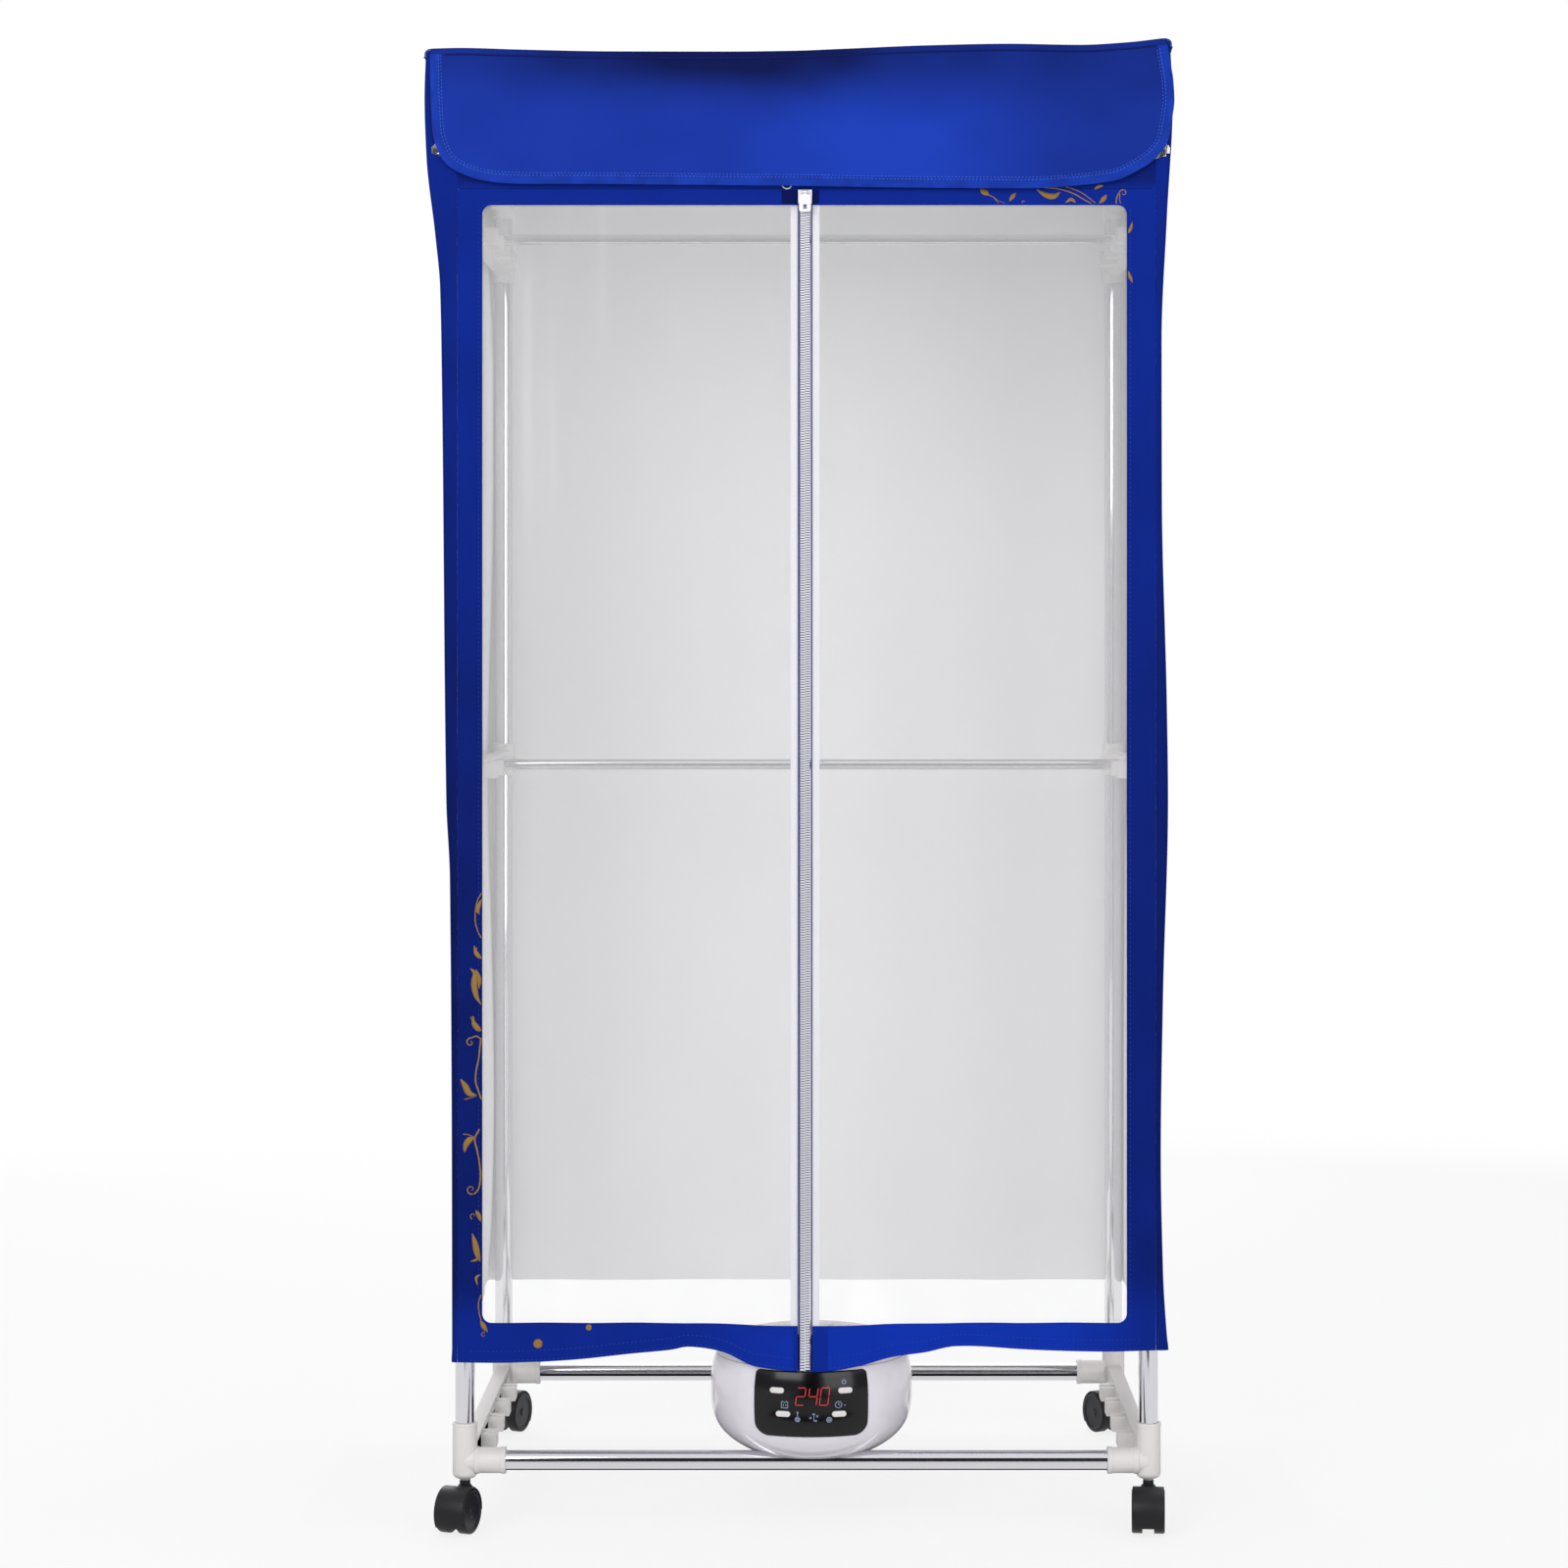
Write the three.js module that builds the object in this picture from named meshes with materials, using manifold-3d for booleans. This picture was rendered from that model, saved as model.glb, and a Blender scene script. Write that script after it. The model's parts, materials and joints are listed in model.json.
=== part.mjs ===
// Portable wardrobe-type clothes dryer, in millimetres, +Z up, front towards -Y, standing on Z = 0.
import * as THREE from "three";
import { mergeVertices } from "three/addons/utils/BufferGeometryUtils.js";
import Module from "manifold-3d";

// Frame
const postSpacing = 664; // between post axes, side to side
const postDepth = 440; // between post axes, front to back
const tubeRadius = 9.5;
const tubeWall = 1;
const tubeLevel = 67; // axis of the base tubes above the floor
const postTop = 1427;
const fitGap = 0.3; // between pieces that seat on or in each other
const overrun = 2; // by which a cut runs past the face it opens

// Corner connectors
const sleeveRadius = 12;
const sleeveUp = 37; // above the tube level
const sleeveDown = 17; // below it
const sleeveRound = 5.5;
const sleeveFloor = 9; // material under the post's foot
const armRadius = 12.4;
const armLength = 40;
const armCollarRadius = 13; // thicker end of the arm
const armCollarLength = 6;
const armSocket = 26; // depth of the tube's seat in the arm
const tongueWidth = 8;
const tongueHeight = 11;
const tongueLength = 13; // past the sleeve, into the side rail

// Side rails
const railWidth = 14.4;
const railHeight = 18;
const toothPitch = 76;
const toothCount = 4;
const toothLength = 24;
const toothHeight = 14.5;
const toothDrop = 8.5; // underside of a tooth below the rail's middle
const toothReach = 22.2; // from the post axis inwards
const toothRoot = 1; // its other end inside the rail, past the post axis
const collarHeight = 34;

// Hanging rods and top rods
const rodRadius = 5.5;
const rodRise = 2.5; // axis of a seated rod above the rail's middle
const hangingRodInset = 12; // its ends inside the post axes
const upperRodDrop = 155; // its axis below the posts' upper ends
const lowerRodLevel = 737;
const rodTooth = 1; // the tooth, counted from 0 at the front, that holds a hanging rod
const topRodReach = 25.5; // past the post axes, before the shift below
const topRodDrop = 88; // its axis below the posts' upper ends
const topRodInset = 20; // its axis behind or before the post axis
const topRodShift = 7.5; // the front one lies this far to the left, the rear one to the right
const bracketSkirt = 8.3; // below its saddle
const bracketCrown = 3; // material over the post's end
const saddleWall = 2.6;
const saddleWebHalf = 8;

// Casters
const casterTrail = 16;
const wheelRadius = 21.2;
const wheelInner = 5.6; // inner and outer face of a wheel from the middle of the axle
const wheelOuter = 16;
const wheelRound = 2.4;
const axleRadius = 3;
const hoodGap = 0.5;
const hoodWall = 1.5;
const hoodHalfWidth = 15.2;
const webHalf = 5;
const hoodFrontBelow = 35; // degrees that the hood reaches below the axle
const hoodBackBelow = 5;
const neckRadius = 5.2;
const neckTop = 48;
const neckWasherRadius = 4.9;
const neckWasherThick = 1.6;
const stemRadius = 4;
const stemTop = 58;
const casterTurns = { front_left: -19.5, front_right: -5, rear_left: 158, rear_right: -152 }; // degrees

// Heater housing
const heaterX = 4.5;
const heaterSetback = 50; // its middle behind the front posts
const heaterBase = 72;
const heaterFootRadius = 64;
const heaterRadius = 99;
const heaterWidest = 134;
const shellTop = 164;
const crownLevel = 176; // here the crown's curve would have come in to its own radius
const crownRadius = 80;
const heaterTop = 181;
const lidShoulder = 175;
const lidFlatRadius = 72;
const shellWall = 2.5;
const shellFloor = 3;
const bowlPower = 3.5;
const crownPower = 2.2;
const grilleRadius = 65;
const grilleThick = 3;
const grilleLedge = 5;
const grilleSlotCount = 16;
const grilleSlotWidth = 3.8;
const grilleSlotFrom = 19;
const grilleSlotTo = 57;
const intakeSlotCount = 8;
const intakeSlotWidth = 3.6;
const intakeFrom = 25;
const intakeTo = 38.5;
const carrierBarWidth = 14;
const carrierBarThick = 3;
const carrierSpread = 35; // its bars from the heater's middle
const carrierStart = 17; // its front end behind the front tube's axis
const carrierTie = 20; // breadth of the plate that ties the bars
const carrierTieSetback = 180; // behind the front tube's axis

// Control panel and buttons
const panelHalfWidth = 54.5;
const panelLow = 98.5;
const panelHigh = 161.8;
const panelCorner = 12;
const panelThick = 1.2;
const buttonLength = 14.4;
const buttonHeight = 5.6;
const buttonDepth = 9;
const buttonProud = 1.1; // out of the panel
const buttonPlaces = [
  { name: "button_upper_left", across: -32.5, level: 143.7 },
  { name: "button_upper_right", across: 32.5, level: 143.7 },
  { name: "button_lower_left", across: -26.6, level: 121.5 },
  { name: "button_lower_right", across: 26.6, level: 121.5 },
];

// Inside the heater
const motorRadius = 22;
const motorHeight = 24;
const motorNeckRadius = 9;
const motorNeckHeight = 0.4;
const shaftRadius = 3;
const shaftHeight = 12;
const fanRadius = 66;
const fanHubRadius = 15;
const fanHubHeight = 10.5;
const fanBladeCount = 7;
const fanBladeChord = 17;
const fanBladeThick = 1.6;
const fanBladeTilt = 31; // degrees
const elementLevel = 127;
const elementWidth = 104;
const elementDepth = 66;
const elementHeight = 18;
const elementSlotCount = 6;
const elementSlotWidth = 3.8;
const elementWall = 6;
const lugReach = 80; // of the element's mounting ears, from its middle
const lugHalf = 20;
const lugThick = 3;
const pillarRadius = 4.5;
const pillarAcross = 74;
const pillarAlong = 14;
const boardWidth = 84;
const boardHeight = 42;
const boardThick = 1.6;
const boardSetback = 18; // behind the housing's front
const boardLevel = 111.6;
const switchSize = 5;
const switchHeight = 2.9;
const shelfHalf = 12;
const shelfThick = 3;
const shelfReach = 23; // behind the housing's front
const inletWidth = 24;
const inletHeight = 15;
const inletDepth = 16;
const inletProud = 1.2;
const inletLevel = 109;
const socketWidth = 16;
const socketHeight = 8;
const socketDepth = 10;

// Cloth cover
const clothThick = 1.6;
const clothGap = 4.5; // outer face of the cloth in front of the posts
const seamGap = 0.4;
const rodEndGap = 5.4; // the widest stretch of the cover past the end of a top rod
const sideDraw = 4; // the sides draw in between the posts
const sideFold = 2.5;
const sideFoldCount = 2;
const sideCornerRun = 29; // the side cloth runs straight past a post over this depth
const backFold = 3;
const backFoldCount = 5;
const foldFadeDrop = 243.5; // below the cover's top; higher up the folds run out
const foldFadeHeight = 140;
const hemLevel = 162.5;
const hemSwing = 19; // the hem rises this far between its low points
const backHemLevel = 165;
const coverRise = 6.5; // its upper face above the posts' ends
const coverTopSwing = 13; // the right front corner stands this much higher
const topSag = 9;
const hingeInset = 5.4; // seam about which a curtain half turns, inside the cover's edge
const curtainDrop = 133.5; // head of the curtain below the cover's top
const bandTopDrop = 103.5; // below the cover's top
const bandLap = 10; // of the band below the curtain's head
const bandStep = 2.2; // height over which the band steps back behind the curtain
const bandSetback = 4;
const bandLapInset = 18; // its lapped part inside the hinge seams
const cornerLap = 6; // of the side cloth round the front corner above the band
const heaterPush = 35; // the heater pushes the curtain out by this much at the hem
const heaterPushWidth = 78;
const heaterPushHeight = 60;
const hemFold = 3;
const hemFoldCount = 4;
const hemFoldHeight = 150;
const pushFadeLevel = 330; // above this the front cloth runs out into its flat plane
const pushFadeHeight = 120;

// Flap
const flapOverLeft = 18.6; // past the cover's straight edge
const flapOverRight = 4.6;
const flapDrop = 129.5; // its lower edge below the cover's top
const flapCornerLeft = 38;
const flapCornerRight = 62;
const flapStand = 0.6; // behind its upper edge
const flapLean = 5; // further out at its lower edge
const flapFold = 1.5;
const flapFoldCount = 3;
const flapBulge = 5;

// Windows
const windowInsetLeft = 24; // inside the hinge seam
const windowInsetRight = 28;
const windowLow = 203;
const windowDrop = 15; // below the curtain's head
const windowCorner = 9;
const windowLap = 8; // the clear sheet runs this far behind the cloth
const filmSetback = 1.9;
const filmThick = 0.6;

// Zip
const zipX = -1.5;
const chainHalf = 5.2;
const chainRise = 1.5; // its front stands proud of the cloth
const chainGap = 2; // to the cloth's edge
const tapeHalf = 14;
const tapeSetback = 2.8;
const tapeThick = 0.8;
const sliderDrop = 13.5; // its lower end below the curtain's head
const sliderHeight = 13;
const sliderFace = 2.2;
const sliderCheek = 1.2;
const sliderCheekDepth = 2.6;
const lugGap = 2.2;
const lugWidth = 1.2;
const lugRadius = 1.9;
const pinRadius = 0.9;
const pinStand = 2.6; // the pull's pin in front of the slider's face
const pinDrop = 2.6; // below the slider's upper end
const pullWidth = 11.4;
const pullLength = 19;
const pullThick = 1.4;
const pullShoulder = 3.4;
const pullRound = 2;
const pullSlotWidth = 3.4;
const pullSlotHeight = 4.4;
const pullSlotRise = 2.6; // above the pull's lower end

// Flat faces round a full turn, and steps along the cloths
const tubeSides = 16;
const wheelSides = 16;
const hoodSteps = 12;
const hookSteps = 8;
const smallSides = 12;
const roundSides = 24;
const arcSteps = 2;
const sideColumns = 8;
const topColumns = 12;
const topRows = 6;
const curtainColumns = 10; // of one half, between the zip and the hinge
const flapColumns = 10;
const flapRows = 5;
const panelColumns = 10;

// Shares of a size: first the place, then how much of the swing
const leftEdgeShares = [
  [0, 0.01], [0.15, 0.02], [0.37, 0.09], [0.43, 0.22], [0.74, 0.37], [0.82, 0.44],
  [0.86, 0.61], [0.92, 0.93], [0.965, 1], [1, 0.95],
];
const rightEdgeShares = [
  [0, 0.29], [0.07, 0.08], [0.16, 0], [0.28, 0.08], [0.43, 0.26], [0.5, 0.22],
  [0.66, 0.04], [0.78, 0.03], [0.875, 0.22], [0.965, 0.43], [1, 0.35],
];
const hemLineShares = [
  [-1, 0.1], [-0.77, 0.14], [-0.56, 0.45], [-0.38, 0.8], [-0.335, 0.96], [-0.29, 0.9], [-0.23, 0.7],
  [-0.145, 0.16], [0.02, 0], [0.15, 0.2], [0.24, 0.5], [0.33, 0.68], [0.42, 0.97], [0.6, 0.82],
  [0.77, 0.68], [1, 0.72],
];
const topLineShares = [
  [-1.07, 0.2], [-0.975, 0.27], [-0.81, 0.15], [-0.55, 0.015], [-0.23, 0], [-0.036, 0.06], [0.1, 0.2],
  [0.35, 0.47], [0.57, 0.58], [0.77, 0.5], [0.9, 0.68], [1.01, 0.985],
];
const coverRowShares = [0, 0.08, 0.16, 0.28, 0.37, 0.43, 0.5, 0.66, 0.78, 0.82, 0.875, 0.925, 0.965, 1];
const curtainRowShares = [0.04, 0.08, 0.13, 0.23, 0.32, 0.55]; // between the window's lower edge and top
const bowlShares = [0, 0.07, 0.17, 0.3, 0.5, 1];
const crownShares = [0.55, 1];

// Derived places
const halfSpacing = postSpacing / 2;
const halfDepth = postDepth / 2;
const hangingRodLength = postSpacing - 2 * hangingRodInset;
const upperRodLevel = postTop - upperRodDrop;
const topRodLength = postSpacing + 2 * topRodReach;
const topRodLevel = postTop - topRodDrop;
const boreRadius = tubeRadius + fitGap;
const rodBore = rodRadius + fitGap;
const sideHalf = halfSpacing + tubeRadius + fitGap + clothThick; // half width of the straight cover
const rodEnd = halfSpacing + topRodReach + topRodShift;
const edgeSwing = rodEnd + rodEndGap - sideHalf; // by which the rods push the cover out
const coverTop = postTop + coverRise;
const foldFadeLevel = coverTop - foldFadeDrop;
const hingeX = sideHalf - hingeInset;
const curtainTop = coverTop - curtainDrop;
const bandTop = coverTop - bandTopDrop;
const bandLow = curtainTop - bandLap;
const bandLapHalf = hingeX - bandLapInset;
const flapLeft = sideHalf + flapOverLeft;
const flapRight = sideHalf + flapOverRight;
const flapLow = coverTop - flapDrop;
const windowLeft = hingeX - windowInsetLeft;
const windowRight = hingeX - windowInsetRight;
const windowHigh = curtainTop - windowDrop;
const sliderLevel = curtainTop - sliderDrop;
const curtainY = -halfDepth - tubeRadius - clothGap;
const backClothY = halfDepth + tubeRadius + clothGap;
const heaterY = -halfDepth + heaterSetback;
const hoodRadius = wheelRadius + hoodGap + hoodWall;
const floorTop = heaterBase + shellFloor;
const elementPillarTop = elementLevel - fitGap;
const fanLevel = floorTop + fitGap + motorHeight + motorNeckHeight + fitGap;

const whitePlastic = new THREE.MeshStandardMaterial({ color: 0xe6e3e1, roughness: 0.45, metalness: 0 });
const glossWhite = new THREE.MeshStandardMaterial({ color: 0xeceaec, roughness: 0.12, metalness: 0 });
const glossBlack = new THREE.MeshStandardMaterial({ color: 0x0c0c0e, roughness: 0.08, metalness: 0 });
const blackPlastic = new THREE.MeshStandardMaterial({ color: 0x1d1c21, roughness: 0.5, metalness: 0 });
const chrome = new THREE.MeshStandardMaterial({ color: 0xc9c7cc, roughness: 0.12, metalness: 1 });
const blueCloth = new THREE.MeshStandardMaterial({ color: 0x1c37a8, roughness: 0.75, metalness: 0 });
const navyTape = new THREE.MeshStandardMaterial({ color: 0x111a44, roughness: 0.8, metalness: 0 });
const zipMetal = new THREE.MeshStandardMaterial({ color: 0xd0d0d8, roughness: 0.3, metalness: 1 });
const steel = new THREE.MeshStandardMaterial({ color: 0x9a9ca0, roughness: 0.4, metalness: 1 });
const boardGreen = new THREE.MeshStandardMaterial({ color: 0x2c5a3a, roughness: 0.6, metalness: 0 });
const ceramic = new THREE.MeshStandardMaterial({ color: 0x8f8c86, roughness: 0.8, metalness: 0 });
const clearFilm = new THREE.MeshStandardMaterial({ color: 0xf2f4f7, roughness: 0.1, metalness: 0 });
clearFilm.transparent = true;
clearFilm.opacity = 0.2;

const wasm = await Module();
wasm.setup();

// Merges shared corners, drops triangles without area and turns the faces outwards.
function closed(geometry) {
  const bare = geometry.clone();
  bare.deleteAttribute("normal");
  bare.deleteAttribute("uv");
  const merged = mergeVertices(bare);
  const index = merged.index.array;
  const at = merged.attributes.position;
  const kept = [];
  const a = new THREE.Vector3();
  const b = new THREE.Vector3();
  const c = new THREE.Vector3();
  let volume = 0;
  for (let i = 0; i < index.length; i += 3) {
    const [i0, i1, i2] = [index[i], index[i + 1], index[i + 2]];
    if (i0 === i1 || i1 === i2 || i2 === i0) continue;
    kept.push(i0, i1, i2);
    a.fromBufferAttribute(at, i0);
    b.fromBufferAttribute(at, i1);
    c.fromBufferAttribute(at, i2);
    volume += a.dot(b.cross(c));
  }
  if (volume < 0) kept.reverse();
  merged.setIndex(kept);
  return merged;
}

function solidOf(shape) {
  const mesh = closed(shape);
  return new wasm.Manifold(new wasm.Mesh({
    numProp: 3,
    vertProperties: Float32Array.from(mesh.attributes.position.array),
    triVerts: Uint32Array.from(mesh.index.array),
  }));
}

function shapeOf(solid) {
  const mesh = solid.getMesh();
  const shape = new THREE.BufferGeometry();
  shape.setAttribute("position", new THREE.BufferAttribute(Float32Array.from(mesh.vertProperties), 3));
  shape.setIndex(Array.from(mesh.triVerts));
  return shape;
}

const join = (...shapes) => shapeOf(shapes.map(solidOf).reduce((whole, next) => whole.add(next)));
const common = (first, second) => shapeOf(solidOf(first).intersect(solidOf(second)));

function cut(shape, ...cutters) {
  return shapeOf(cutters.map(solidOf).reduce((left, next) => left.subtract(next), solidOf(shape)));
}

// A block between two places on each axis.
function block([x0, x1], [y0, y1], [z0, z1]) {
  const shape = new THREE.BoxGeometry(Math.abs(x1 - x0), Math.abs(y1 - y0), Math.abs(z1 - z0));
  return shape.translate((x0 + x1) / 2, (y0 + y1) / 2, (z0 + z1) / 2);
}

// A turned body. Its profile lists radius and place along the axis, closed or ending on the axis.
function turned(profile, axis, sides) {
  const shape = new THREE.LatheGeometry(profile.map(([r, t]) => new THREE.Vector2(r, t)), sides);
  if (axis === "x") shape.rotateZ(-Math.PI / 2);
  if (axis === "z") shape.rotateX(Math.PI / 2);
  return shape;
}

function rod(radius, [from, to], axis, sides = tubeSides) {
  return turned([[0, from], [radius, from], [radius, to], [0, to]], axis, sides);
}

function tube(outer, inner, [from, to], axis) {
  return turned([[inner, from], [outer, from], [outer, to], [inner, to], [inner, from]], axis, tubeSides);
}

// An outline in the plane across an axis, (y, z) for x and (x, z) for y, drawn out along that axis.
function drawn(outline, [from, to], axis) {
  const shape = new THREE.Shape(outline.map(([a, b]) => new THREE.Vector2(a, b)));
  const body = new THREE.ExtrudeGeometry(shape, { depth: Math.abs(to - from), bevelEnabled: false });
  body.translate(0, 0, Math.min(from, to));
  const [right, back, up] = [0, 1, 2].map((i) => new THREE.Vector3().setComponent(i, 1));
  const turn = new THREE.Matrix4();
  if (axis === "x") turn.makeBasis(back, up, right);
  if (axis === "y") turn.makeBasis(right, up, back);
  return body.applyMatrix4(turn);
}

// Points along an arc about a centre, angles in degrees.
function arc([a, b], radius, from, to, steps) {
  return Array.from({ length: steps + 1 }, (_, i) => {
    const angle = THREE.MathUtils.degToRad(from + ((to - from) * i) / steps);
    return [a + radius * Math.cos(angle), b + radius * Math.sin(angle)];
  });
}

// An outline with two round ends, length by height.
function pill(length, height, [a, b] = [0, 0]) {
  const radius = height / 2;
  const reach = length / 2 - radius;
  return [
    ...arc([a + reach, b], radius, -90, 90, 2 * arcSteps),
    ...arc([a - reach, b], radius, 90, 270, 2 * arcSteps),
  ];
}

const mix = (from, to, share) => from + (to - from) * share;
const wave = (count, share) => 0.5 - 0.5 * Math.cos(2 * Math.PI * count * share);

// Smooth value between the points of a table of shares.
function shareAt(shares, place) {
  const last = shares[shares.length - 1];
  if (place <= shares[0][0]) return shares[0][1];
  if (place >= last[0]) return last[1];
  const next = shares.findIndex(([at]) => at > place);
  const [a0, v0] = shares[next - 1];
  const [a1, v1] = shares[next];
  const t = (place - a0) / (a1 - a0);
  return mix(v0, v1, (3 - 2 * t) * t * t);
}

// A sheet: outerAt(column, row) gives its outer face and innerAt the face behind it.
function sheet(columns, rows, outerAt, innerAt) {
  const points = [];
  const faces = [];
  const across = columns + 1;
  const layer = across * (rows + 1);
  for (const pointAt of [outerAt, innerAt]) {
    for (let row = 0; row <= rows; row += 1) {
      for (let column = 0; column <= columns; column += 1) points.push(...pointAt(column, row));
    }
  }
  const quad = (a, b, c, d) => faces.push(a, b, c, a, c, d);
  for (let row = 0; row < rows; row += 1) {
    for (let column = 0; column < columns; column += 1) {
      const corner = row * across + column;
      quad(corner, corner + 1, corner + across + 1, corner + across);
      quad(layer + corner, layer + corner + across, layer + corner + across + 1, layer + corner + 1);
    }
  }
  for (let column = 0; column < columns; column += 1) {
    const top = rows * across + column;
    quad(column, layer + column, layer + column + 1, column + 1);
    quad(top, top + 1, layer + top + 1, layer + top);
  }
  for (let row = 0; row < rows; row += 1) {
    const left = row * across;
    const right = left + columns;
    quad(left, left + across, layer + left + across, layer + left);
    quad(right, layer + right, layer + right + across, right + across);
  }
  const shape = new THREE.BufferGeometry();
  shape.setAttribute("position", new THREE.BufferAttribute(new Float32Array(points), 3));
  shape.setIndex(faces);
  return shape;
}

const dryer = new THREE.Group();

function place(name, shape, material, [x, y, z] = [0, 0, 0], turnDegrees = 0) {
  const mesh = new THREE.Mesh(closed(shape), material);
  mesh.name = name;
  mesh.position.set(x, y, z);
  mesh.rotation.z = THREE.MathUtils.degToRad(turnDegrees);
  dryer.add(mesh);
}

const corners = [
  { name: "front_left", side: -1, depth: -1 },
  { name: "front_right", side: 1, depth: -1 },
  { name: "rear_left", side: -1, depth: 1 },
  { name: "rear_right", side: 1, depth: 1 },
];

// Caster: hood with web, neck and stem, about the stem's axis, the axle ahead of it towards -Y.
function casterHood() {
  const axle = [-casterTrail, wheelRadius];
  const shellOutline = [
    ...arc(axle, hoodRadius, -hoodBackBelow, 180 + hoodFrontBelow, hoodSteps),
    ...arc(axle, hoodRadius - hoodWall, 180 + hoodFrontBelow, -hoodBackBelow, hoodSteps),
  ];
  const webOutline = arc(axle, hoodRadius - hoodWall / 2, -hoodBackBelow, 180 + hoodFrontBelow, hoodSteps);
  const boss = rod(axleRadius + hoodWall * 2, [-webHalf, webHalf], "x", smallSides).translate(0, ...axle);
  const neck = turned([
    [0, wheelRadius], [neckRadius, wheelRadius], [neckRadius, neckTop],
    [neckWasherRadius, neckTop], [neckWasherRadius, neckTop + neckWasherThick],
    [stemRadius, neckTop + neckWasherThick], [stemRadius, stemTop], [0, stemTop],
  ], "z", smallSides);
  const body = join(
    drawn(shellOutline, [-hoodHalfWidth, hoodHalfWidth], "x"),
    drawn(webOutline, [-webHalf, webHalf], "x"),
    boss,
    neck,
  );
  const axleHole = rod(axleRadius + fitGap, [-hoodHalfWidth, hoodHalfWidth], "x", smallSides);
  return cut(body, axleHole.translate(0, ...axle));
}

function wheelPair() {
  const half = [
    [axleRadius, wheelInner], [wheelRadius, wheelInner], [wheelRadius, wheelOuter - wheelRound],
    [wheelRadius - wheelRound, wheelOuter], [0, wheelOuter],
  ];
  const mirrored = half.map(([r, t]) => [r, -t]).reverse();
  return turned([...mirrored, ...half], "x", wheelSides).translate(0, -casterTrail, wheelRadius);
}

for (const { name, side, depth } of corners) {
  const at = [side * halfSpacing, depth * halfDepth, 0];
  place(`caster_hood_${name}`, casterHood(), blackPlastic, at, casterTurns[name]);
  place(`caster_wheels_${name}`, wheelPair(), blackPlastic, at, casterTurns[name]);
}

// Corner connector about the post's axis at the tube level.
function connector(side, depth) {
  const foot = arc([sleeveRadius - sleeveRound, sleeveRound - sleeveDown], sleeveRound, -90, 0, arcSteps);
  const sleeve = turned([[0, -sleeveDown], ...foot, [sleeveRadius, sleeveUp], [0, sleeveUp]], "z", tubeSides);
  const collarFrom = armLength - armCollarLength;
  const armProfile = [
    [0, 0], [armRadius, 0], [armRadius, collarFrom], [armCollarRadius, collarFrom],
    [armCollarRadius, armLength], [0, armLength],
  ];
  const arm = turned(armProfile.map(([r, t]) => [r, -side * t]), "x", smallSides);
  const tongue = block(
    [-tongueWidth / 2, tongueWidth / 2],
    [0, -depth * (sleeveRadius + tongueLength)],
    [-tongueHeight / 2, tongueHeight / 2],
  );
  return cut(
    join(sleeve, arm, tongue),
    rod(boreRadius, [sleeveFloor - sleeveDown, sleeveUp + overrun], "z"),
    rod(stemRadius + fitGap, [-sleeveDown - overrun, sleeveFloor], "z", smallSides),
    rod(boreRadius, [-side * (armLength - armSocket), -side * (armLength + overrun)], "x"),
  );
}

// Side rail about the middle between its posts; its teeth face inwards and hold a rod in their open grooves.
function sideRail(side, level) {
  const toothTop = toothHeight - toothDrop;
  const half = toothLength / 2;
  const outline = [
    [-half, -toothDrop], [half, -toothDrop], [half, toothTop], [rodBore, toothTop],
    ...arc([0, rodRise], rodBore, 0, -180, 3 * arcSteps), [-rodBore, toothTop], [-half, toothTop],
  ];
  const teeth = Array.from({ length: toothCount }, (_, i) => {
    const tooth = drawn(outline, [side * toothRoot, -side * toothReach], "x");
    return tooth.translate(0, (i - (toothCount - 1) / 2) * toothPitch, 0);
  });
  const railSpan = [-railWidth / 2, railWidth / 2];
  const bar = block(railSpan, [-halfDepth, halfDepth], [-railHeight / 2, railHeight / 2]);
  const rail = join(bar, ...teeth);
  if (level !== tubeLevel) return collared(rail);
  const ends = [-halfDepth, halfDepth].flatMap((y) => {
    const pocketEnd = y - Math.sign(y) * (sleeveRadius + tongueLength + fitGap);
    const pocketHalf = tongueWidth / 2 + fitGap;
    const pocketRise = tongueHeight / 2 + fitGap;
    return [
      rod(sleeveRadius + fitGap, [-sleeveDown, sleeveUp], "z").translate(0, y, 0),
      rod(armRadius + fitGap, [-armLength, armLength], "x", smallSides).translate(0, y, 0),
      block([-pocketHalf, pocketHalf], [y, pocketEnd], [-pocketRise, pocketRise]),
    ];
  });
  return cut(rail, ...ends);
}

function collared(rail) {
  const half = collarHeight / 2;
  const ends = [-halfDepth, halfDepth];
  const collars = ends.map((y) => rod(sleeveRadius, [-half, half], "z").translate(0, y, 0));
  const bores = ends.map((y) => rod(boreRadius, [-half - overrun, half + overrun], "z").translate(0, y, 0));
  return cut(join(rail, ...collars), ...bores);
}

// Bracket over a post's upper end, with the saddle of a top rod.
function topBracket(depth) {
  const top = postTop + fitGap + bracketCrown;
  const saddleRadius = rodBore + saddleWall;
  const bottom = topRodLevel - saddleRadius - bracketSkirt;
  const y = -depth * topRodInset;
  const saddle = rod(saddleRadius, [-sleeveRadius, sleeveRadius], "x", smallSides);
  const saddleHole = rod(rodBore, [-sleeveRadius - overrun, sleeveRadius + overrun], "x", smallSides);
  const webRise = [topRodLevel - saddleRadius, topRodLevel + saddleWall];
  const web = block([-saddleWebHalf, saddleWebHalf], [y / 2, y], webRise);
  return cut(
    join(rod(sleeveRadius, [bottom, top], "z"), saddle.translate(0, y, topRodLevel), web),
    rod(boreRadius, [bottom - overrun, postTop + fitGap], "z"),
    saddleHole.translate(0, y, topRodLevel),
  );
}

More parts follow.
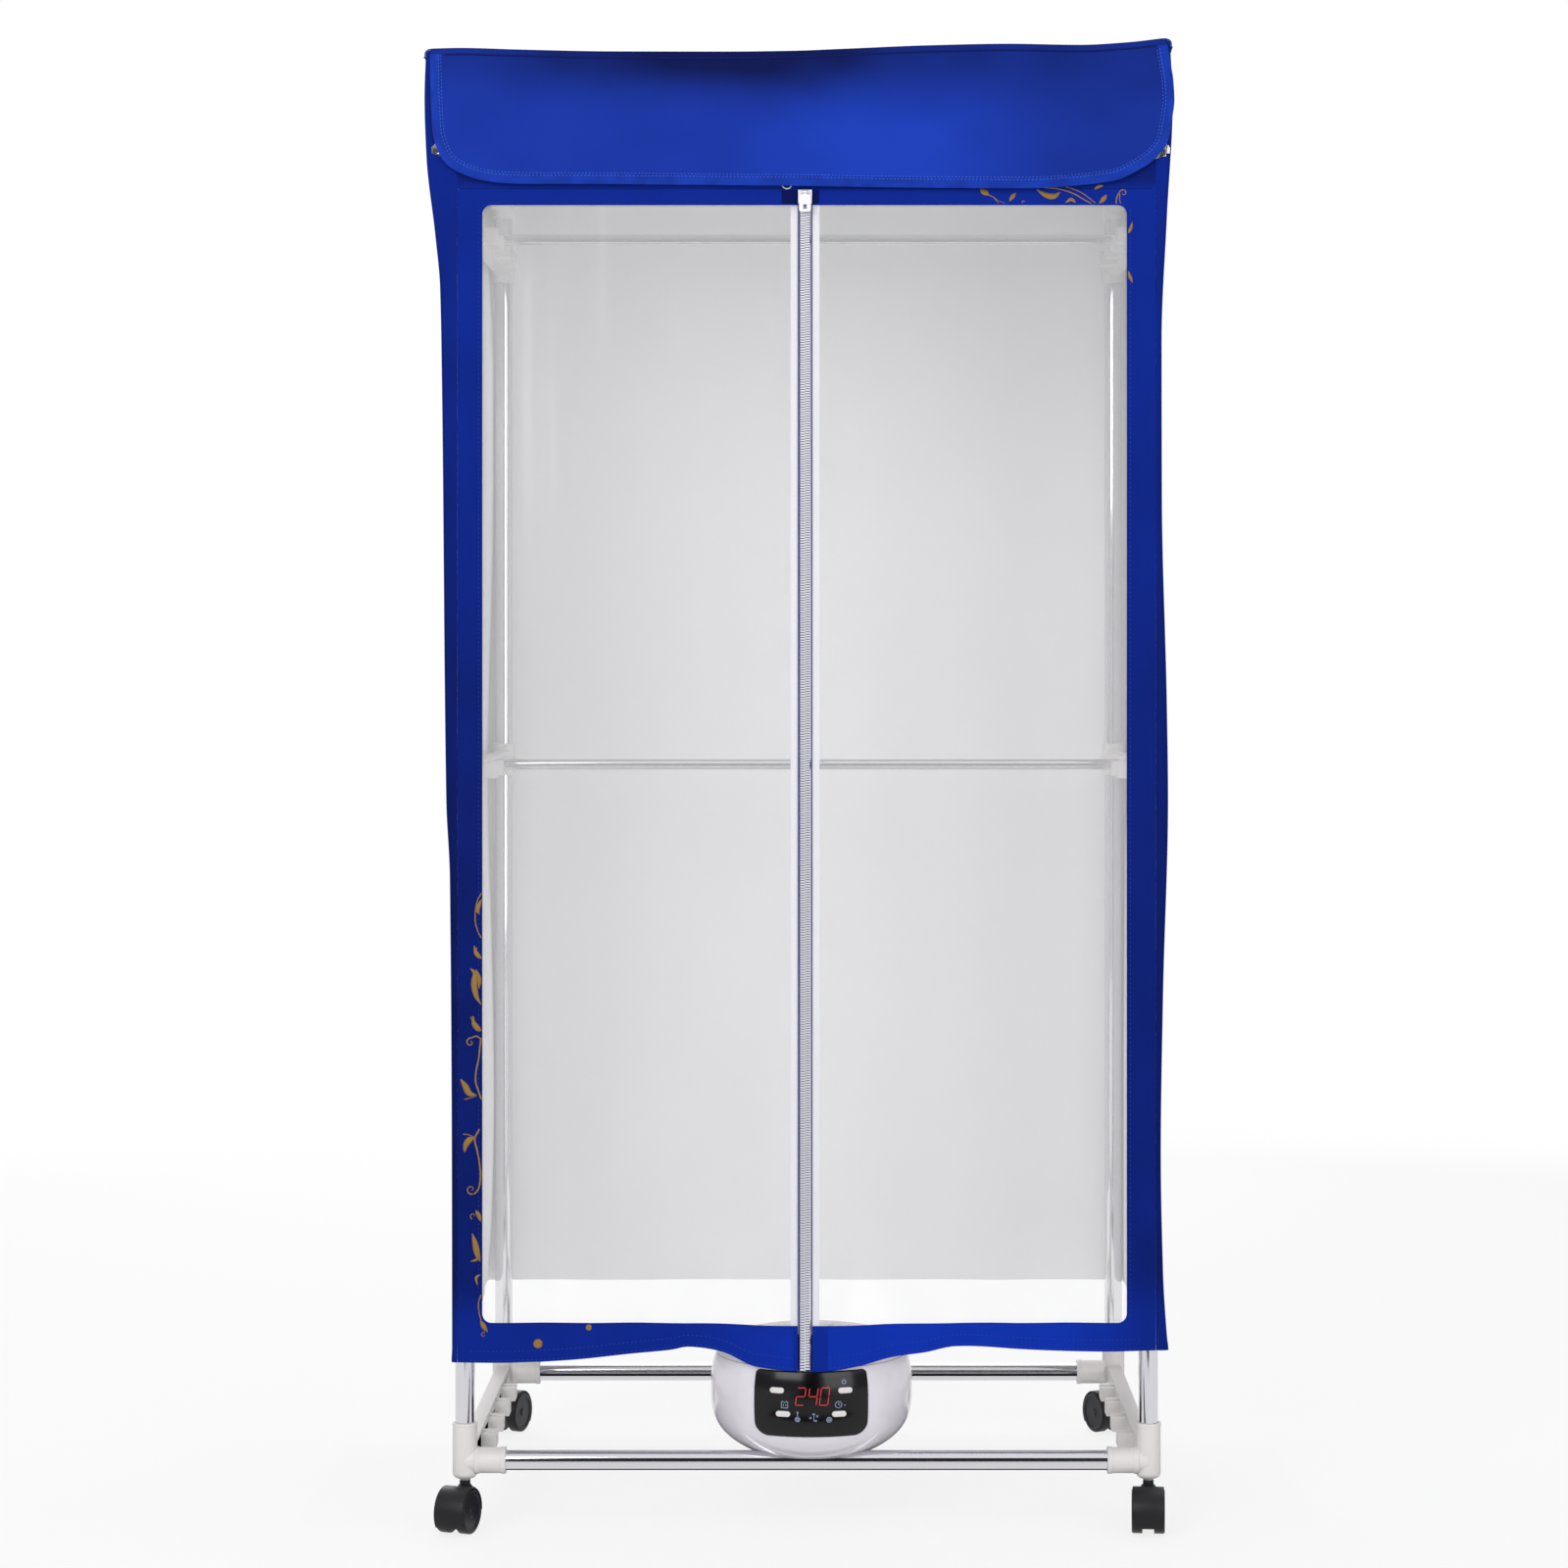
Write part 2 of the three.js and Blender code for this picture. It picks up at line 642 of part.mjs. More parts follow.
const postFoot = tubeLevel - sleeveDown + sleeveFloor + fitGap;
for (const { name, side, depth } of corners) {
  const at = [side * halfSpacing, depth * halfDepth, 0];
  place(`connector_${name}`, connector(side, depth), whitePlastic, [at[0], at[1], tubeLevel]);
  place(`post_${name}`, tube(tubeRadius, tubeRadius - tubeWall, [postFoot, postTop], "z"), chrome, at);
  place(`bracket_${name}`, topBracket(depth), whitePlastic, at);
}

const rails = [
  { name: "base_rail", level: tubeLevel },
  { name: "middle_rail", level: lowerRodLevel - rodRise },
  { name: "upper_rail", level: upperRodLevel - rodRise },
];
for (const { name, level } of rails) {
  place(`${name}_left`, sideRail(-1, level), whitePlastic, [-halfSpacing, 0, level]);
  place(`${name}_right`, sideRail(1, level), whitePlastic, [halfSpacing, 0, level]);
}

const baseTubeHalf = halfSpacing - armLength + armSocket - fitGap;
const baseTube = tube(tubeRadius, tubeRadius - tubeWall, [-baseTubeHalf, baseTubeHalf], "x");
place("base_tube_front", baseTube, chrome, [0, -halfDepth, tubeLevel]);
place("base_tube_rear", baseTube, chrome, [0, halfDepth, tubeLevel]);

const rodY = (rodTooth - (toothCount - 1) / 2) * toothPitch;
const hangingRod = rod(rodRadius, [-hangingRodLength / 2, hangingRodLength / 2], "x", smallSides);
place("hanging_rod_upper", hangingRod, chrome, [0, rodY, upperRodLevel]);
place("hanging_rod_lower", hangingRod, chrome, [0, rodY, lowerRodLevel]);

const topRod = rod(rodRadius, [-topRodLength / 2, topRodLength / 2], "x", smallSides);
place("top_rod_front", topRod, chrome, [-topRodShift, topRodInset - halfDepth, topRodLevel]);
place("top_rod_rear", topRod, chrome, [topRodShift, halfDepth - topRodInset, topRodLevel]);

// Outer radius of the round housing at a level.
function housingRadius(level) {
  if (level <= heaterWidest) {
    const t = (level - heaterBase) / (heaterWidest - heaterBase);
    return mix(heaterFootRadius, heaterRadius, 1 - (1 - t) ** bowlPower);
  }
  const t = (level - heaterWidest) / (crownLevel - heaterWidest);
  return mix(crownRadius, heaterRadius, Math.sqrt(1 - t ** crownPower));
}

const housingLevels = [
  ...bowlShares.map((share) => mix(heaterBase, heaterWidest, share)),
  ...crownShares.map((share) => mix(heaterWidest, shellTop, share)),
];

function buttonPrism({ across, level }, gap, [from, to]) {
  const angle = Math.asin(across / heaterRadius);
  const outline = pill(buttonLength + 2 * gap, buttonHeight + 2 * gap, [0, level]);
  return drawn(outline, [-to, -from], "y").rotateZ(angle);
}

// The bowl is moulded with a saddle over the front tube, four pillars and a shelf, all inside its outer form.
function housing() {
  const outer = housingLevels.map((level) => [housingRadius(level), level]);
  const inner = housingLevels.slice(1).map((level) => [housingRadius(level) - shellWall, level]);
  const innerFoot = [housingRadius(floorTop) - shellWall, floorTop];
  const full = turned([[0, heaterBase], ...outer, [0, shellTop]], "z", roundSides);
  const hollow = inner.filter(([, level]) => level > floorTop);
  const bowlProfile = [[0, heaterBase], ...outer, ...hollow.reverse(), innerFoot, [0, floorTop]];
  const bowl = turned(bowlProfile, "z", roundSides);
  const tubeAt = [0, -heaterSetback, tubeLevel];
  const span = [-heaterRadius, heaterRadius];
  const saddle = common(full, rod(boreRadius + shellWall, span, "x").translate(...tubeAt));
  const pillars = [-1, 1].flatMap((side) => [-1, 1].map((end) => {
    const pillar = rod(pillarRadius, [heaterBase, elementPillarTop], "z", smallSides);
    return common(full, pillar.translate(side * pillarAcross, end * pillarAlong, 0));
  }));
  const shelfTop = boardLevel - fitGap;
  const shelf = common(full, block(
    [-shelfHalf, shelfHalf],
    [-heaterRadius, shelfReach - heaterRadius],
    [shelfTop - shelfThick, shelfTop],
  ));
  const slots = Array.from({ length: intakeSlotCount }, (_, i) => {
    const slot = block(
      [intakeFrom, intakeTo],
      [-intakeSlotWidth / 2, intakeSlotWidth / 2],
      [heaterBase - overrun, floorTop + overrun],
    );
    return slot.rotateZ(((i + 0.5) * 2 * Math.PI) / intakeSlotCount);
  });
  const buttonHoles = buttonPlaces.map((button) =>
    buttonPrism(button, fitGap, [heaterRadius - shelfReach, heaterRadius + overrun]));
  const inletHole = block(
    [-inletWidth / 2 - fitGap, inletWidth / 2 + fitGap],
    [heaterRadius - inletDepth, heaterRadius + overrun],
    [inletLevel - inletHeight / 2 - fitGap, inletLevel + inletHeight / 2 + fitGap],
  );
  return cut(
    join(bowl, saddle, ...pillars, shelf),
    rod(boreRadius, span, "x").translate(...tubeAt),
    ...slots,
    ...buttonHoles,
    inletHole,
  );
}

function topCover() {
  const outer = [shellTop + fitGap, mix(shellTop, lidShoulder, 0.5), lidShoulder];
  const grilleFoot = heaterTop - grilleThick - fitGap;
  const seat = grilleRadius + fitGap;
  const wall = shellWall;
  return turned([
    [housingRadius(outer[0]) - wall, outer[0]],
    ...outer.map((level) => [housingRadius(level), level]),
    [lidFlatRadius, heaterTop], [seat, heaterTop], [seat, grilleFoot],
    [seat - grilleLedge, grilleFoot], [seat - grilleLedge, grilleFoot - wall],
    [housingRadius(outer[1]) - 2 * wall, outer[1]],
    [housingRadius(outer[0]) - wall, outer[0]],
  ], "z", roundSides);
}

function outletGrille() {
  const disc = rod(grilleRadius, [heaterTop - grilleThick, heaterTop], "z", roundSides);
  const slots = Array.from({ length: grilleSlotCount }, (_, i) => {
    const slot = block(
      [grilleSlotFrom, grilleSlotTo],
      [-grilleSlotWidth / 2, grilleSlotWidth / 2],
      [heaterTop - grilleThick - overrun, heaterTop + overrun],
    );
    return slot.rotateZ((i * 2 * Math.PI) / grilleSlotCount);
  });
  return cut(disc, ...slots);
}

// The panel hugs the housing; its lower corners are round.
function controlPanel() {
  const shared = housingLevels.filter((level) => level > panelLow && level < panelHigh);
  const panelLevels = [panelLow, ...shared, panelLow + panelCorner, panelHigh].sort((a, b) => a - b);
  const pointAt = (stand) => (column, row) => {
    const level = panelLevels[row];
    const above = Math.min(level - panelLow, panelCorner);
    const cornerIn = panelCorner - Math.sqrt(panelCorner ** 2 - (panelCorner - above) ** 2);
    const across = mix(-1, 1, column / panelColumns) * (panelHalfWidth - cornerIn);
    const angle = Math.asin(across / heaterRadius);
    const radius = housingRadius(level) + stand;
    return [radius * Math.sin(angle), -radius * Math.cos(angle), level];
  };
  const plate = sheet(panelColumns, panelLevels.length - 1, pointAt(fitGap + panelThick), pointAt(fitGap));
  const holes = buttonPlaces.map((button) =>
    buttonPrism(button, fitGap, [heaterRadius - shelfReach, heaterRadius + shelfReach]));
  return cut(plate, ...holes);
}

function motor() {
  const top = motorHeight + motorNeckHeight;
  return turned([
    [0, 0], [motorRadius, 0], [motorRadius, motorHeight], [motorNeckRadius, motorHeight],
    [motorNeckRadius, top], [shaftRadius, top], [shaftRadius, top + shaftHeight], [0, top + shaftHeight],
  ], "z", tubeSides);
}

function fan() {
  const blades = Array.from({ length: fanBladeCount }, (_, i) => {
    const blade = block(
      [fanHubRadius - fanBladeThick, fanRadius],
      [-fanBladeChord / 2, fanBladeChord / 2],
      [-fanBladeThick / 2, fanBladeThick / 2],
    );
    blade.rotateX(THREE.MathUtils.degToRad(fanBladeTilt));
    return blade.rotateZ((i * 2 * Math.PI) / fanBladeCount).translate(0, 0, fanHubHeight / 2);
  });
  const hub = rod(fanHubRadius, [0, fanHubHeight], "z");
  return cut(join(hub, ...blades), rod(shaftRadius + fitGap, [-overrun, fanHubHeight + overrun], "z"));
}

function heatingElement() {
  const halfWidth = elementWidth / 2;
  const halfDeep = elementDepth / 2;
  const core = block([-halfWidth, halfWidth], [-halfDeep, halfDeep], [0, elementHeight]);
  const ears = block([-lugReach, lugReach], [-lugHalf, lugHalf], [0, lugThick]);
  const pitch = elementWidth / elementSlotCount;
  const slots = Array.from({ length: elementSlotCount }, (_, i) => {
    const x = (i + 0.5) * pitch - halfWidth;
    return block(
      [x - elementSlotWidth / 2, x + elementSlotWidth / 2],
      [elementWall - halfDeep, halfDeep - elementWall],
      [-overrun, elementHeight + overrun],
    );
  });
  return cut(join(core, ears), ...slots);
}

function controlBoard() {
  const board = block([-boardWidth / 2, boardWidth / 2], [0, boardThick], [0, boardHeight]);
  const switches = buttonPlaces.map(({ across, level }) => block(
    [across - switchSize / 2, across + switchSize / 2],
    [-switchHeight, boardThick / 2],
    [level - boardLevel - switchSize / 2, level - boardLevel + switchSize / 2],
  ));
  return join(board, ...switches);
}

function powerInlet() {
  const back = housingRadius(inletLevel) + inletProud;
  const body = block(
    [-inletWidth / 2, inletWidth / 2],
    [back - inletDepth, back],
    [-inletHeight / 2, inletHeight / 2],
  );
  const socket = block(
    [-socketWidth / 2, socketWidth / 2],
    [back - socketDepth, back + overrun],
    [-socketHeight / 2, socketHeight / 2],
  );
  return cut(body, socket);
}

// Two bars under the housing, tied by a plate, that hook over the rear tube.
function carrier() {
  const top = heaterBase - fitGap - tubeLevel;
  const level = [top - carrierBarThick, top];
  const hookOutline = [
    ...arc([0, 0], boreRadius + carrierBarThick, 0, 180, hookSteps),
    ...arc([0, 0], boreRadius, 180, 0, hookSteps),
  ];
  const start = carrierStart - postDepth;
  const bars = [-1, 1].flatMap((side) => {
    const x = [side * carrierSpread - carrierBarWidth / 2, side * carrierSpread + carrierBarWidth / 2];
    return [block(x, [start, -boreRadius - carrierBarThick / 2], level), drawn(hookOutline, x, "x")];
  });
  const tieY = carrierTieSetback - postDepth;
  const tie = block([-carrierSpread, carrierSpread], [tieY, tieY + carrierTie], level);
  return join(...bars, tie);
}

const heaterAt = [heaterX, heaterY, 0];
place("heater_housing", housing(), glossWhite, heaterAt);
place("heater_top_cover", topCover(), glossWhite, heaterAt);
place("outlet_grille", outletGrille(), whitePlastic, heaterAt);
place("control_panel", controlPanel(), glossBlack, heaterAt);
for (const button of buttonPlaces) {
  const outer = housingRadius(button.level) + fitGap + panelThick + buttonProud;
  place(button.name, buttonPrism(button, 0, [outer - buttonDepth, outer]), whitePlastic, heaterAt);
}
place("fan_motor", motor(), steel, [heaterX, heaterY, floorTop + fitGap]);
place("fan_impeller", fan(), blackPlastic, [heaterX, heaterY, fanLevel]);
place("heating_element", heatingElement(), ceramic, [heaterX, heaterY, elementLevel]);
const boardAt = [heaterX, heaterY - heaterRadius + boardSetback, boardLevel];
place("control_board", controlBoard(), boardGreen, boardAt);
place("power_inlet", powerInlet(), blackPlastic, [heaterX, heaterY, inletLevel]);
place("heater_carrier", carrier(), steel, [heaterX, halfDepth, tubeLevel]);

const heightShare = (level) => (level - hemLevel) / (coverTop - hemLevel);
const hemLine = (x) => hemLevel + hemSwing * shareAt(hemLineShares, x / sideHalf);
const topLine = (x) => coverTop + coverTopSwing * shareAt(topLineShares, x / sideHalf);

// Half width of the cover; the back is the mirror image of the front.
function frontEdge(side, level) {
  return sideHalf + edgeSwing * shareAt(side < 0 ? leftEdgeShares : rightEdgeShares, heightShare(level));
}
const edgeAt = (side, level, back) => mix(frontEdge(side, level), frontEdge(-side, level), back);
const topAt = (x, back) => mix(topLine(x), topLine(-x), back);
const underTop = clothThick + seamGap;

function fadeAbove(level, start, height) {
  const t = THREE.MathUtils.clamp((level - start) / height, 0, 1);
  return 1 - (3 - 2 * t) * t * t;
}
const foldFade = (level) => fadeAbove(level, foldFadeLevel, foldFadeHeight);

// A side cloth turns round the front corner and ends at the curtain's hinge seam.
function sideCloth(side) {
  const pointAt = (inset) => (column, row) => {
    const between = THREE.MathUtils.clamp((column - 2) / sideColumns, 0, 1);
    const cornerShare = sideCornerRun / (backClothY - curtainY);
    const inner = column > sideColumns + 2 ? 1 : mix(cornerShare, 1 - cornerShare, between);
    const back = column < 2 ? 0 : inner;
    const topEdge = column === 0 ? hingeX : edgeAt(side, coverTop, back) - sideDraw * wave(1, between);
    const foot = mix(hemLine(side * sideHalf), backHemLevel, back);
    const level = mix(foot, topAt(side * topEdge, back) - underTop, coverRowShares[row]);
    const y = mix(curtainY, backClothY, back);
    if (column === 0) return [side * (hingeX + seamGap), curtainY + inset, level];
    const draw = sideDraw * wave(1, between) + sideFold * wave(sideFoldCount, between) * foldFade(level);
    const x = edgeAt(side, level, back) - draw - inset;
    return [side * x, column === 1 ? y + inset : y, level];
  };
  const cloth = sheet(sideColumns + 3, coverRowShares.length - 1, pointAt(0), pointAt(clothThick));
  const openTo = frontEdge(side, topRodLevel) - cornerLap;
  const opening = block(
    [side * (hingeX - overrun), side * openTo],
    [curtainY - overrun, curtainY + clothThick + fitGap],
    [bandTop, coverTop + coverTopSwing],
  );
  return cut(cloth, opening);
}

function backCloth() {
  const pointAt = (inset) => (column, row) => {
    const across = column / topColumns;
    const inside = clothThick + fitGap;
    const span = (level) => mix(inside - edgeAt(-1, level, 1), edgeAt(1, level, 1) - inside, across);
    const level = mix(backHemLevel, topAt(span(coverTop), 1) - underTop, coverRowShares[row]);
    const fold = backFold * wave(backFoldCount, across) * foldFade(level);
    return [span(level), backClothY + fold - inset, level];
  };
  return sheet(topColumns, coverRowShares.length - 1, pointAt(0), pointAt(clothThick));
}

function topCloth() {
  const pointAt = (drop) => (column, row) => {
    const back = row / topRows;
    const across = column / topColumns;
    const x = mix(-edgeAt(-1, coverTop, back), edgeAt(1, coverTop, back), across);
    const sag = topSag * ((1 - (2 * across - 1) ** 2) * (1 - (2 * back - 1) ** 2)) ** 2;
    return [x, mix(curtainY, backClothY, back), topAt(x, back) - sag - drop];
  };
  return sheet(topColumns, topRows, pointAt(0), pointAt(clothThick));
}

// The band runs above the curtain and steps back behind its head.
function frontBand() {
  const lapTop = curtainTop + fitGap;
  const rows = [
    { level: bandLow, half: bandLapHalf, setback: bandSetback },
    { level: lapTop, half: bandLapHalf, setback: bandSetback },
    { level: lapTop + bandStep, half: hingeX, setback: 0 },
    { level: bandTop, half: hingeX, setback: 0 },
  ];
  const pointAt = (inset) => (column, row) => {
    const { level, half, setback } = rows[row];
    return [mix(-half, half, column / topColumns), curtainY + setback + inset, level];
  };
  return sheet(topColumns, rows.length - 1, pointAt(0), pointAt(clothThick));
}

// How far the front cloth stands out from its flat plane, over the heater and in the folds at the hem.
function frontPush(x, level) {
  const above = level - hemLevel;
  const sideways = (x - heaterX) / heaterPushWidth;
  const overHeater = Math.exp(-(sideways ** 2)) * Math.exp(-above / heaterPushHeight);
  const folds = wave(hemFoldCount, x / hingeX) * Math.exp(-above / hemFoldHeight);
  return (heaterPush * overHeater + hemFold * folds) * fadeAbove(level, pushFadeLevel, pushFadeHeight);
}

// Levels that all layers of the curtain share, so that they lie flat on each other.
const filmLow = windowLow - windowLap;
const filmHigh = windowHigh + windowLap;
const windowLevels = curtainRowShares.map((share) => mix(windowLow, windowHigh, share));
const filmLevels = [filmLow, windowLow, ...windowLevels, filmHigh];

// A layer of the curtain: its columns lie at the given places, and it may reach down to the hem.
function curtainLayer(places, levels, setback, thick, toHem) {
  const pointAt = (depth) => (column, row) => {
    const x = places[column];
    const level = toHem && row === 0 ? hemLine(x) : levels[row];
    return [x, curtainY + depth - frontPush(x, level), level];
  };
  return sheet(places.length - 1, levels.length - 1, pointAt(setback), pointAt(setback + thick));
}

const hemLevels = [hemLevel, ...filmLevels, curtainTop - fitGap];
const chainEdge = (side) => zipX + side * chainHalf;

// Columns of one curtain half, from the zip outwards; the cloth and the film share those between.
function curtainPlaces(side, first, last) {
  const tapeEdge = zipX + side * tapeHalf;
  const filmEdge = side < 0 ? -windowLeft - windowLap : windowRight + windowLap;
  const steps = Array.from({ length: curtainColumns }, (_, i) => (i + 1) / curtainColumns);
  const between = steps.map((share) => mix(tapeEdge, filmEdge, share));
  return last === undefined ? [first, tapeEdge, ...between] : [first, tapeEdge, ...between, last];
}

function curtainCloth(side) {
  const places = curtainPlaces(side, chainEdge(side) + side * chainGap, side * hingeX);
  const cloth = curtainLayer(places, hemLevels, 0, clothThick, true);
  const cornerX = side * ((side < 0 ? windowLeft : windowRight) - windowCorner);
  const open = side * (windowCorner + overrun);
  const outline = [
    [zipX - open, windowLow],
    ...arc([cornerX, windowLow + windowCorner], windowCorner, -90, side < 0 ? -180 : 0, arcSteps),
    ...arc([cornerX, windowHigh - windowCorner], windowCorner, side < 0 ? 180 : 0, 90, arcSteps),
    [zipX - open, windowHigh],
  ];
  return cut(cloth, drawn(outline, [curtainY - heaterRadius, curtainY + clothGap], "y"));
}

function windowFilm(side) {
  const places = curtainPlaces(side, chainEdge(side) + side * seamGap);
  return curtainLayer(places, filmLevels, filmSetback, filmThick, false);
}

// The left tape carries the closed chain, so either half can open past the other.
function zipChain() {
  const tapePlaces = [zipX - tapeHalf, chainEdge(-1) - seamGap, zipX, chainEdge(1)];
  const tape = curtainLayer(tapePlaces, hemLevels, tapeSetback, tapeThick, true);
  const chainPlaces = [chainEdge(-1), zipX, chainEdge(1)];
  const chainDepth = chainRise + tapeSetback + tapeThick / 2;
  return join(tape, curtainLayer(chainPlaces, hemLevels, -chainRise, chainDepth, true));
}

function zipTape() {
  const places = [chainEdge(1) + fitGap, chainEdge(1) + seamGap, zipX + tapeHalf];
  return curtainLayer(places, hemLevels, tapeSetback, tapeThick, true);
}

const sliderBack = curtainY - chainRise - fitGap;
const sliderFront = sliderBack - sliderFace;
const pinY = sliderFront - pinStand;
const pinLevel = sliderLevel + sliderHeight - pinDrop;

// The slider straddles the chain and holds the pull's pin between two lugs.
function slider() {
  const inner = chainHalf + fitGap;
  const outer = inner + sliderCheek;
  const height = [sliderLevel, sliderLevel + sliderHeight];
  const plate = block([-outer, outer], [sliderFront, sliderBack], height);
  const cheeks = [-1, 1].map((side) =>
    block([side * inner, side * outer], [sliderFront, sliderBack + sliderCheekDepth], height));
  const lugs = [-1, 1].flatMap((side) => {
    const x = [side * lugGap, side * (lugGap + lugWidth)];
    return [
      rod(lugRadius, x, "x").translate(0, pinY, pinLevel),
      block(x, [pinY, sliderBack], [pinLevel - lugRadius, pinLevel + lugRadius]),
    ];
  });
  const pinHalf = lugGap + lugWidth / 2;
  const pin = rod(pinRadius, [-pinHalf, pinHalf], "x").translate(0, pinY, pinLevel);
  return join(plate, ...cheeks, ...lugs, pin);
}

// The pull hangs from its pin: a barrel, a narrow neck and a plate with a slot near its lower end.
function pull() {
  const barrelHalf = lugGap - fitGap;
  const plateTop = -lugRadius - fitGap;
  const barrel = rod(lugRadius, [-barrelHalf, barrelHalf], "x");
  const neck = block([-barrelHalf, barrelHalf], [-pullThick / 2, pullThick / 2], [-pullShoulder, 0]);
  const half = pullWidth / 2;
  const outline = [
    ...arc([pullRound - half, pullRound - pullLength], pullRound, 180, 270, arcSteps),
    ...arc([half - pullRound, pullRound - pullLength], pullRound, 270, 360, arcSteps),
    [half, -pullShoulder], [barrelHalf, plateTop], [-barrelHalf, plateTop], [-half, -pullShoulder],
  ];
  const plate = drawn(outline, [-pullThick / 2, pullThick / 2], "y");
  const slotLow = pullSlotRise - pullLength;
  const slot = block(
    [-pullSlotWidth / 2, pullSlotWidth / 2],
    [-pullThick, pullThick],
    [slotLow, slotLow + pullSlotHeight],
  );
  return cut(join(barrel, neck, plate), slot, rod(pinRadius + fitGap, [-half, half], "x"));
}

// The flap hangs from the top's front edge; its lower corners are round and it leans out.
function flapCloth() {
  const cornerAngles = arc([0, 0], 1, 0, 90, arcSteps + 1).map(([share]) => 1 - share);
  const leftPlaces = cornerAngles.map((share) => flapCornerLeft * share - flapLeft);
  const rightPlaces = cornerAngles.map((share) => flapRight - flapCornerRight * share).reverse();
  const [from, to] = [leftPlaces[leftPlaces.length - 1], rightPlaces[0]];
  const middle = Array.from({ length: flapColumns - 1 }, (_, i) => mix(from, to, (i + 1) / flapColumns));
  const places = [...leftPlaces, ...middle, ...rightPlaces];
  const lowAt = (x) => {
    const radius = x < 0 ? flapCornerLeft : flapCornerRight;
    const inside = Math.max(0, radius - (x < 0 ? x + flapLeft : flapRight - x));
    return flapLow + radius - Math.sqrt(Math.max(0, radius ** 2 - inside ** 2));
  };
  const pointAt = (stand) => (column, row) => {
    const x = places[column];
    const up = row / flapRows;
    const level = mix(lowAt(x), topLine(x), up);
    const down = (topLine(x) - level) / (topLine(x) - flapLow);
    const across = (x + flapLeft) / (flapLeft + flapRight);
    const out = flapLean * down + flapFold * wave(flapFoldCount, across) * down;
    return [x + flapBulge * across ** 4 * Math.sin(Math.PI * up), curtainY - flapStand - out - stand, level];
  };
  return sheet(places.length - 1, flapRows, pointAt(clothThick), pointAt(0));
}

place("cover_side_left", sideCloth(-1), blueCloth);
place("cover_side_right", sideCloth(1), blueCloth);
place("cover_back", backCloth(), blueCloth);
place("cover_top", topCloth(), blueCloth);
place("cover_front_band", frontBand(), blueCloth);
place("cover_flap", flapCloth(), blueCloth);
place("curtain_left", curtainCloth(-1), blueCloth);
place("curtain_right", curtainCloth(1), blueCloth);
place("window_left", windowFilm(-1), clearFilm);
place("window_right", windowFilm(1), clearFilm);
place("zip_chain", zipChain(), zipMetal);
place("zip_tape", zipTape(), navyTape);
place("zip_slider", slider(), zipMetal, [zipX, 0, 0]);
place("zip_pull", pull(), zipMetal, [zipX, pinY, pinLevel]);

// The origin lies on the floor under the middle of the whole.
const bounds = new THREE.Box3().setFromObject(dryer, true);
const middle = bounds.getCenter(new THREE.Vector3());
dryer.position.set(-middle.x, -middle.y, -bounds.min.z);
const part = new THREE.Group();
part.add(dryer);
export default part;
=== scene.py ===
import json
import math

import bpy
import numpy as np
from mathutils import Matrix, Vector

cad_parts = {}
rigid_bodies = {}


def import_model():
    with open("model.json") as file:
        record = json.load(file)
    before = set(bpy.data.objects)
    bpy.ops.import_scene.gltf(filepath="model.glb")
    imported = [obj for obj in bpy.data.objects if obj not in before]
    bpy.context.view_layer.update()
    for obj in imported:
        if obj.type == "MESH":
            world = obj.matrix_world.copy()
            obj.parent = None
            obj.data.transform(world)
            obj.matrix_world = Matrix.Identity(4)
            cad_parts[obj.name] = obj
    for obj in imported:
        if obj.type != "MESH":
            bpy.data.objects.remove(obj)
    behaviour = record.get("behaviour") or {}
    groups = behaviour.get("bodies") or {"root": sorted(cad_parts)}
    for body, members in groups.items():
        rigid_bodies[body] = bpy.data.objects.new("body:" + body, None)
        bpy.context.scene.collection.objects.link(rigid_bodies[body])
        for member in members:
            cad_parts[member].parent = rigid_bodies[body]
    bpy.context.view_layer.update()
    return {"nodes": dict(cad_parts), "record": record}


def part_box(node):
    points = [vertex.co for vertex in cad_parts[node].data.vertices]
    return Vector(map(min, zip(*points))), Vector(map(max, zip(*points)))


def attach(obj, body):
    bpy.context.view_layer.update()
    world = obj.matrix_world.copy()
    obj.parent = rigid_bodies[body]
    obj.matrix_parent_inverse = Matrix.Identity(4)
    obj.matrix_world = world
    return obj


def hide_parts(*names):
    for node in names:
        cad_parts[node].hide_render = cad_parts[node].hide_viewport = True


for starter in [one for one in bpy.data.objects if one.name in ("Cube", "Light", "Camera")]:
    bpy.data.objects.remove(starter)
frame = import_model()

# Shapes are worked out in millimetres about the frame's own middle and placed in the shared frame in metres.
mmPerMetre, metresPerMm = 1000, 0.001
plan = {"halfWidth": 332, "halfDepth": 220, "footLevel": 67}  # the posts' axes and the foot tubes' level
postAxis = (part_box("post_front_left")[0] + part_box("post_front_left")[1]) / 2
shift = np.array([0, postAxis.y * mmPerMetre + plan["halfDepth"], 0])
plainSharp, clothSharp = 38, 60  # degrees from which an edge is shaded sharp


def inMetres(points):
    # (point + shift) / 1000
    return (np.asarray(points, float) + shift) * metresPerMm


def mix(a, b, t):
    # a at t = 0, b at t = 1, straight between
    return a + (b - a) * t


def smooth(t):
    # 3t^2 - 2t^3, with t held between 0 and 1
    t = np.clip(t, 0, 1)
    return t * t * (3 - 2 * t)


def wave(count, share):
    # count rises and falls between 0 and 1, as 1/2 - cos(2 pi count share) / 2
    return 0.5 - 0.5 * np.cos(2 * np.pi * count * share)


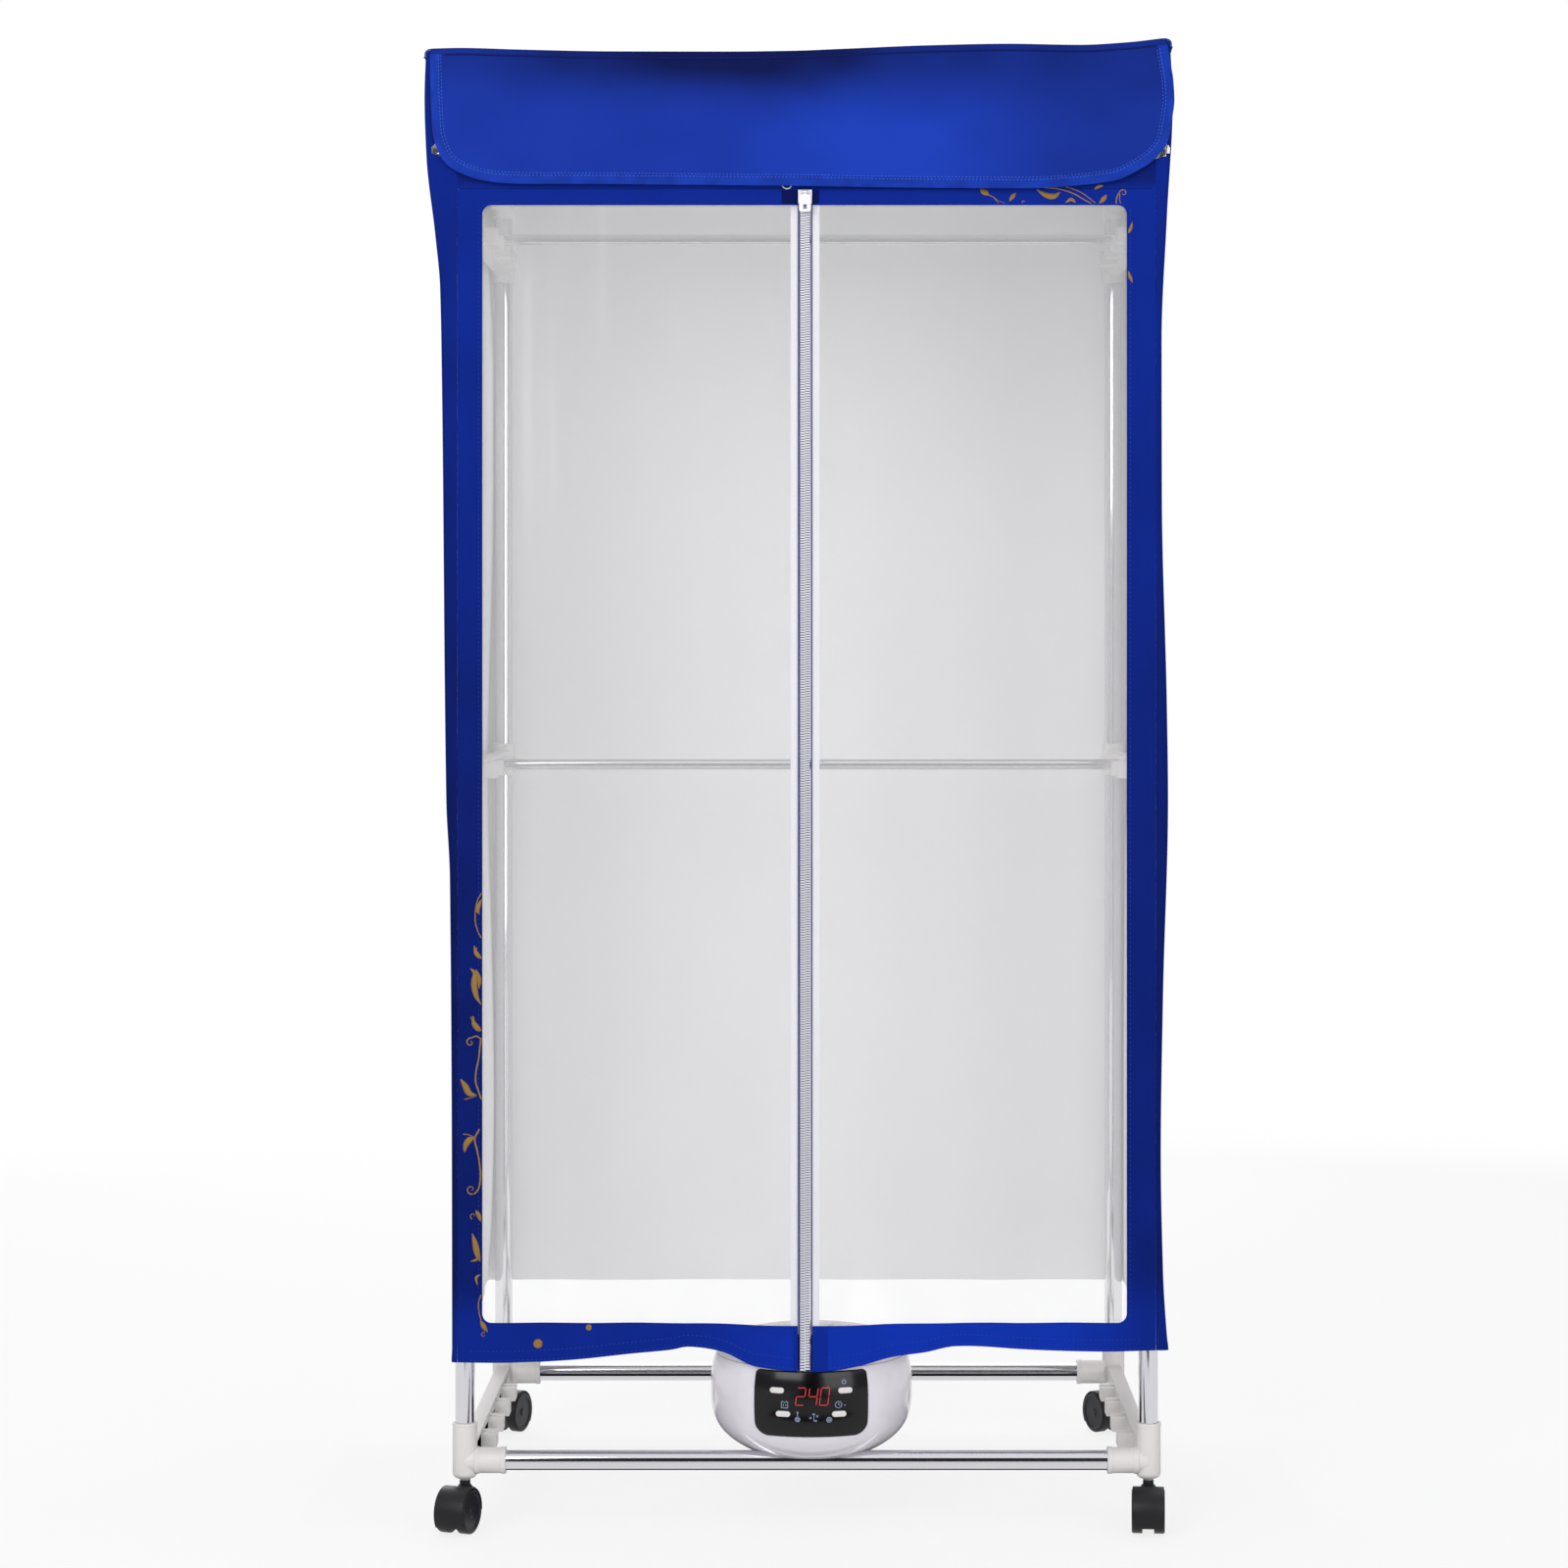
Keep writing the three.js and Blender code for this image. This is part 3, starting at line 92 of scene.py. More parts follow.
def softNoise(u, v, seed):
    # random heights on a unit lattice that repeats, blended by 3t^2 - 2t^3 both ways
    lattice = 97
    heights = np.random.default_rng(seed).uniform(-1, 1, (lattice, lattice))
    u, v = np.broadcast_arrays(np.asarray(u, float), np.asarray(v, float))
    i, j = np.floor(u).astype(int), np.floor(v).astype(int)
    s, t = smooth(u - i), smooth(v - j)
    i, j, k, l = i % lattice, j % lattice, (i + 1) % lattice, (j + 1) % lattice
    return mix(mix(heights[i, j], heights[k, j], s), mix(heights[i, l], heights[k, l], s), t)


def curveThrough(points, count):
    # Catmull-Rom curve through the points, evenly sampled in its parameter
    p = np.array(points, float)
    p = np.vstack([2 * p[0] - p[1], p, 2 * p[-1] - p[-2]])
    t = np.linspace(0, len(points) - 1 - 1e-9, count)
    i = t.astype(int)
    f = (t - i)[:, None]
    a, b, c, d = p[i], p[i + 1], p[i + 2], p[i + 3]
    return 0.5 * (2 * b + (c - a) * f + (2 * a - 5 * b + 4 * c - d) * f**2 + (3 * b - a - 3 * c + d) * f**3)


def gridQuads(rows, columns, wrapRows=False, wrapColumns=False):
    # the four corners of each cell of a grid; corner number = row * columns + column
    r = np.arange(rows if wrapRows else rows - 1)[:, None]
    c = np.arange(columns if wrapColumns else columns - 1)[None, :]
    nextRow, nextColumn = (r + 1) % rows, (c + 1) % columns
    corners = [r * columns + c, r * columns + nextColumn, nextRow * columns + nextColumn,
               nextRow * columns + c]
    return np.stack(np.broadcast_arrays(*corners), -1).reshape(-1, 4)


def shell(points, quads, finish=0, uv=None, tone=None):
    # one closed body: its signed volume, the sum of v0.(v1 x v2) over its triangles, is made positive
    points = np.asarray(points, float).reshape(-1, 3)
    centred = points - points.mean(0)
    a, b, c, d = (centred[quads[:, k]] for k in range(4))
    volume = np.einsum("ij,ij->", a, np.cross(b, c)) + np.einsum("ij,ij->", a, np.cross(c, d))
    if volume < 0:
        quads = quads[:, ::-1]
    finish = np.broadcast_to(finish, len(quads))
    return {"points": points, "quads": quads, "finish": finish, "uv": uv, "tone": tone}


def thickSheet(outer, inner, finishes=(0, 1, 0), uv=None, tone=None):
    # two grids joined round their rim; finishes are those of the outer face, the inner face and the rim
    rows, columns = outer.shape[:2]
    count = rows * columns
    front = gridQuads(rows, columns)
    low = np.arange(columns - 1)
    high = low + (rows - 1) * columns
    left = np.arange(rows - 1) * columns
    right = left + columns - 1
    rim = np.concatenate([
        np.stack([low + 1, low, low + count, low + 1 + count], -1),
        np.stack([high, high + 1, high + 1 + count, high + count], -1),
        np.stack([left, left + columns, left + columns + count, left + count], -1),
        np.stack([right + columns, right, right + count, right + columns + count], -1),
    ])
    quads = np.concatenate([front, front[:, ::-1] + count, rim])
    finish = np.concatenate([np.full(len(front), finishes[0]), np.full(len(front), finishes[1]),
                             np.full(len(rim), finishes[2])])
    if uv is not None:
        uv = np.concatenate([uv.reshape(-1, 2)] * 2)
    if tone is not None:
        tone = np.concatenate([tone.reshape(-1)] * 2)
    return shell(np.concatenate([outer.reshape(-1, 3), inner.reshape(-1, 3)]), quads, finish, uv, tone)


def normalsOf(points):
    # cross product of the grid's two directions
    n = np.cross(np.gradient(points, axis=1), np.gradient(points, axis=0))
    return n / np.maximum(np.linalg.norm(n, axis=2, keepdims=True), 1e-9)


def turned(profile, axis="z", centre=(0, 0, 0), sides=64, closedRing=False):
    # radius and height of a profile carried round a circle
    radius, height = np.array(profile, float).T
    angle = 2 * np.pi * np.arange(sides) / sides
    u, v = radius[:, None] * np.cos(angle), radius[:, None] * np.sin(angle)
    h = np.broadcast_to(height[:, None], u.shape)
    order = {"z": (u, v, h), "x": (h, u, v), "y": (u, h, v)}[axis]
    points = np.stack(order, -1) + np.array(centre, float)
    return shell(points, gridQuads(len(radius), sides, closedRing, True))


def rounded(corners, radii, steps=5, loop=False):
    # each corner of a polyline gives way to an arc between its tangent points
    p = np.array(corners, float)
    out = []
    for i in range(len(p)):
        radius = radii if np.isscalar(radii) else radii[i]
        if radius == 0 or (not loop and i in (0, len(p) - 1)):
            out.append(p[i])
            continue
        a, b = p[i - 1] - p[i], p[(i + 1) % len(p)] - p[i]
        la, lb = np.linalg.norm(a), np.linalg.norm(b)
        a, b = a / la, b / lb
        half = math.acos(np.clip(a @ b, -1, 1)) / 2
        reach = min(radius / math.tan(half), la * 0.49, lb * 0.49)
        bow = reach * math.tan(half)
        middle = p[i] + (a + b) / np.linalg.norm(a + b) * (bow / math.sin(half))
        start, end = p[i] + a * reach - middle, p[i] + b * reach - middle
        sweepAngle = math.acos(np.clip(start @ end / (bow * bow), -1, 1))
        for k in range(steps + 1):
            t = k / steps
            out.append(middle + (start * math.sin((1 - t) * sweepAngle) + end * math.sin(t * sweepAngle))
                       / math.sin(sweepAngle))
    return np.array(out)


guardRing = {"edges": 3, "extra": 0.4, "mostOfLength": 2.5, "mostOfRadius": 2.2}


def guardOf(edge, length):
    # how far from an end a ring lies that keeps the long face's shading straight
    return min(guardRing["edges"] * edge + guardRing["extra"], length / guardRing["mostOfLength"])


def ringWall(outer, inner, low, high, edge, axis="z", centre=(0, 0, 0), sides=64):
    # a tube: its four-cornered section, rounded, carried round the axis
    guard = guardOf(edge, high - low)
    corners = [[inner, low], [outer, low], [outer, low + guard], [outer, high - guard],
               [outer, high], [inner, high], [inner, high - guard], [inner, low + guard]]
    section = rounded(corners, [edge, edge, 0, 0, edge, edge, 0, 0], 3, loop=True)
    return turned(section, axis, centre, sides, closedRing=True)


def bar(radius, low, high, edge, axis="z", centre=(0, 0, 0), sides=48):
    # a solid round: half its section, from the axis outwards, carried round the axis
    guard = min(guardOf(edge, high - low), radius / guardRing["mostOfRadius"])
    corners = [[0, low], [radius - guard, low], [radius, low], [radius, low + guard],
               [radius, high - guard], [radius, high], [radius - guard, high], [0, high]]
    section = rounded(corners, [0, 0, edge, 0, 0, edge, 0, 0], 4)
    return turned(section, axis, centre, sides)


def block(low, high, edge=0.6):
    # stack of rounded rectangles: the inset at height h from an end is r - sqrt(r^2 - (r - h)^2)
    low, high = np.minimum(low, high).astype(float), np.maximum(low, high).astype(float)
    bend = np.radians([90, 60, 30, 0])
    inset = edge * (1 - np.cos(bend))
    rise = edge * (1 - np.sin(bend))
    levels = np.concatenate([low[2] + rise, (high[2] - rise)[::-1]])
    insets = np.concatenate([inset, inset[::-1]])[:, None]
    corner = np.radians(np.concatenate([np.linspace(q, q + 90, 4) for q in (0, 90, 180, 270)]))
    signs = np.repeat([[1, 1], [-1, 1], [-1, -1], [1, -1]], 4, axis=0)
    half, middle = (high - low) / 2, (high + low) / 2
    cornerRadius = np.maximum(edge - insets, 0.001)
    x = middle[0] + signs[:, 0] * (half[0] - edge) + cornerRadius * np.cos(corner)
    y = middle[1] + signs[:, 1] * (half[1] - edge) + cornerRadius * np.sin(corner)
    rows = np.stack([x, y, np.broadcast_to(levels[:, None], x.shape)], -1)
    ends = [np.broadcast_to([middle[0], middle[1], z], (1, len(corner), 3)) for z in (low[2], high[2])]
    rows = np.concatenate([ends[0], rows, ends[1]])
    return shell(rows, gridQuads(len(rows), len(corner), False, True))


def swept(path, radius, sides):
    # a circle carried along a path, its spokes square to the path; both ends close on a point
    path = np.array(path, float)
    along = np.gradient(path, axis=0)
    along /= np.linalg.norm(along, axis=1, keepdims=True)
    side = np.cross(along, np.array([0.0, 0.0, 1.0]))
    side /= np.linalg.norm(side, axis=1, keepdims=True)
    over = np.cross(side, along)
    size = np.broadcast_to(radius, len(path)).astype(float)
    angle = 2 * np.pi * np.arange(sides) / sides
    ring = side[:, None] * np.cos(angle)[:, None] + over[:, None] * np.sin(angle)[:, None]
    rows = path[:, None] + ring * size[:, None, None]
    ends = [np.broadcast_to(path[k], (1, sides, 3)) for k in (0, -1)]
    rows = np.concatenate([ends[0], rows, ends[1]])
    return shell(rows, gridQuads(len(rows), sides, False, True))


def turnedShell(one, degrees, about=(0, 0, 0)):
    # the body turned about an upright line through the origin, by the rotation matrix, then moved
    c, s = math.cos(math.radians(degrees)), math.sin(math.radians(degrees))
    points = one["points"] @ np.array([[c, s, 0], [-s, c, 0], [0, 0, 1]]) + np.array(about, float)
    return {**one, "points": points}


def meshOf(name, shells):
    # corners that share a place are merged, and a corner that repeats the one before it is left out
    weldsPerMm = 2000
    points = np.concatenate([s["points"] for s in shells])
    starts = np.cumsum([0] + [len(s["points"]) for s in shells])[:-1]
    quads = np.concatenate([s["quads"] + k for s, k in zip(shells, starts)])
    finish = np.concatenate([s["finish"] for s in shells])
    owner = np.repeat(np.arange(len(shells)), [len(s["points"]) for s in shells])
    key = np.column_stack([owner, np.round(points * weldsPerMm)]).astype(np.int64)
    _, first, inverse = np.unique(key, axis=0, return_index=True, return_inverse=True)
    welded = inverse.reshape(-1)[quads]
    keepCorner = welded != np.roll(welded, 1, axis=1)
    keepFace = keepCorner.sum(1) >= 3
    loops = welded[keepFace][keepCorner[keepFace]]
    rawLoops = quads[keepFace][keepCorner[keepFace]]
    counts = keepCorner[keepFace].sum(1)
    mesh = bpy.data.meshes.new(name)
    mesh.vertices.add(len(first))
    mesh.vertices.foreach_set("co", inMetres(points[first]).astype(np.float32).ravel())
    mesh.loops.add(len(loops))
    mesh.loops.foreach_set("vertex_index", loops.astype(np.int32))
    mesh.polygons.add(len(counts))
    mesh.polygons.foreach_set("loop_start", np.concatenate([[0], np.cumsum(counts)[:-1]]).astype(np.int32))
    mesh.polygons.foreach_set("material_index", finish[keepFace].astype(np.int32))
    mesh.polygons.foreach_set("use_smooth", np.ones(len(counts), bool))
    mesh.update(calc_edges=True)
    if any(s["uv"] is not None for s in shells):
        uv = np.concatenate([np.zeros((len(s["points"]), 2)) if s["uv"] is None else s["uv"] for s in shells])
        mesh.uv_layers.new(name="clothUv").data.foreach_set("uv", uv[rawLoops].astype(np.float32).ravel())
    if any(s["tone"] is not None for s in shells):
        tone = np.concatenate([np.zeros(len(s["points"])) if s["tone"] is None else s["tone"]
                               for s in shells])
        toneLayer = mesh.attributes.new("tone", "FLOAT", "POINT")
        toneLayer.data.foreach_set("value", tone[first].astype(np.float32))
    return mesh


def addPiece(name, shells, finishes, body, nodes=(), sharp=plainSharp):
    # one visible piece: it rides on a body, may replace CAD nodes and takes a material slot
    mesh = meshOf(name, shells)
    if sharp:
        mesh.set_sharp_from_angle(angle=math.radians(sharp))
    for finish in finishes:
        mesh.materials.append(finish)
    piece = bpy.data.objects.new(name, mesh)
    bpy.context.scene.collection.objects.link(piece)
    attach(piece, body)
    if nodes:
        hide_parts(*nodes)
    return piece


def carve(piece, cutters):
    # the cutters' bodies are taken away from the piece, and the result becomes its mesh
    tool = bpy.data.objects.new("cutter", meshOf("cutter", cutters))
    bpy.context.scene.collection.objects.link(tool)
    cut = piece.modifiers.new("cut", "BOOLEAN")
    cut.operation = "DIFFERENCE"
    cut.solver = "EXACT"
    cut.use_self = True
    cut.object = tool
    made = bpy.data.meshes.new_from_object(piece.evaluated_get(bpy.context.evaluated_depsgraph_get()))
    piece.modifiers.remove(cut)
    bpy.data.objects.remove(tool)
    piece.data = made
    made.polygons.foreach_set("use_smooth", np.ones(len(made.polygons), bool))
    made.set_sharp_from_angle(angle=math.radians(plainSharp))
    return piece


soften = {"weld": 0.00001, "flatAngle": 1, "sharpAngle": 40, "segments": 2}


def softenNode(node, finish, edge=0.5):
    # a merged copy of a CAD node whose edges get a small round
    mesh = frame["nodes"][node].data.copy()
    piece = bpy.data.objects.new(node + "_soft", mesh)
    bpy.context.scene.collection.objects.link(piece)
    merge = piece.modifiers.new("merge", "WELD")
    merge.merge_threshold = soften["weld"]
    flat = piece.modifiers.new("flat", "DECIMATE")
    flat.decimate_type = "DISSOLVE"
    flat.angle_limit = math.radians(soften["flatAngle"])
    made = bpy.data.meshes.new_from_object(piece.evaluated_get(bpy.context.evaluated_depsgraph_get()))
    piece.modifiers.clear()
    piece.data = made
    made.polygons.foreach_set("use_smooth", np.ones(len(made.polygons), bool))
    made.materials.clear()
    made.materials.append(finish)
    bevel = piece.modifiers.new("edges", "BEVEL")
    bevel.width = edge * metresPerMm
    bevel.segments = soften["segments"]
    bevel.limit_method = "ANGLE"
    bevel.angle_limit = math.radians(soften["sharpAngle"])
    bevel.harden_normals = True
    made.set_sharp_from_angle(angle=math.radians(soften["sharpAngle"]))
    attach(piece, bodyOf[node])
    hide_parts(node)
    return piece


bodyOf = {node: body for body, nodes in frame["record"]["behaviour"]["bodies"].items() for node in nodes}


# Finishes

def linear(red, green, blue):
    # a screen colour from 0 to 255 as linear light
    c = np.array([red, green, blue]) / 255
    return (*np.where(c <= 0.04045, c / 12.92, ((c + 0.055) / 1.055) ** 2.4), 1)


def nodeGroup(name, inputs, outputs):
    # an empty shader group with the given sockets
    group = bpy.data.node_groups.new(name, "ShaderNodeTree")
    for label, kind, value in inputs:
        socket = group.interface.new_socket(label, in_out="INPUT", socket_type=kind)
        if value is not None:
            socket.default_value = value
    for label, kind in outputs:
        group.interface.new_socket(label, in_out="OUTPUT", socket_type=kind)
    return group, group.nodes.new("NodeGroupInput"), group.nodes.new("NodeGroupOutput")


def mathNode(tree, operation, a, b=None, clamp=False):
    # a operation b, where each is a number or another node's output
    node = tree.nodes.new("ShaderNodeMath")
    node.operation = operation
    node.use_clamp = clamp
    for socket, value in zip(node.inputs, (a, b)):
        if value is None:
            continue
        if isinstance(value, (int, float)):
            socket.default_value = value
        else:
            tree.links.new(value, socket)
    return node.outputs[0]


def colourMix(tree, factor, a, b):
    # a (1 - factor) + b factor
    node = tree.nodes.new("ShaderNodeMix")
    node.data_type = "RGBA"
    for socket, value in zip((node.inputs[0], node.inputs[6], node.inputs[7]), (factor, a, b)):
        if isinstance(value, (int, float, tuple)):
            socket.default_value = value
        else:
            tree.links.new(value, socket)
    return node.outputs[2]


def weaveGroup():
    # threads: the product of two bands along and across the cloth; mottle: slow noise;
    # tone: painted shade kept in the mesh, the share of the shade colour mixed in
    group, given, made = nodeGroup(
        "clothWeave",
        [("Colour", "NodeSocketColor", (0.01, 0.04, 0.38, 1)),
         ("Shade", "NodeSocketColor", (0.005, 0.01, 0.1, 1)),
         ("Thread Scale", "NodeSocketFloat", 380.0), ("Mottle", "NodeSocketFloat", 0.12)],
        [("Colour", "NodeSocketColor"), ("Height", "NodeSocketFloat")],
    )
    place = group.nodes.new("ShaderNodeUVMap")
    place.uv_map = "clothUv"
    bands = []
    for direction in ("X", "Y"):
        thread = group.nodes.new("ShaderNodeTexWave")
        thread.bands_direction = direction
        group.links.new(place.outputs[0], thread.inputs["Vector"])
        group.links.new(given.outputs["Thread Scale"], thread.inputs["Scale"])
        bands.append(thread.outputs["Fac"])
    slow = group.nodes.new("ShaderNodeTexNoise")
    slow.inputs["Scale"].default_value = 9
    slow.inputs["Detail"].default_value = 3
    group.links.new(place.outputs[0], slow.inputs["Vector"])
    kept = group.nodes.new("ShaderNodeAttribute")
    kept.attribute_name = "tone"
    mottled = mathNode(group, "MULTIPLY", mathNode(group, "SUBTRACT", slow.outputs["Fac"], 0.35),
                       given.outputs["Mottle"])
    share = mathNode(group, "ADD", kept.outputs["Fac"], mottled, clamp=True)
    group.links.new(colourMix(group, share, given.outputs["Colour"], given.outputs["Shade"]),
                    made.inputs["Colour"])
    group.links.new(mathNode(group, "MULTIPLY", bands[0], bands[1]), made.inputs["Height"])
    return group


def wearGroup():
    # roughness that drifts a little over the surface
    group, given, made = nodeGroup(
        "handlingWear",
        [("Scale", "NodeSocketFloat", 20.0), ("Roughness", "NodeSocketFloat", 0.3),
         ("Drift", "NodeSocketFloat", 0.08)],
        [("Roughness", "NodeSocketFloat")],
    )
    place = group.nodes.new("ShaderNodeTexCoord")
    slow = group.nodes.new("ShaderNodeTexNoise")
    slow.inputs["Detail"].default_value = 4
    group.links.new(place.outputs["Object"], slow.inputs["Vector"])
    group.links.new(given.outputs["Scale"], slow.inputs["Scale"])
    drift = mathNode(group, "MULTIPLY", mathNode(group, "SUBTRACT", slow.outputs["Fac"], 0.5),
                     given.outputs["Drift"])
    group.links.new(mathNode(group, "ADD", given.outputs["Roughness"], drift, clamp=True),
                    made.inputs["Roughness"])
    return group


clothWeave = weaveGroup()
handlingWear = wearGroup()


def finishOf(name, colour, roughness, metallic=0.0, **more):
    # a plain finish; further inputs are given by name with _ for a space
    material = bpy.data.materials.new(name)
    material.use_nodes = True
    shader = material.node_tree.nodes["Principled BSDF"]
    shader.inputs["Base Color"].default_value = colour
    shader.inputs["Roughness"].default_value = roughness
    shader.inputs["Metallic"].default_value = metallic
    for label, value in more.items():
        shader.inputs[label.replace("_", " ")].default_value = value
    return material


def worn(material, scale, roughness, drift):
    # the finish's roughness goes through the wear group
    tree = material.node_tree
    node = tree.nodes.new("ShaderNodeGroup")
    node.node_tree = handlingWear
    node.inputs["Scale"].default_value = scale
    node.inputs["Roughness"].default_value = roughness
    node.inputs["Drift"].default_value = drift
    tree.links.new(node.outputs[0], tree.nodes["Principled BSDF"].inputs["Roughness"])
    return material


clothLook = {"specular": 0.06, "relief": 0.0002}


def woven(name, colour, shade, roughness, threadScale, mottle, bump, sheen):
    # cloth: its colour goes over to a painted shade by the tone kept in the mesh; its threads stand up a
    # little
    material = finishOf(name, colour, roughness, Sheen_Weight=sheen, Sheen_Roughness=0.4,
                        Specular_IOR_Level=clothLook["specular"])
    tree = material.node_tree
    shader = tree.nodes["Principled BSDF"]
    node = tree.nodes.new("ShaderNodeGroup")
    node.node_tree = clothWeave
    node.inputs["Colour"].default_value = colour
    node.inputs["Shade"].default_value = shade
    node.inputs["Thread Scale"].default_value = threadScale
    node.inputs["Mottle"].default_value = mottle
    tree.links.new(node.outputs["Colour"], shader.inputs["Base Color"])
    relief = tree.nodes.new("ShaderNodeBump")
    relief.inputs["Strength"].default_value = bump
    relief.inputs["Distance"].default_value = clothLook["relief"]
    tree.links.new(node.outputs["Height"], relief.inputs["Height"])
    tree.links.new(relief.outputs[0], shader.inputs["Normal"])
    return material


def lit(name, colour, strength):
    # a finish that glows by itself
    return finishOf(name, (0.02, 0.02, 0.02, 1), 0.4, Emission_Color=colour, Emission_Strength=strength)


finishes = {
    # woven finishes give a colour and a painted shade colour, mixed by the tone kept in each mesh
    "cloth": woven("blueCloth", linear(26, 60, 177), linear(9, 21, 77), 0.7, 350, 0.14, 0.3, 0.0),
    "clothFront": woven("blueClothFront", linear(10, 48, 168), linear(3, 12, 62), 0.7, 350, 0.14, 0.3, 0.0),
    "lining": woven("whiteLining", linear(250, 250, 251), linear(238, 238, 241), 0.6, 350, 0.1, 0.2, 0.0),
    "binding": woven("satinBinding", linear(20, 57, 168), linear(9, 30, 112), 0.42, 500, 0.3, 0.4, 0.04),
    # the flap's piping is dark: painted shade of the flap's top edge
    "edging": woven("paintedShadeEdging", linear(12, 26, 92), linear(6, 16, 66), 0.6, 500, 0.3, 0.4, 0.0),
    "tape": woven("paleTape", linear(236, 237, 241), linear(214, 216, 224), 0.7, 600, 0.2, 0.4, 0.0),
    "tapeEdge": woven("navyTape", linear(22, 42, 128), linear(10, 22, 80), 0.7, 600, 0.2, 0.4, 0.0),
    "thread": finishOf("blueThread", linear(28, 52, 150), 0.6),
    "paleThread": finishOf("paleBlueThread", linear(70, 112, 214), 0.6),
    "gold": worn(finishOf("goldPrint", linear(140, 104, 34), 0.6), 60, 0.6, 0.15),
    "film": finishOf("clearFilm", linear(252, 252, 253), 0.12, Alpha=0.18),
    "white": worn(finishOf("whitePlastic", linear(222, 218, 217), 0.42), 18, 0.42, 0.1),
    "glossWhite": worn(finishOf("glossWhite", linear(229, 226, 233), 0.14, Coat_Weight=0.2), 12, 0.14, 0.03),
    "glossBlack": worn(finishOf("glossBlack", linear(9, 9, 11), 0.16, Specular_IOR_Level=0.3), 12, 0.16,
                       0.03),
    "black": worn(finishOf("blackPlastic", linear(22, 22, 25), 0.42, Specular_IOR_Level=0.25), 25, 0.42,
                  0.12),
    "wheelGrey": worn(finishOf("darkWheel", linear(27, 27, 37), 0.38, Specular_IOR_Level=0.25), 25, 0.38,
                      0.1),
    "chrome": worn(finishOf("chrome", linear(214, 213, 218), 0.07, 1.0), 9, 0.07, 0.03),
    "zip": worn(finishOf("zipMetal", linear(228, 228, 235), 0.42, 0.35), 40, 0.42, 0.08),
    "steel": worn(finishOf("zincSteel", linear(168, 170, 174), 0.36, 1.0), 15, 0.36, 0.15),
    "board": finishOf("circuitBoard", linear(40, 88, 58), 0.5),
    "fins": worn(finishOf("heatingFins", linear(160, 158, 152), 0.5, 0.8), 30, 0.5, 0.1),
    "digits": lit("redDigits", linear(222, 38, 44), 0.85),
    "icons": lit("paleIcons", linear(170, 190, 235), 0.6),
}
print("finishes ready")


# Tubes and rods

topRodLevel = 1339


def addTubes():
    # posts and foot tubes are hollow, rods are solid
    tubes = {"radius": 9.5, "wall": 1.0, "edge": 0.3, "foot": 59.3, "top": 1427, "baseHalf": 317.7}
    low, high, edge = tubes["radius"] - tubes["wall"], tubes["radius"], tubes["edge"]
    for end, y in (("front", -plan["halfDepth"]), ("rear", plan["halfDepth"])):
        for side, x in (("left", -plan["halfWidth"]), ("right", plan["halfWidth"])):
            wall = ringWall(high, low, tubes["foot"], tubes["top"], edge, "z", (x, y, 0))
            addPiece(f"post_{end}_{side}_tube", [wall], [finishes["chrome"]], "frame", [f"post_{end}_{side}"])
        base = ringWall(high, low, -tubes["baseHalf"], tubes["baseHalf"], edge, "x",
                        (0, y, plan["footLevel"]))
        addPiece(f"base_{end}_tube", [base], [finishes["chrome"]], "frame", [f"base_tube_{end}"])
    rods = {"radius": 5.5, "edge": 1.2, "half": 320, "back": -38, "upperLevel": 1272, "lowerLevel": 737,
            "topLong": 365, "topShort": 350, "topDepth": 200}
    half, reach, short, depth = rods["half"], rods["topLong"], rods["topShort"], rods["topDepth"]
    for name, body, x0, x1, y, z in (
        ("hanging_rod_upper", "upper_rod", -half, half, rods["back"], rods["upperLevel"]),
        ("hanging_rod_lower", "lower_rod", -half, half, rods["back"], rods["lowerLevel"]),
        ("top_rod_front", "frame", -reach, short, -depth, topRodLevel),
        ("top_rod_rear", "frame", -short, reach, depth, topRodLevel),
    ):
        rod = bar(rods["radius"], x0, x1, rods["edge"], "x", (0, y, z), 40)
        addPiece(name + "_bar", [rod], [finishes["chrome"]], body, [name])


addTubes()
print("tubes ready")


# White connectors and brackets

def addConnectors():
    # a socket for the post, an arm for the foot tube and a tongue for the foot rail
    size = {"sleeve": 12.0, "rim": 12.35, "low": -17, "high": 37, "arm": 12.4, "armEnd": 13.0, "reach": 40,
            "collar": 5, "bore": 9.7, "boreFloor": -8, "socket": 14, "foot": 5.5, "tongue": (8, 11, 25),
            "edge": 0.6}
    for end, depth in (("front", -1), ("rear", 1)):
        for name, side in (("left", -1), ("right", 1)):
            at = (side * plan["halfWidth"], depth * plan["halfDepth"], plan["footLevel"])
            sleeve = rounded(
                [[0, size["low"]], [size["sleeve"], size["low"]], [size["sleeve"], size["high"] - 3],
                 [size["rim"], size["high"] - 2.6],
                 [size["rim"], size["high"]], [size["bore"], size["high"]], [size["bore"], size["boreFloor"]],
                 [0, size["boreFloor"]]],
                [0, size["foot"], 0.4, 0.3, size["edge"], 0.3, 0.3, 0], 6)
            arm = rounded(
                [[0, 0], [size["arm"], 0], [size["arm"], size["reach"] - size["collar"]],
                 [size["armEnd"], size["reach"] - size["collar"] + 0.4], [size["armEnd"], size["reach"]],
                 [size["bore"], size["reach"]], [size["bore"], size["socket"]], [0, size["socket"]]],
                [0, 0.5, 0.3, 0.3, size["edge"], 0.3, 0.3, 0], 5)
            arm[:, 1] *= -side
            width, height, reach = size["tongue"]
            tongue = block((at[0] - width / 2, at[1], at[2] - height / 2),
                           (at[0] + width / 2, at[1] - depth * reach, at[2] + height / 2))
            flare = rounded([[0, 8], [size["arm"] + 1.4, 9.5], [size["arm"] + 0.05, 16], [0, 17]],
                            [0, 1, 3, 0], 6)
            flare[:, 1] *= -side
            shells = [turned(sleeve, "z", at, 72), turned(arm, "x", at, 72), turned(flare, "x", at, 72),
                      tongue]
            addPiece(f"connector_{end}_{name}_cast", shells, [finishes["white"]], "frame",
                     [f"connector_{end}_{name}"])


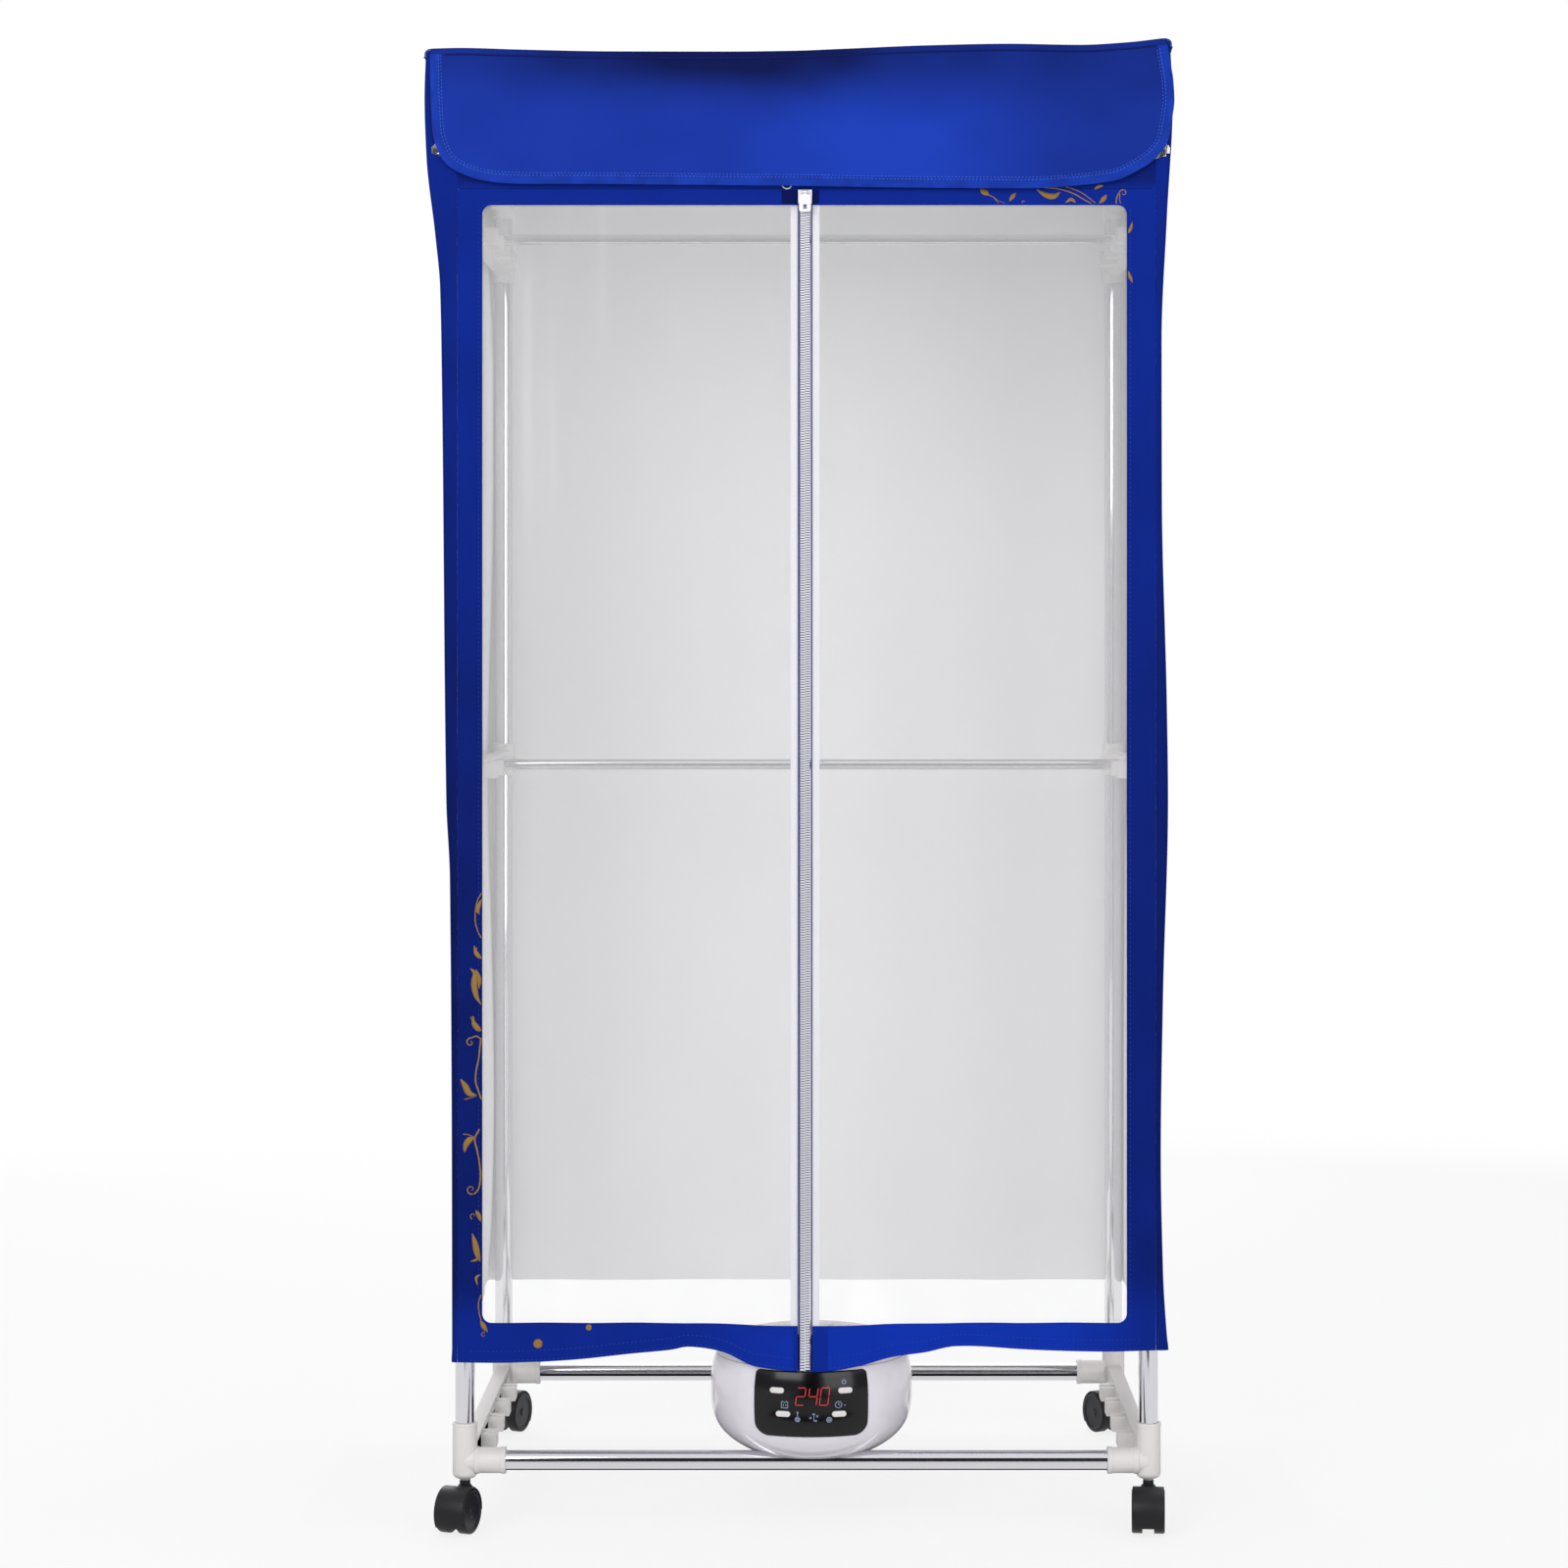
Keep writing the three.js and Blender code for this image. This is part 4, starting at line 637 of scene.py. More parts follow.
def addBrackets():
    # a cap over the post with a saddle for the top rod beside it, joined by two webs
    size = {"outer": 12.0, "bore": 9.7, "low": 1322.3, "high": 1430.3, "crown": 3.0, "saddle": 8.4,
            "rodBore": 5.7,
            "inset": 20, "web": 8, "webNear": 10.5, "webs": ((-8.2, -6.0), (5.9, 8.0))}
    for end, depth in (("front", -1), ("rear", 1)):
        for name, side in (("left", -1), ("right", 1)):
            x, y = side * plan["halfWidth"], depth * plan["halfDepth"]
            cap = rounded(
                [[size["bore"], size["low"]], [size["outer"], size["low"]], [size["outer"], size["high"]],
                 [0, size["high"]],
                 [0, size["high"] - size["crown"]], [size["bore"], size["high"] - size["crown"]]],
                 [0.4, 0.6, 3, 0, 0, 0.4], 5)
            cap = np.vstack([cap, cap[:1]])
            rodY = y - depth * size["inset"]
            saddle = ringWall(size["saddle"], size["rodBore"], -size["outer"], size["outer"], 0.6, "x",
                              (x, rodY, topRodLevel))
            yNear = y - depth * size["webNear"]
            webs = [block((x - size["web"], yNear, topRodLevel + low),
                          (x + size["web"], rodY, topRodLevel + high))
                    for low, high in size["webs"]]
            addPiece(f"bracket_{end}_{name}_cap", [turned(cap, "z", (x, y, 0), 64), saddle, *webs],
                     [finishes["white"]], "frame", [f"bracket_{end}_{name}"])


addConnectors()
addBrackets()
for railName in ("base_rail", "middle_rail", "upper_rail"):
    for sideName in ("left", "right"):
        softenNode(f"{railName}_{sideName}", finishes["white"], 0.7)
print("connectors, brackets and rails ready")


# Casters

def sectorBody(section, angles, centre):
    # a closed section of radius and width carried round an arc; its two ends close on their middles
    section = np.array(section, float)
    a = np.radians(angles)[:, None]
    radius, across = section[None, :, 0], section[None, :, 1]
    rows = np.stack([np.broadcast_to(across, (len(a), section.shape[0])), radius * np.cos(a),
                     radius * np.sin(a)], -1)
    ends = [np.broadcast_to(rows[k].mean(0), (1,) + rows.shape[1:]) for k in (0, -1)]
    rows = np.concatenate([ends[0], rows, ends[1]]) + np.array(centre, float)
    return shell(rows, gridQuads(len(rows), section.shape[0], False, True))


caster = {"trail": 16, "axle": 21.2, "axleRadius": 3.0, "axleLap": 0.5, "wheel": 21.2, "inner": 5.6,
          "outer": 16.0,
          "round": 2.2, "disc": 16.2, "dish": 1.0, "hub": 5.0, "hubFace": 4.2, "hood": 23.2, "hoodWall": 1.5,
          "hoodHalf": 15.2, "from": -5, "to": 215, "web": 5.0, "webLap": 0.4, "neck": 5.2, "neckFoot": 26,
          "neckTop": 48.0, "ring": 4.9, "ringTop": 49.6, "stem": 4.0, "stemFoot": 40, "stemTop": 58,
          "boss": 6.0,
          "bossLap": 0.3}
casterShoulder = [[0, 38], [10.5, 39.0], [7.6, 41.2], [5.6, 43.6], [0, 44]]
casterTurns = {"front_left": -19.5, "front_right": -5, "rear_left": 158, "rear_right": -152}


def hoodShells(centre):
    # a roof over the wheels and a web between them, both from angle "from" to angle "to" about the axle
    size, half = caster, caster["hoodHalf"]
    inner = size["hood"] - size["hoodWall"]
    section = rounded([[inner, -half], [size["hood"], -half], [size["hood"], half], [inner, half]],
                      [0.3, 0.9, 0.9, 0.3], 4, loop=True)
    angles = np.linspace(size["from"], size["to"], 60)
    hood = sectorBody(section, angles, centre)
    a, reach = np.radians(angles), inner + size["webLap"]
    rim = np.stack([np.zeros_like(a), np.cos(a) * reach, np.sin(a) * reach], -1)
    faces = [np.broadcast_to(rim.mean(0), rim.shape) * [0, 1, 1] + [s, 0, 0]
             for s in (-size["web"], size["web"])]
    rows = np.stack([faces[0], rim - [size["web"], 0, 0], rim + [size["web"], 0, 0], faces[1]])
    web = shell(rows + np.array(centre, float), gridQuads(4, len(a), False, True))
    neckLine = [[0, size["neckFoot"]], [size["neck"], size["neckFoot"]], [size["neck"], size["neckTop"]],
                [0, size["neckTop"]]]
    neck = turned(rounded(neckLine, 0.5, 4), sides=40)
    shoulder = turned(curveThrough(casterShoulder, 24), sides=40)
    ring = bar(size["ring"], size["neckTop"], size["ringTop"], 0.3, sides=40)
    stem = bar(size["stem"], size["stemFoot"], size["stemTop"], 0.6, sides=32)
    bossHalf = size["web"] + size["bossLap"]
    boss = bar(size["boss"], -bossHalf, bossHalf, 0.3, "x", centre, 32)
    for body in (ring, stem):
        body["finish"] = np.ones(len(body["quads"]), int)
    return [hood, web, neck, shoulder, ring, stem, boss]


def wheelShells(centre):
    # two wheels on one axle, the second the first's mirror image; their dished discs take the second finish
    size, face = caster, caster["outer"]
    half = rounded([[0, size["inner"]], [size["wheel"], size["inner"]], [size["wheel"], face],
                    [size["disc"] + 1.0, face], [size["disc"], face - size["dish"]],
                    [size["hub"], face - size["dish"]], [size["hubFace"], face], [0, face]],
                   [0, 0.6, size["round"], 0.4, 0.6, 0.5, 0.6, 0], 5)
    wheels = []
    for sign in (-1, 1):
        one = turned(half * [1, sign], "x", centre, 72)
        middles = one["points"][one["quads"]].mean(1) - np.array(centre)
        radial = np.hypot(middles[:, 1], middles[:, 2])
        one["finish"] = ((radial < size["disc"] + 0.6) & (np.abs(middles[:, 0]) > face - 2)).astype(int)
        wheels.append(one)
    axleHalf = size["inner"] + size["axleLap"]
    return [*wheels, bar(size["axleRadius"], -axleHalf, axleHalf, 0.2, "x", centre, 24)]


def addCasters():
    # the trail carries the axle behind the swivel's axis before the caster is turned
    centre = (0, -caster["trail"], caster["axle"])
    for name, turn in casterTurns.items():
        at = (plan["halfWidth"] * (-1 if "left" in name else 1),
              plan["halfDepth"] * (-1 if "front" in name else 1), 0)
        for kind, shells, second in (("hood", hoodShells(centre), "steel"),
                                     ("wheels", wheelShells(centre), "wheelGrey")):
            placed = [turnedShell(one, turn, at) for one in shells]
            addPiece(f"caster_{name}_{kind}", placed, [finishes["black"], finishes[second]], f"{kind}_{name}",
                     [f"caster_{kind}_{name}"])


addCasters()
print("casters ready")


# Heater

heater = {"x": 4.5, "y": -170, "foot": 64, "base": 72, "widest": 99, "widestAt": 134, "crown": 80,
          "crownAt": 176,
          "shellTop": 164, "wall": 2.5, "floor": 3, "lidTop": 181, "lidFlat": 72, "grille": 65,
          "grilleThick": 3}
heaterPlace = (heater["x"], heater["y"], 0)


def housingRadius(level):
    # below the widest level 1 - (1 - t)^3.5 of the spread, above it sqrt(1 - t^2.2) of the crown's
    level = np.asarray(level, float)
    t = np.clip((level - heater["base"]) / (heater["widestAt"] - heater["base"]), 0, 1)
    bowl = mix(heater["foot"], heater["widest"], 1 - (1 - t) ** 3.5)
    t = np.clip((level - heater["widestAt"]) / (heater["crownAt"] - heater["widestAt"]), 0, 1)
    return np.where(level <= heater["widestAt"], bowl,
                    mix(heater["crown"], heater["widest"], np.sqrt(1 - t**2.2)))


def onPanel(across, level, stand):
    # a place on the housing's face: the angle whose sine is across / widest radius
    angle = np.arcsin(np.asarray(across, float) / heater["widest"])
    radius = housingRadius(level) + stand
    return np.stack(np.broadcast_arrays(heater["x"] + radius * np.sin(angle),
                                        heater["y"] - radius * np.cos(angle), level), -1)


def pillRows(length, height, edge):
    # a pill outline, pulled in by edge (1 - cos a) while it rises by edge sin a
    count = 9
    bend = np.radians(np.linspace(0, 80, 5))
    turn = np.radians(np.concatenate([np.linspace(-90, 90, count), np.linspace(90, 270, count)]))
    side = np.repeat([1, -1], count)
    rows = []
    for b in bend:
        radius = height / 2 - edge * (1 - math.cos(b))
        rows.append(np.stack([side * (length - height) / 2 + radius * np.cos(turn), radius * np.sin(turn),
                              np.full(len(turn), edge * math.sin(b))], -1))
    return np.stack(rows)


def pillBody(across, level, length, height, back, front, edge):
    # a pill that stands from radius back to radius front on the housing, turned to its place across the panel
    rows = pillRows(length, height, edge)
    outline = rows[0]
    depth = np.concatenate([np.full((1, len(outline)), back), np.full((1, len(outline)), back),
                            front - edge + rows[:, :, 2]])
    flat = np.concatenate([outline[None] * 0, outline[None], rows])
    flat = np.concatenate([flat, flat[-1:] * [0, 0, 1]])
    depth = np.concatenate([depth, np.full((1, len(outline)), front)])
    points = np.stack([flat[:, :, 0], -depth, flat[:, :, 1] + level], -1)
    one = shell(points, gridQuads(len(points), len(outline), False, True))
    return turnedShell(one, math.degrees(math.asin(across / heater["widest"])), heaterPlace)


buttonPill = {"length": 14.4, "height": 5.6, "edge": 0.9, "rise": 2.6, "depth": 9}
buttonHole = {"length": 15.0, "height": 6.2, "edge": 0.1, "front": 104}


def buttonHoles(back):
    # pills a little larger than the buttons, to cut with
    hole = buttonHole
    return [pillBody(b["across"], b["level"], hole["length"], hole["height"], back, hole["front"],
                     hole["edge"])
            for b in buttons]


def addHousing():
    # the profile runs up the outside and down the inside; tube, air slots, buttons and inlet are cut from it
    slots = {"count": 8, "width": 3.6, "from": 25, "to": 38.5, "low": 68, "high": 79, "edge": 1.6}
    tube = {"bore": 9.8, "half": 99, "back": 50}
    inlet = {"half": 12.3, "near": 83, "far": 101, "low": 101.2, "high": 116.8, "edge": 0.4}
    pillar = {"radius": 4.5, "low": 83.5, "high": 126.7, "edge": 0.3, "across": 74, "along": 14}
    boardRest = {"half": 12, "near": 95, "far": 76, "low": 108.3, "high": 111.3}
    holeBack, rows = 78, 46
    middle, back, base, top = heater["x"], heater["y"], heater["base"], heater["shellTop"]
    levels = np.concatenate([[base + 0.6], np.linspace(base + 2, top - 0.4, rows)])
    outer = np.stack([housingRadius(levels), levels], -1)
    inner = outer[::-1] - [heater["wall"], 0]
    floorTop = base + heater["floor"]
    inner = inner[inner[:, 1] > floorTop + 2]
    rim = [[outer[-1, 0] - 0.3, top], [inner[0, 0] + 0.3, top]]
    foot = [[0, base], [heater["foot"] - 1, base]]
    profile = np.vstack([foot, outer, rim, inner, [[inner[-1, 0] - 3, floorTop], [0, floorTop]]])
    housing = addPiece("heater_bowl", [turned(profile, "z", heaterPlace, 144)], [finishes["glossWhite"]],
                       "frame",
                       ["heater_housing"])
    cutters = [bar(tube["bore"], -tube["half"], tube["half"], 0, "x",
                   (middle, back - tube["back"], plan["footLevel"]), 64)]
    for i in range(slots["count"]):
        slot = block((slots["from"], -slots["width"] / 2, slots["low"]),
                     (slots["to"], slots["width"] / 2, slots["high"]),
                     slots["edge"])
        cutters.append(turnedShell(slot, (i + 0.5) * 360 / slots["count"], heaterPlace))
    cutters += buttonHoles(holeBack)
    cutters.append(block((middle - inlet["half"], back + inlet["near"], inlet["low"]),
                         (middle + inlet["half"], back + inlet["far"], inlet["high"]), inlet["edge"]))
    carve(housing, cutters)
    supports = [bar(pillar["radius"], pillar["low"], pillar["high"], pillar["edge"], "z",
                    (middle + sx * pillar["across"], back + sy * pillar["along"], 0), 24)
                for sx in (-1, 1) for sy in (-1, 1)]
    supports.append(block((middle - boardRest["half"], back - boardRest["near"], boardRest["low"]),
                          (middle + boardRest["half"], back - boardRest["far"], boardRest["high"])))
    addPiece("heater_pillars", supports, [finishes["glossWhite"]], "frame", ())


def addTopCover():
    # a ring whose profile follows the housing, with the slotted grille let into its middle
    slots = {"count": 16, "from": 19, "to": 57, "half": 1.9, "edge": 1.7, "below": 6, "above": 3}
    backLevel = 169.5
    low, shoulder, top = heater["shellTop"] + 0.3, 175, heater["lidTop"]
    seat, foot, wall = heater["grille"] + 0.3, heater["lidTop"] - 3.3, heater["wall"]
    levels = np.linspace(low + 0.3, shoulder, 14)
    outer = np.stack([housingRadius(levels), levels], -1)
    crest = rounded([outer[-1], [heater["lidFlat"], top], [seat, top], [seat, foot], [seat - 5, foot],
                     [seat - 5, foot - wall]], [0, 5, 0.5, 0.2, 0.2, 0], 6)
    back = [[housingRadius(backLevel) - 2 * wall, backLevel], [outer[0, 0] - wall, low]]
    profile = np.vstack([[[outer[0, 0] - 0.4, low]], outer, crest[1:], back])
    cover = turned(profile, "z", heaterPlace, 144, closedRing=True)
    addPiece("heater_lid", [cover], [finishes["glossWhite"]], "frame", ["heater_top_cover"])
    disc = addPiece("heater_grille", [bar(heater["grille"], top - heater["grilleThick"], top, 0.5, "z",
                                          heaterPlace, 120)],
                    [finishes["white"]], "frame", ["outlet_grille"])
    slot = block((slots["from"], -slots["half"], top - slots["below"]),
                 (slots["to"], slots["half"], top + slots["above"]),
                 slots["edge"])
    carve(disc, [turnedShell(slot, i * 360 / slots["count"], heaterPlace) for i in range(slots["count"])])


buttons = [
    {"name": "upper_left", "across": -32.5, "level": 143.7},
    {"name": "upper_right", "across": 32.5, "level": 143.7},
    {"name": "lower_left", "across": -26.6, "level": 121.5},
    {"name": "lower_right", "across": 26.6, "level": 121.5},
]


def addPanel():
    # a plate bent round the housing: its corners are quarter circles and its rim falls off by sqrt(1 - t^2)
    panel = {"half": 54.5, "low": 98.5, "high": 161.8, "lowCorner": 12, "highCorner": 4, "stand": 0.3,
             "thick": 1.2, "edge": 1.1,
             "rimShare": 0.35, "holeBack": 80}
    v = np.linspace(0, 1, 61)[:, None]
    level = mix(panel["low"], panel["high"], 0.5 - 0.5 * np.cos(np.pi * v))
    low, high = panel["lowCorner"], panel["highCorner"]
    fromLow, fromHigh = np.minimum(level - panel["low"], low), np.minimum(panel["high"] - level, high)
    pulledIn = low - np.sqrt(low**2 - (low - fromLow) ** 2) + high - np.sqrt(high**2 - (high - fromHigh) ** 2)
    half = panel["half"] - pulledIn
    u = np.sin(np.pi / 2 * np.linspace(-1, 1, 71))[None, :]
    across = half * u
    rim = np.minimum(half - np.abs(across), np.minimum(level - panel["low"], panel["high"] - level))
    t = 1 - np.clip(rim / panel["edge"], 0, 1)
    stand = panel["stand"] + panel["thick"] * mix(panel["rimShare"], 1, np.sqrt(1 - t**2))
    level = np.broadcast_to(level, across.shape)
    plate = thickSheet(onPanel(across, level, stand), onPanel(across, level, panel["stand"]), (0, 0, 0))
    piece = addPiece("control_panel_plate", [plate], [finishes["glossBlack"]], "frame", ["control_panel"])
    carve(piece, buttonHoles(panel["holeBack"]))
    pill = buttonPill
    for b in buttons:
        front = float(housingRadius(b["level"])) + pill["rise"]
        body = pillBody(b["across"], b["level"], pill["length"], pill["height"], front - pill["depth"], front,
                        pill["edge"])
        addPiece(f"button_{b['name']}_cap", [body], [finishes["white"]], f"{b['name']}_button",
                 [f"button_{b['name']}"])


def strokeOn(surface, line, width, stand, rise):
    # a flat line made into a strip on a surface: its rims lie half a width to either side, square to it
    line = np.array(line, float)
    along = np.gradient(line, axis=0)
    along /= np.maximum(np.linalg.norm(along, axis=1, keepdims=True), 1e-9)
    side = np.stack([-along[:, 1], along[:, 0]], -1) * (np.broadcast_to(width, len(line)) / 2)[:, None]
    rims = np.stack([line - side, line + side])
    return thickSheet(surface(rims[..., 0], rims[..., 1], stand + rise),
                      surface(rims[..., 0], rims[..., 1], stand), (0, 0, 0))


def dense(line, gap=1.0):
    # the line's points laid out again at even gaps along its length
    line = np.array(line, float)
    length = np.concatenate([[0], np.cumsum(np.linalg.norm(np.diff(line, axis=0), axis=1))])
    at = np.linspace(0, length[-1], max(3, int(length[-1] / gap) + 1))
    return np.stack([np.interp(at, length, line[:, k]) for k in (0, 1)], -1)


def circleLine(x, y, radius, start=0, end=360, count=25):
    # an arc from angle start to angle end
    a = np.radians(np.linspace(start, end, count))
    return np.stack([x + radius * np.cos(a), y + radius * np.sin(a)], -1)


markStand, digitRise, iconRise = 1.52, 0.12, 0.1
garment = {"x": -25.1, "z": 130.4, "half": 3.0, "foot": 3.2, "collar": 1.4, "sleeve": 1.2}
clock = {"x": 27.5, "z": 130.4, "face": -1.6, "radius": 3.1}
flowers = ((-12.9, 116.6, 2.4), (17.2, 116.2, 2.6))
drop = {"x": -12.9, "low": 119.6, "high": 122.6, "bulb": 123.2, "radius": 0.7}
air = {"x": 2.6, "z": 118.8, "puff": 0.75, "puffs": ((-3.2, -0.6), (3.2, 1.0), (1.9, -3.4))}
power = {"x": 31.5, "z": 151.7, "radius": 1.9, "from": 120, "to": 420}


def addDigits():
    # seven-bar digits that lean by a share of their height
    digit = {"height": 16.5, "width": 8.0, "slant": 0.13, "stroke": 0.82, "low": 130.4, "gap": 0.5,
             "starts": (-14.9, -3.3, 7.7)}
    w, h, g = digit["width"], digit["height"], digit["gap"]
    bars = {"a": ((g, h), (w - g, h)), "b": ((w, h - g), (w, h / 2 + g)), "c": ((w, h / 2 - g), (w, g)),
            "d": ((g, 0), (w - g, 0)), "e": ((0, g), (0, h / 2 - g)), "f": ((0, h / 2 + g), (0, h - g)),
            "g": ((g, h / 2), (w - g, h / 2))}
    marks = []
    for start, letters in zip(digit["starts"], ("abged", "fgbc", "abcdef")):
        for letter in letters:
            line = dense(bars[letter], 0.9)
            lean = start + digit["slant"] * line[:, 1]
            line = line + np.stack([lean, np.full(len(line), digit["low"])], -1)
            marks.append(strokeOn(onPanel, line, digit["stroke"], markStand, digitRise))
    addPiece("display_digits", marks, [finishes["digits"]], "frame")


def garmentLines():
    # a garment's outline with a dip for the neck
    x, z, half, foot = garment["x"], garment["z"], garment["half"], garment["foot"]
    collar, sleeve, top = garment["collar"], garment["sleeve"], z + half
    outline = [(x - half, z - foot), (x + half, z - foot), (x + half, top), (x + collar, top),
               (x, z + 2), (x - collar, top), (x - half, top), (x - half, z - foot)]
    return [dense(outline, 0.5),
            *[dense([(x + s * sleeve, z - 1.6), (x + s * sleeve, z + 0.6)]) for s in (-1, 1)]]


def clockLines():
    # a clock with two hands, and a dash
    x, z = clock["x"], clock["z"]
    middle = x + clock["face"]
    return [circleLine(middle, z, clock["radius"]),
            dense([(middle, z + 2), (middle, z), (x + 0.1, z - 0.6)], 0.4),
            dense([(x + 3.4, z - 0.8), (x + 5.2, z - 0.8)])]


def flowerLines():
    # six round petals about each middle
    return [circleLine(x + size * 0.66 * math.cos(k), z + size * 0.66 * math.sin(k), size * 0.36, count=11)
            for x, z, size in flowers for k in np.radians(range(0, 360, 60))]


def airLines():
    # an arrow up among three puffs
    x, z = air["x"], air["z"]
    return [dense([(x, z - 4), (x, z + 3.6)]),
            dense([(x - 1.3, z + 2.4), (x, z + 3.8), (x + 1.3, z + 2.4)], 0.4),
            *[circleLine(x + dx, z + dz, air["puff"], count=11) for dx, dz in air["puffs"]]]


def addIcons():
    # the signs beside the buttons, as lines of one width laid on the panel
    stroke = 0.54
    lines = garmentLines() + clockLines() + flowerLines()
    lines += [dense([(drop["x"], drop["low"]), (drop["x"], drop["high"])]),
              circleLine(drop["x"], drop["bulb"], drop["radius"], count=11)]
    lines += airLines()
    lines += [circleLine(power["x"], power["z"], power["radius"], power["from"], power["to"], 17),
              dense([(power["x"], power["z"] + 0.2), (power["x"], power["z"] + 2.9)])]
    addPiece("panel_icons", [strokeOn(onPanel, line, stroke, markStand, iconRise) for line in lines],
             [finishes["icons"]], "frame")


addHousing()
addTopCover()
addPanel()
addDigits()
addIcons()
for node, finish, slot, edge in (
    ("fan_motor", "steel", "steel", 0.6), ("fan_impeller", "black", "black_plastic", 0.3),
    ("heating_element", "fins", "heating_fins", 0.4), ("control_board", "board", "circuit_board", 0.2),
    ("power_inlet", "black", "black_plastic", 0.5), ("heater_carrier", "steel", "steel", 0.5),
):
    softenNode(node, finishes[finish], edge)
print("heater ready")


# Cloth cover

cover = {"front": -234, "back": 234, "half": 343.4, "swing": 27, "hem": 162.5, "hemSwing": 19, "backHem": 165,
         "top": 1433.5, "topSwing": 13, "draw": 4, "fold": 2.5, "backFold": 3, "foldEnd": 1190,
         "foldFade": 140, "hinge": 338, "thick": 1.2, "corner": 4.5, "bandTop": 1330, "sag": 9, "lap": 18,
         "rodLapLeft": 5.4, "rodLapRight": 1.6, "pushFade": 330, "pushFadeHeight": 120}
leftEdge = [[0, 0.01], [0.15, 0.02], [0.37, 0.09], [0.43, 0.22], [0.74, 0.37], [0.82, 0.44], [0.86, 0.61],
            [0.92, 0.93], [0.965, 1], [1, 0.95]]
rightEdge = [[0, 0.29], [0.07, 0.08], [0.16, 0], [0.28, 0.08], [0.43, 0.26], [0.5, 0.22], [0.66, 0.04],
             [0.78, 0.03], [0.875, 0.22], [0.965, 0.43], [1, 0.35]]
hemShape = [[-1, 0.1], [-0.77, 0.14], [-0.56, 0.45], [-0.38, 0.8], [-0.335, 0.96], [-0.29, 0.9], [-0.23, 0.7],
            [-0.145, 0.16], [0.02, 0], [0.15, 0.2], [0.24, 0.5], [0.33, 0.68], [0.42, 0.97], [0.6, 0.82],
            [0.77, 0.68], [1, 0.72]]
topShape = [[-1.07, 0.2], [-0.975, 0.27], [-0.81, 0.15], [-0.55, 0.015], [-0.23, 0], [-0.036, 0.06],
            [0.1, 0.2], [0.35, 0.47], [0.57, 0.58], [0.77, 0.5], [0.9, 0.68], [1.01, 0.985]]


def runAt(table, place):
    # Hermite cubic through the table whose slopes are harmonic means, flat where the run turns
    at, value = np.array(table, float).T
    step = np.diff(at)
    rise = np.diff(value) / step
    slope = np.concatenate([[rise[0]], np.where(rise[1:] * rise[:-1] > 0,
                                                2 * rise[1:] * rise[:-1] / (rise[1:] + rise[:-1] + 1e-12), 0),
                                                [rise[-1]]])
    place = np.clip(place, at[0], at[-1])
    i = np.clip(np.searchsorted(at, place, side="right") - 1, 0, len(at) - 2)
    h = step[i]
    t = (place - at[i]) / h
    return ((2 * t**3 - 3 * t**2 + 1) * value[i] + (t**3 - 2 * t**2 + t) * h * slope[i]
            + (3 * t**2 - 2 * t**3) * value[i + 1] + (t**3 - t**2) * h * slope[i + 1])


def hemLine(x):
    # the hem's level: lowest level + swing * run
    return cover["hem"] + cover["hemSwing"] * runAt(hemShape, x / cover["half"])


def topLine(x):
    # the front top edge's level, found in the same way
    return cover["top"] + cover["topSwing"] * runAt(topShape, x / cover["half"])


def edgeAt(side, level, back):
    # half width of the cover; its back mirrors its front
    share = (level - cover["hem"]) / (cover["top"] - cover["hem"])
    left, right = runAt(leftEdge, share), runAt(rightEdge, share)
    front, rear = (left, right) if side < 0 else (right, left)
    return cover["half"] + cover["swing"] * mix(front, rear, back)


def topAt(x, back):
    # the top edge from front (back = 0) to rear (back = 1), where it is mirrored
    return mix(topLine(x), topLine(-x), back)


def foldFade(level):
    # folds are whole up to foldEnd and gone foldFade above it
    return 1 - smooth((level - cover["foldEnd"]) / cover["foldFade"])


def lengths(points, axis):
    # distance run along one direction of a grid, in metres
    step = np.linalg.norm(np.diff(points, axis=axis), axis=2)
    run = np.cumsum(step, axis=axis)
    pad = [(1, 0), (0, 0)] if axis == 0 else [(0, 0), (1, 0)]
    return np.pad(run, pad) * metresPerMm


def clothOf(outer, thick, tone):
    # the second face lies a thickness nearer to the middle of the cover
    normal = normalsOf(outer)
    normal *= np.sign(np.einsum("ijk,ijk->", normal, outer - [0, 0, 700]))
    uv = np.stack([lengths(outer, 1), lengths(outer, 0)], -1)
    return thickSheet(outer, outer - normal * thick, (0, 1, 0), uv, tone)


def offHinge(x, spread):
    # 0 on the line where the front is sewn to the sides, 1 away from it
    return 1 - np.exp(-(((np.abs(x) - cover["hinge"]) / spread) ** 2))


drape = {"push": 35, "pushWidth": 78, "pushHeight": 60, "ripple": 3, "ripples": 4, "rippleHeight": 150,
         "crease": 1.3, "fine": 0.5, "creaseHeight": 60, "sink": 0.4, "roll": 1.6, "rollHeight": 9,
         "taut": 0.35, "tautHeight": 40, "hingeSpread": 8}


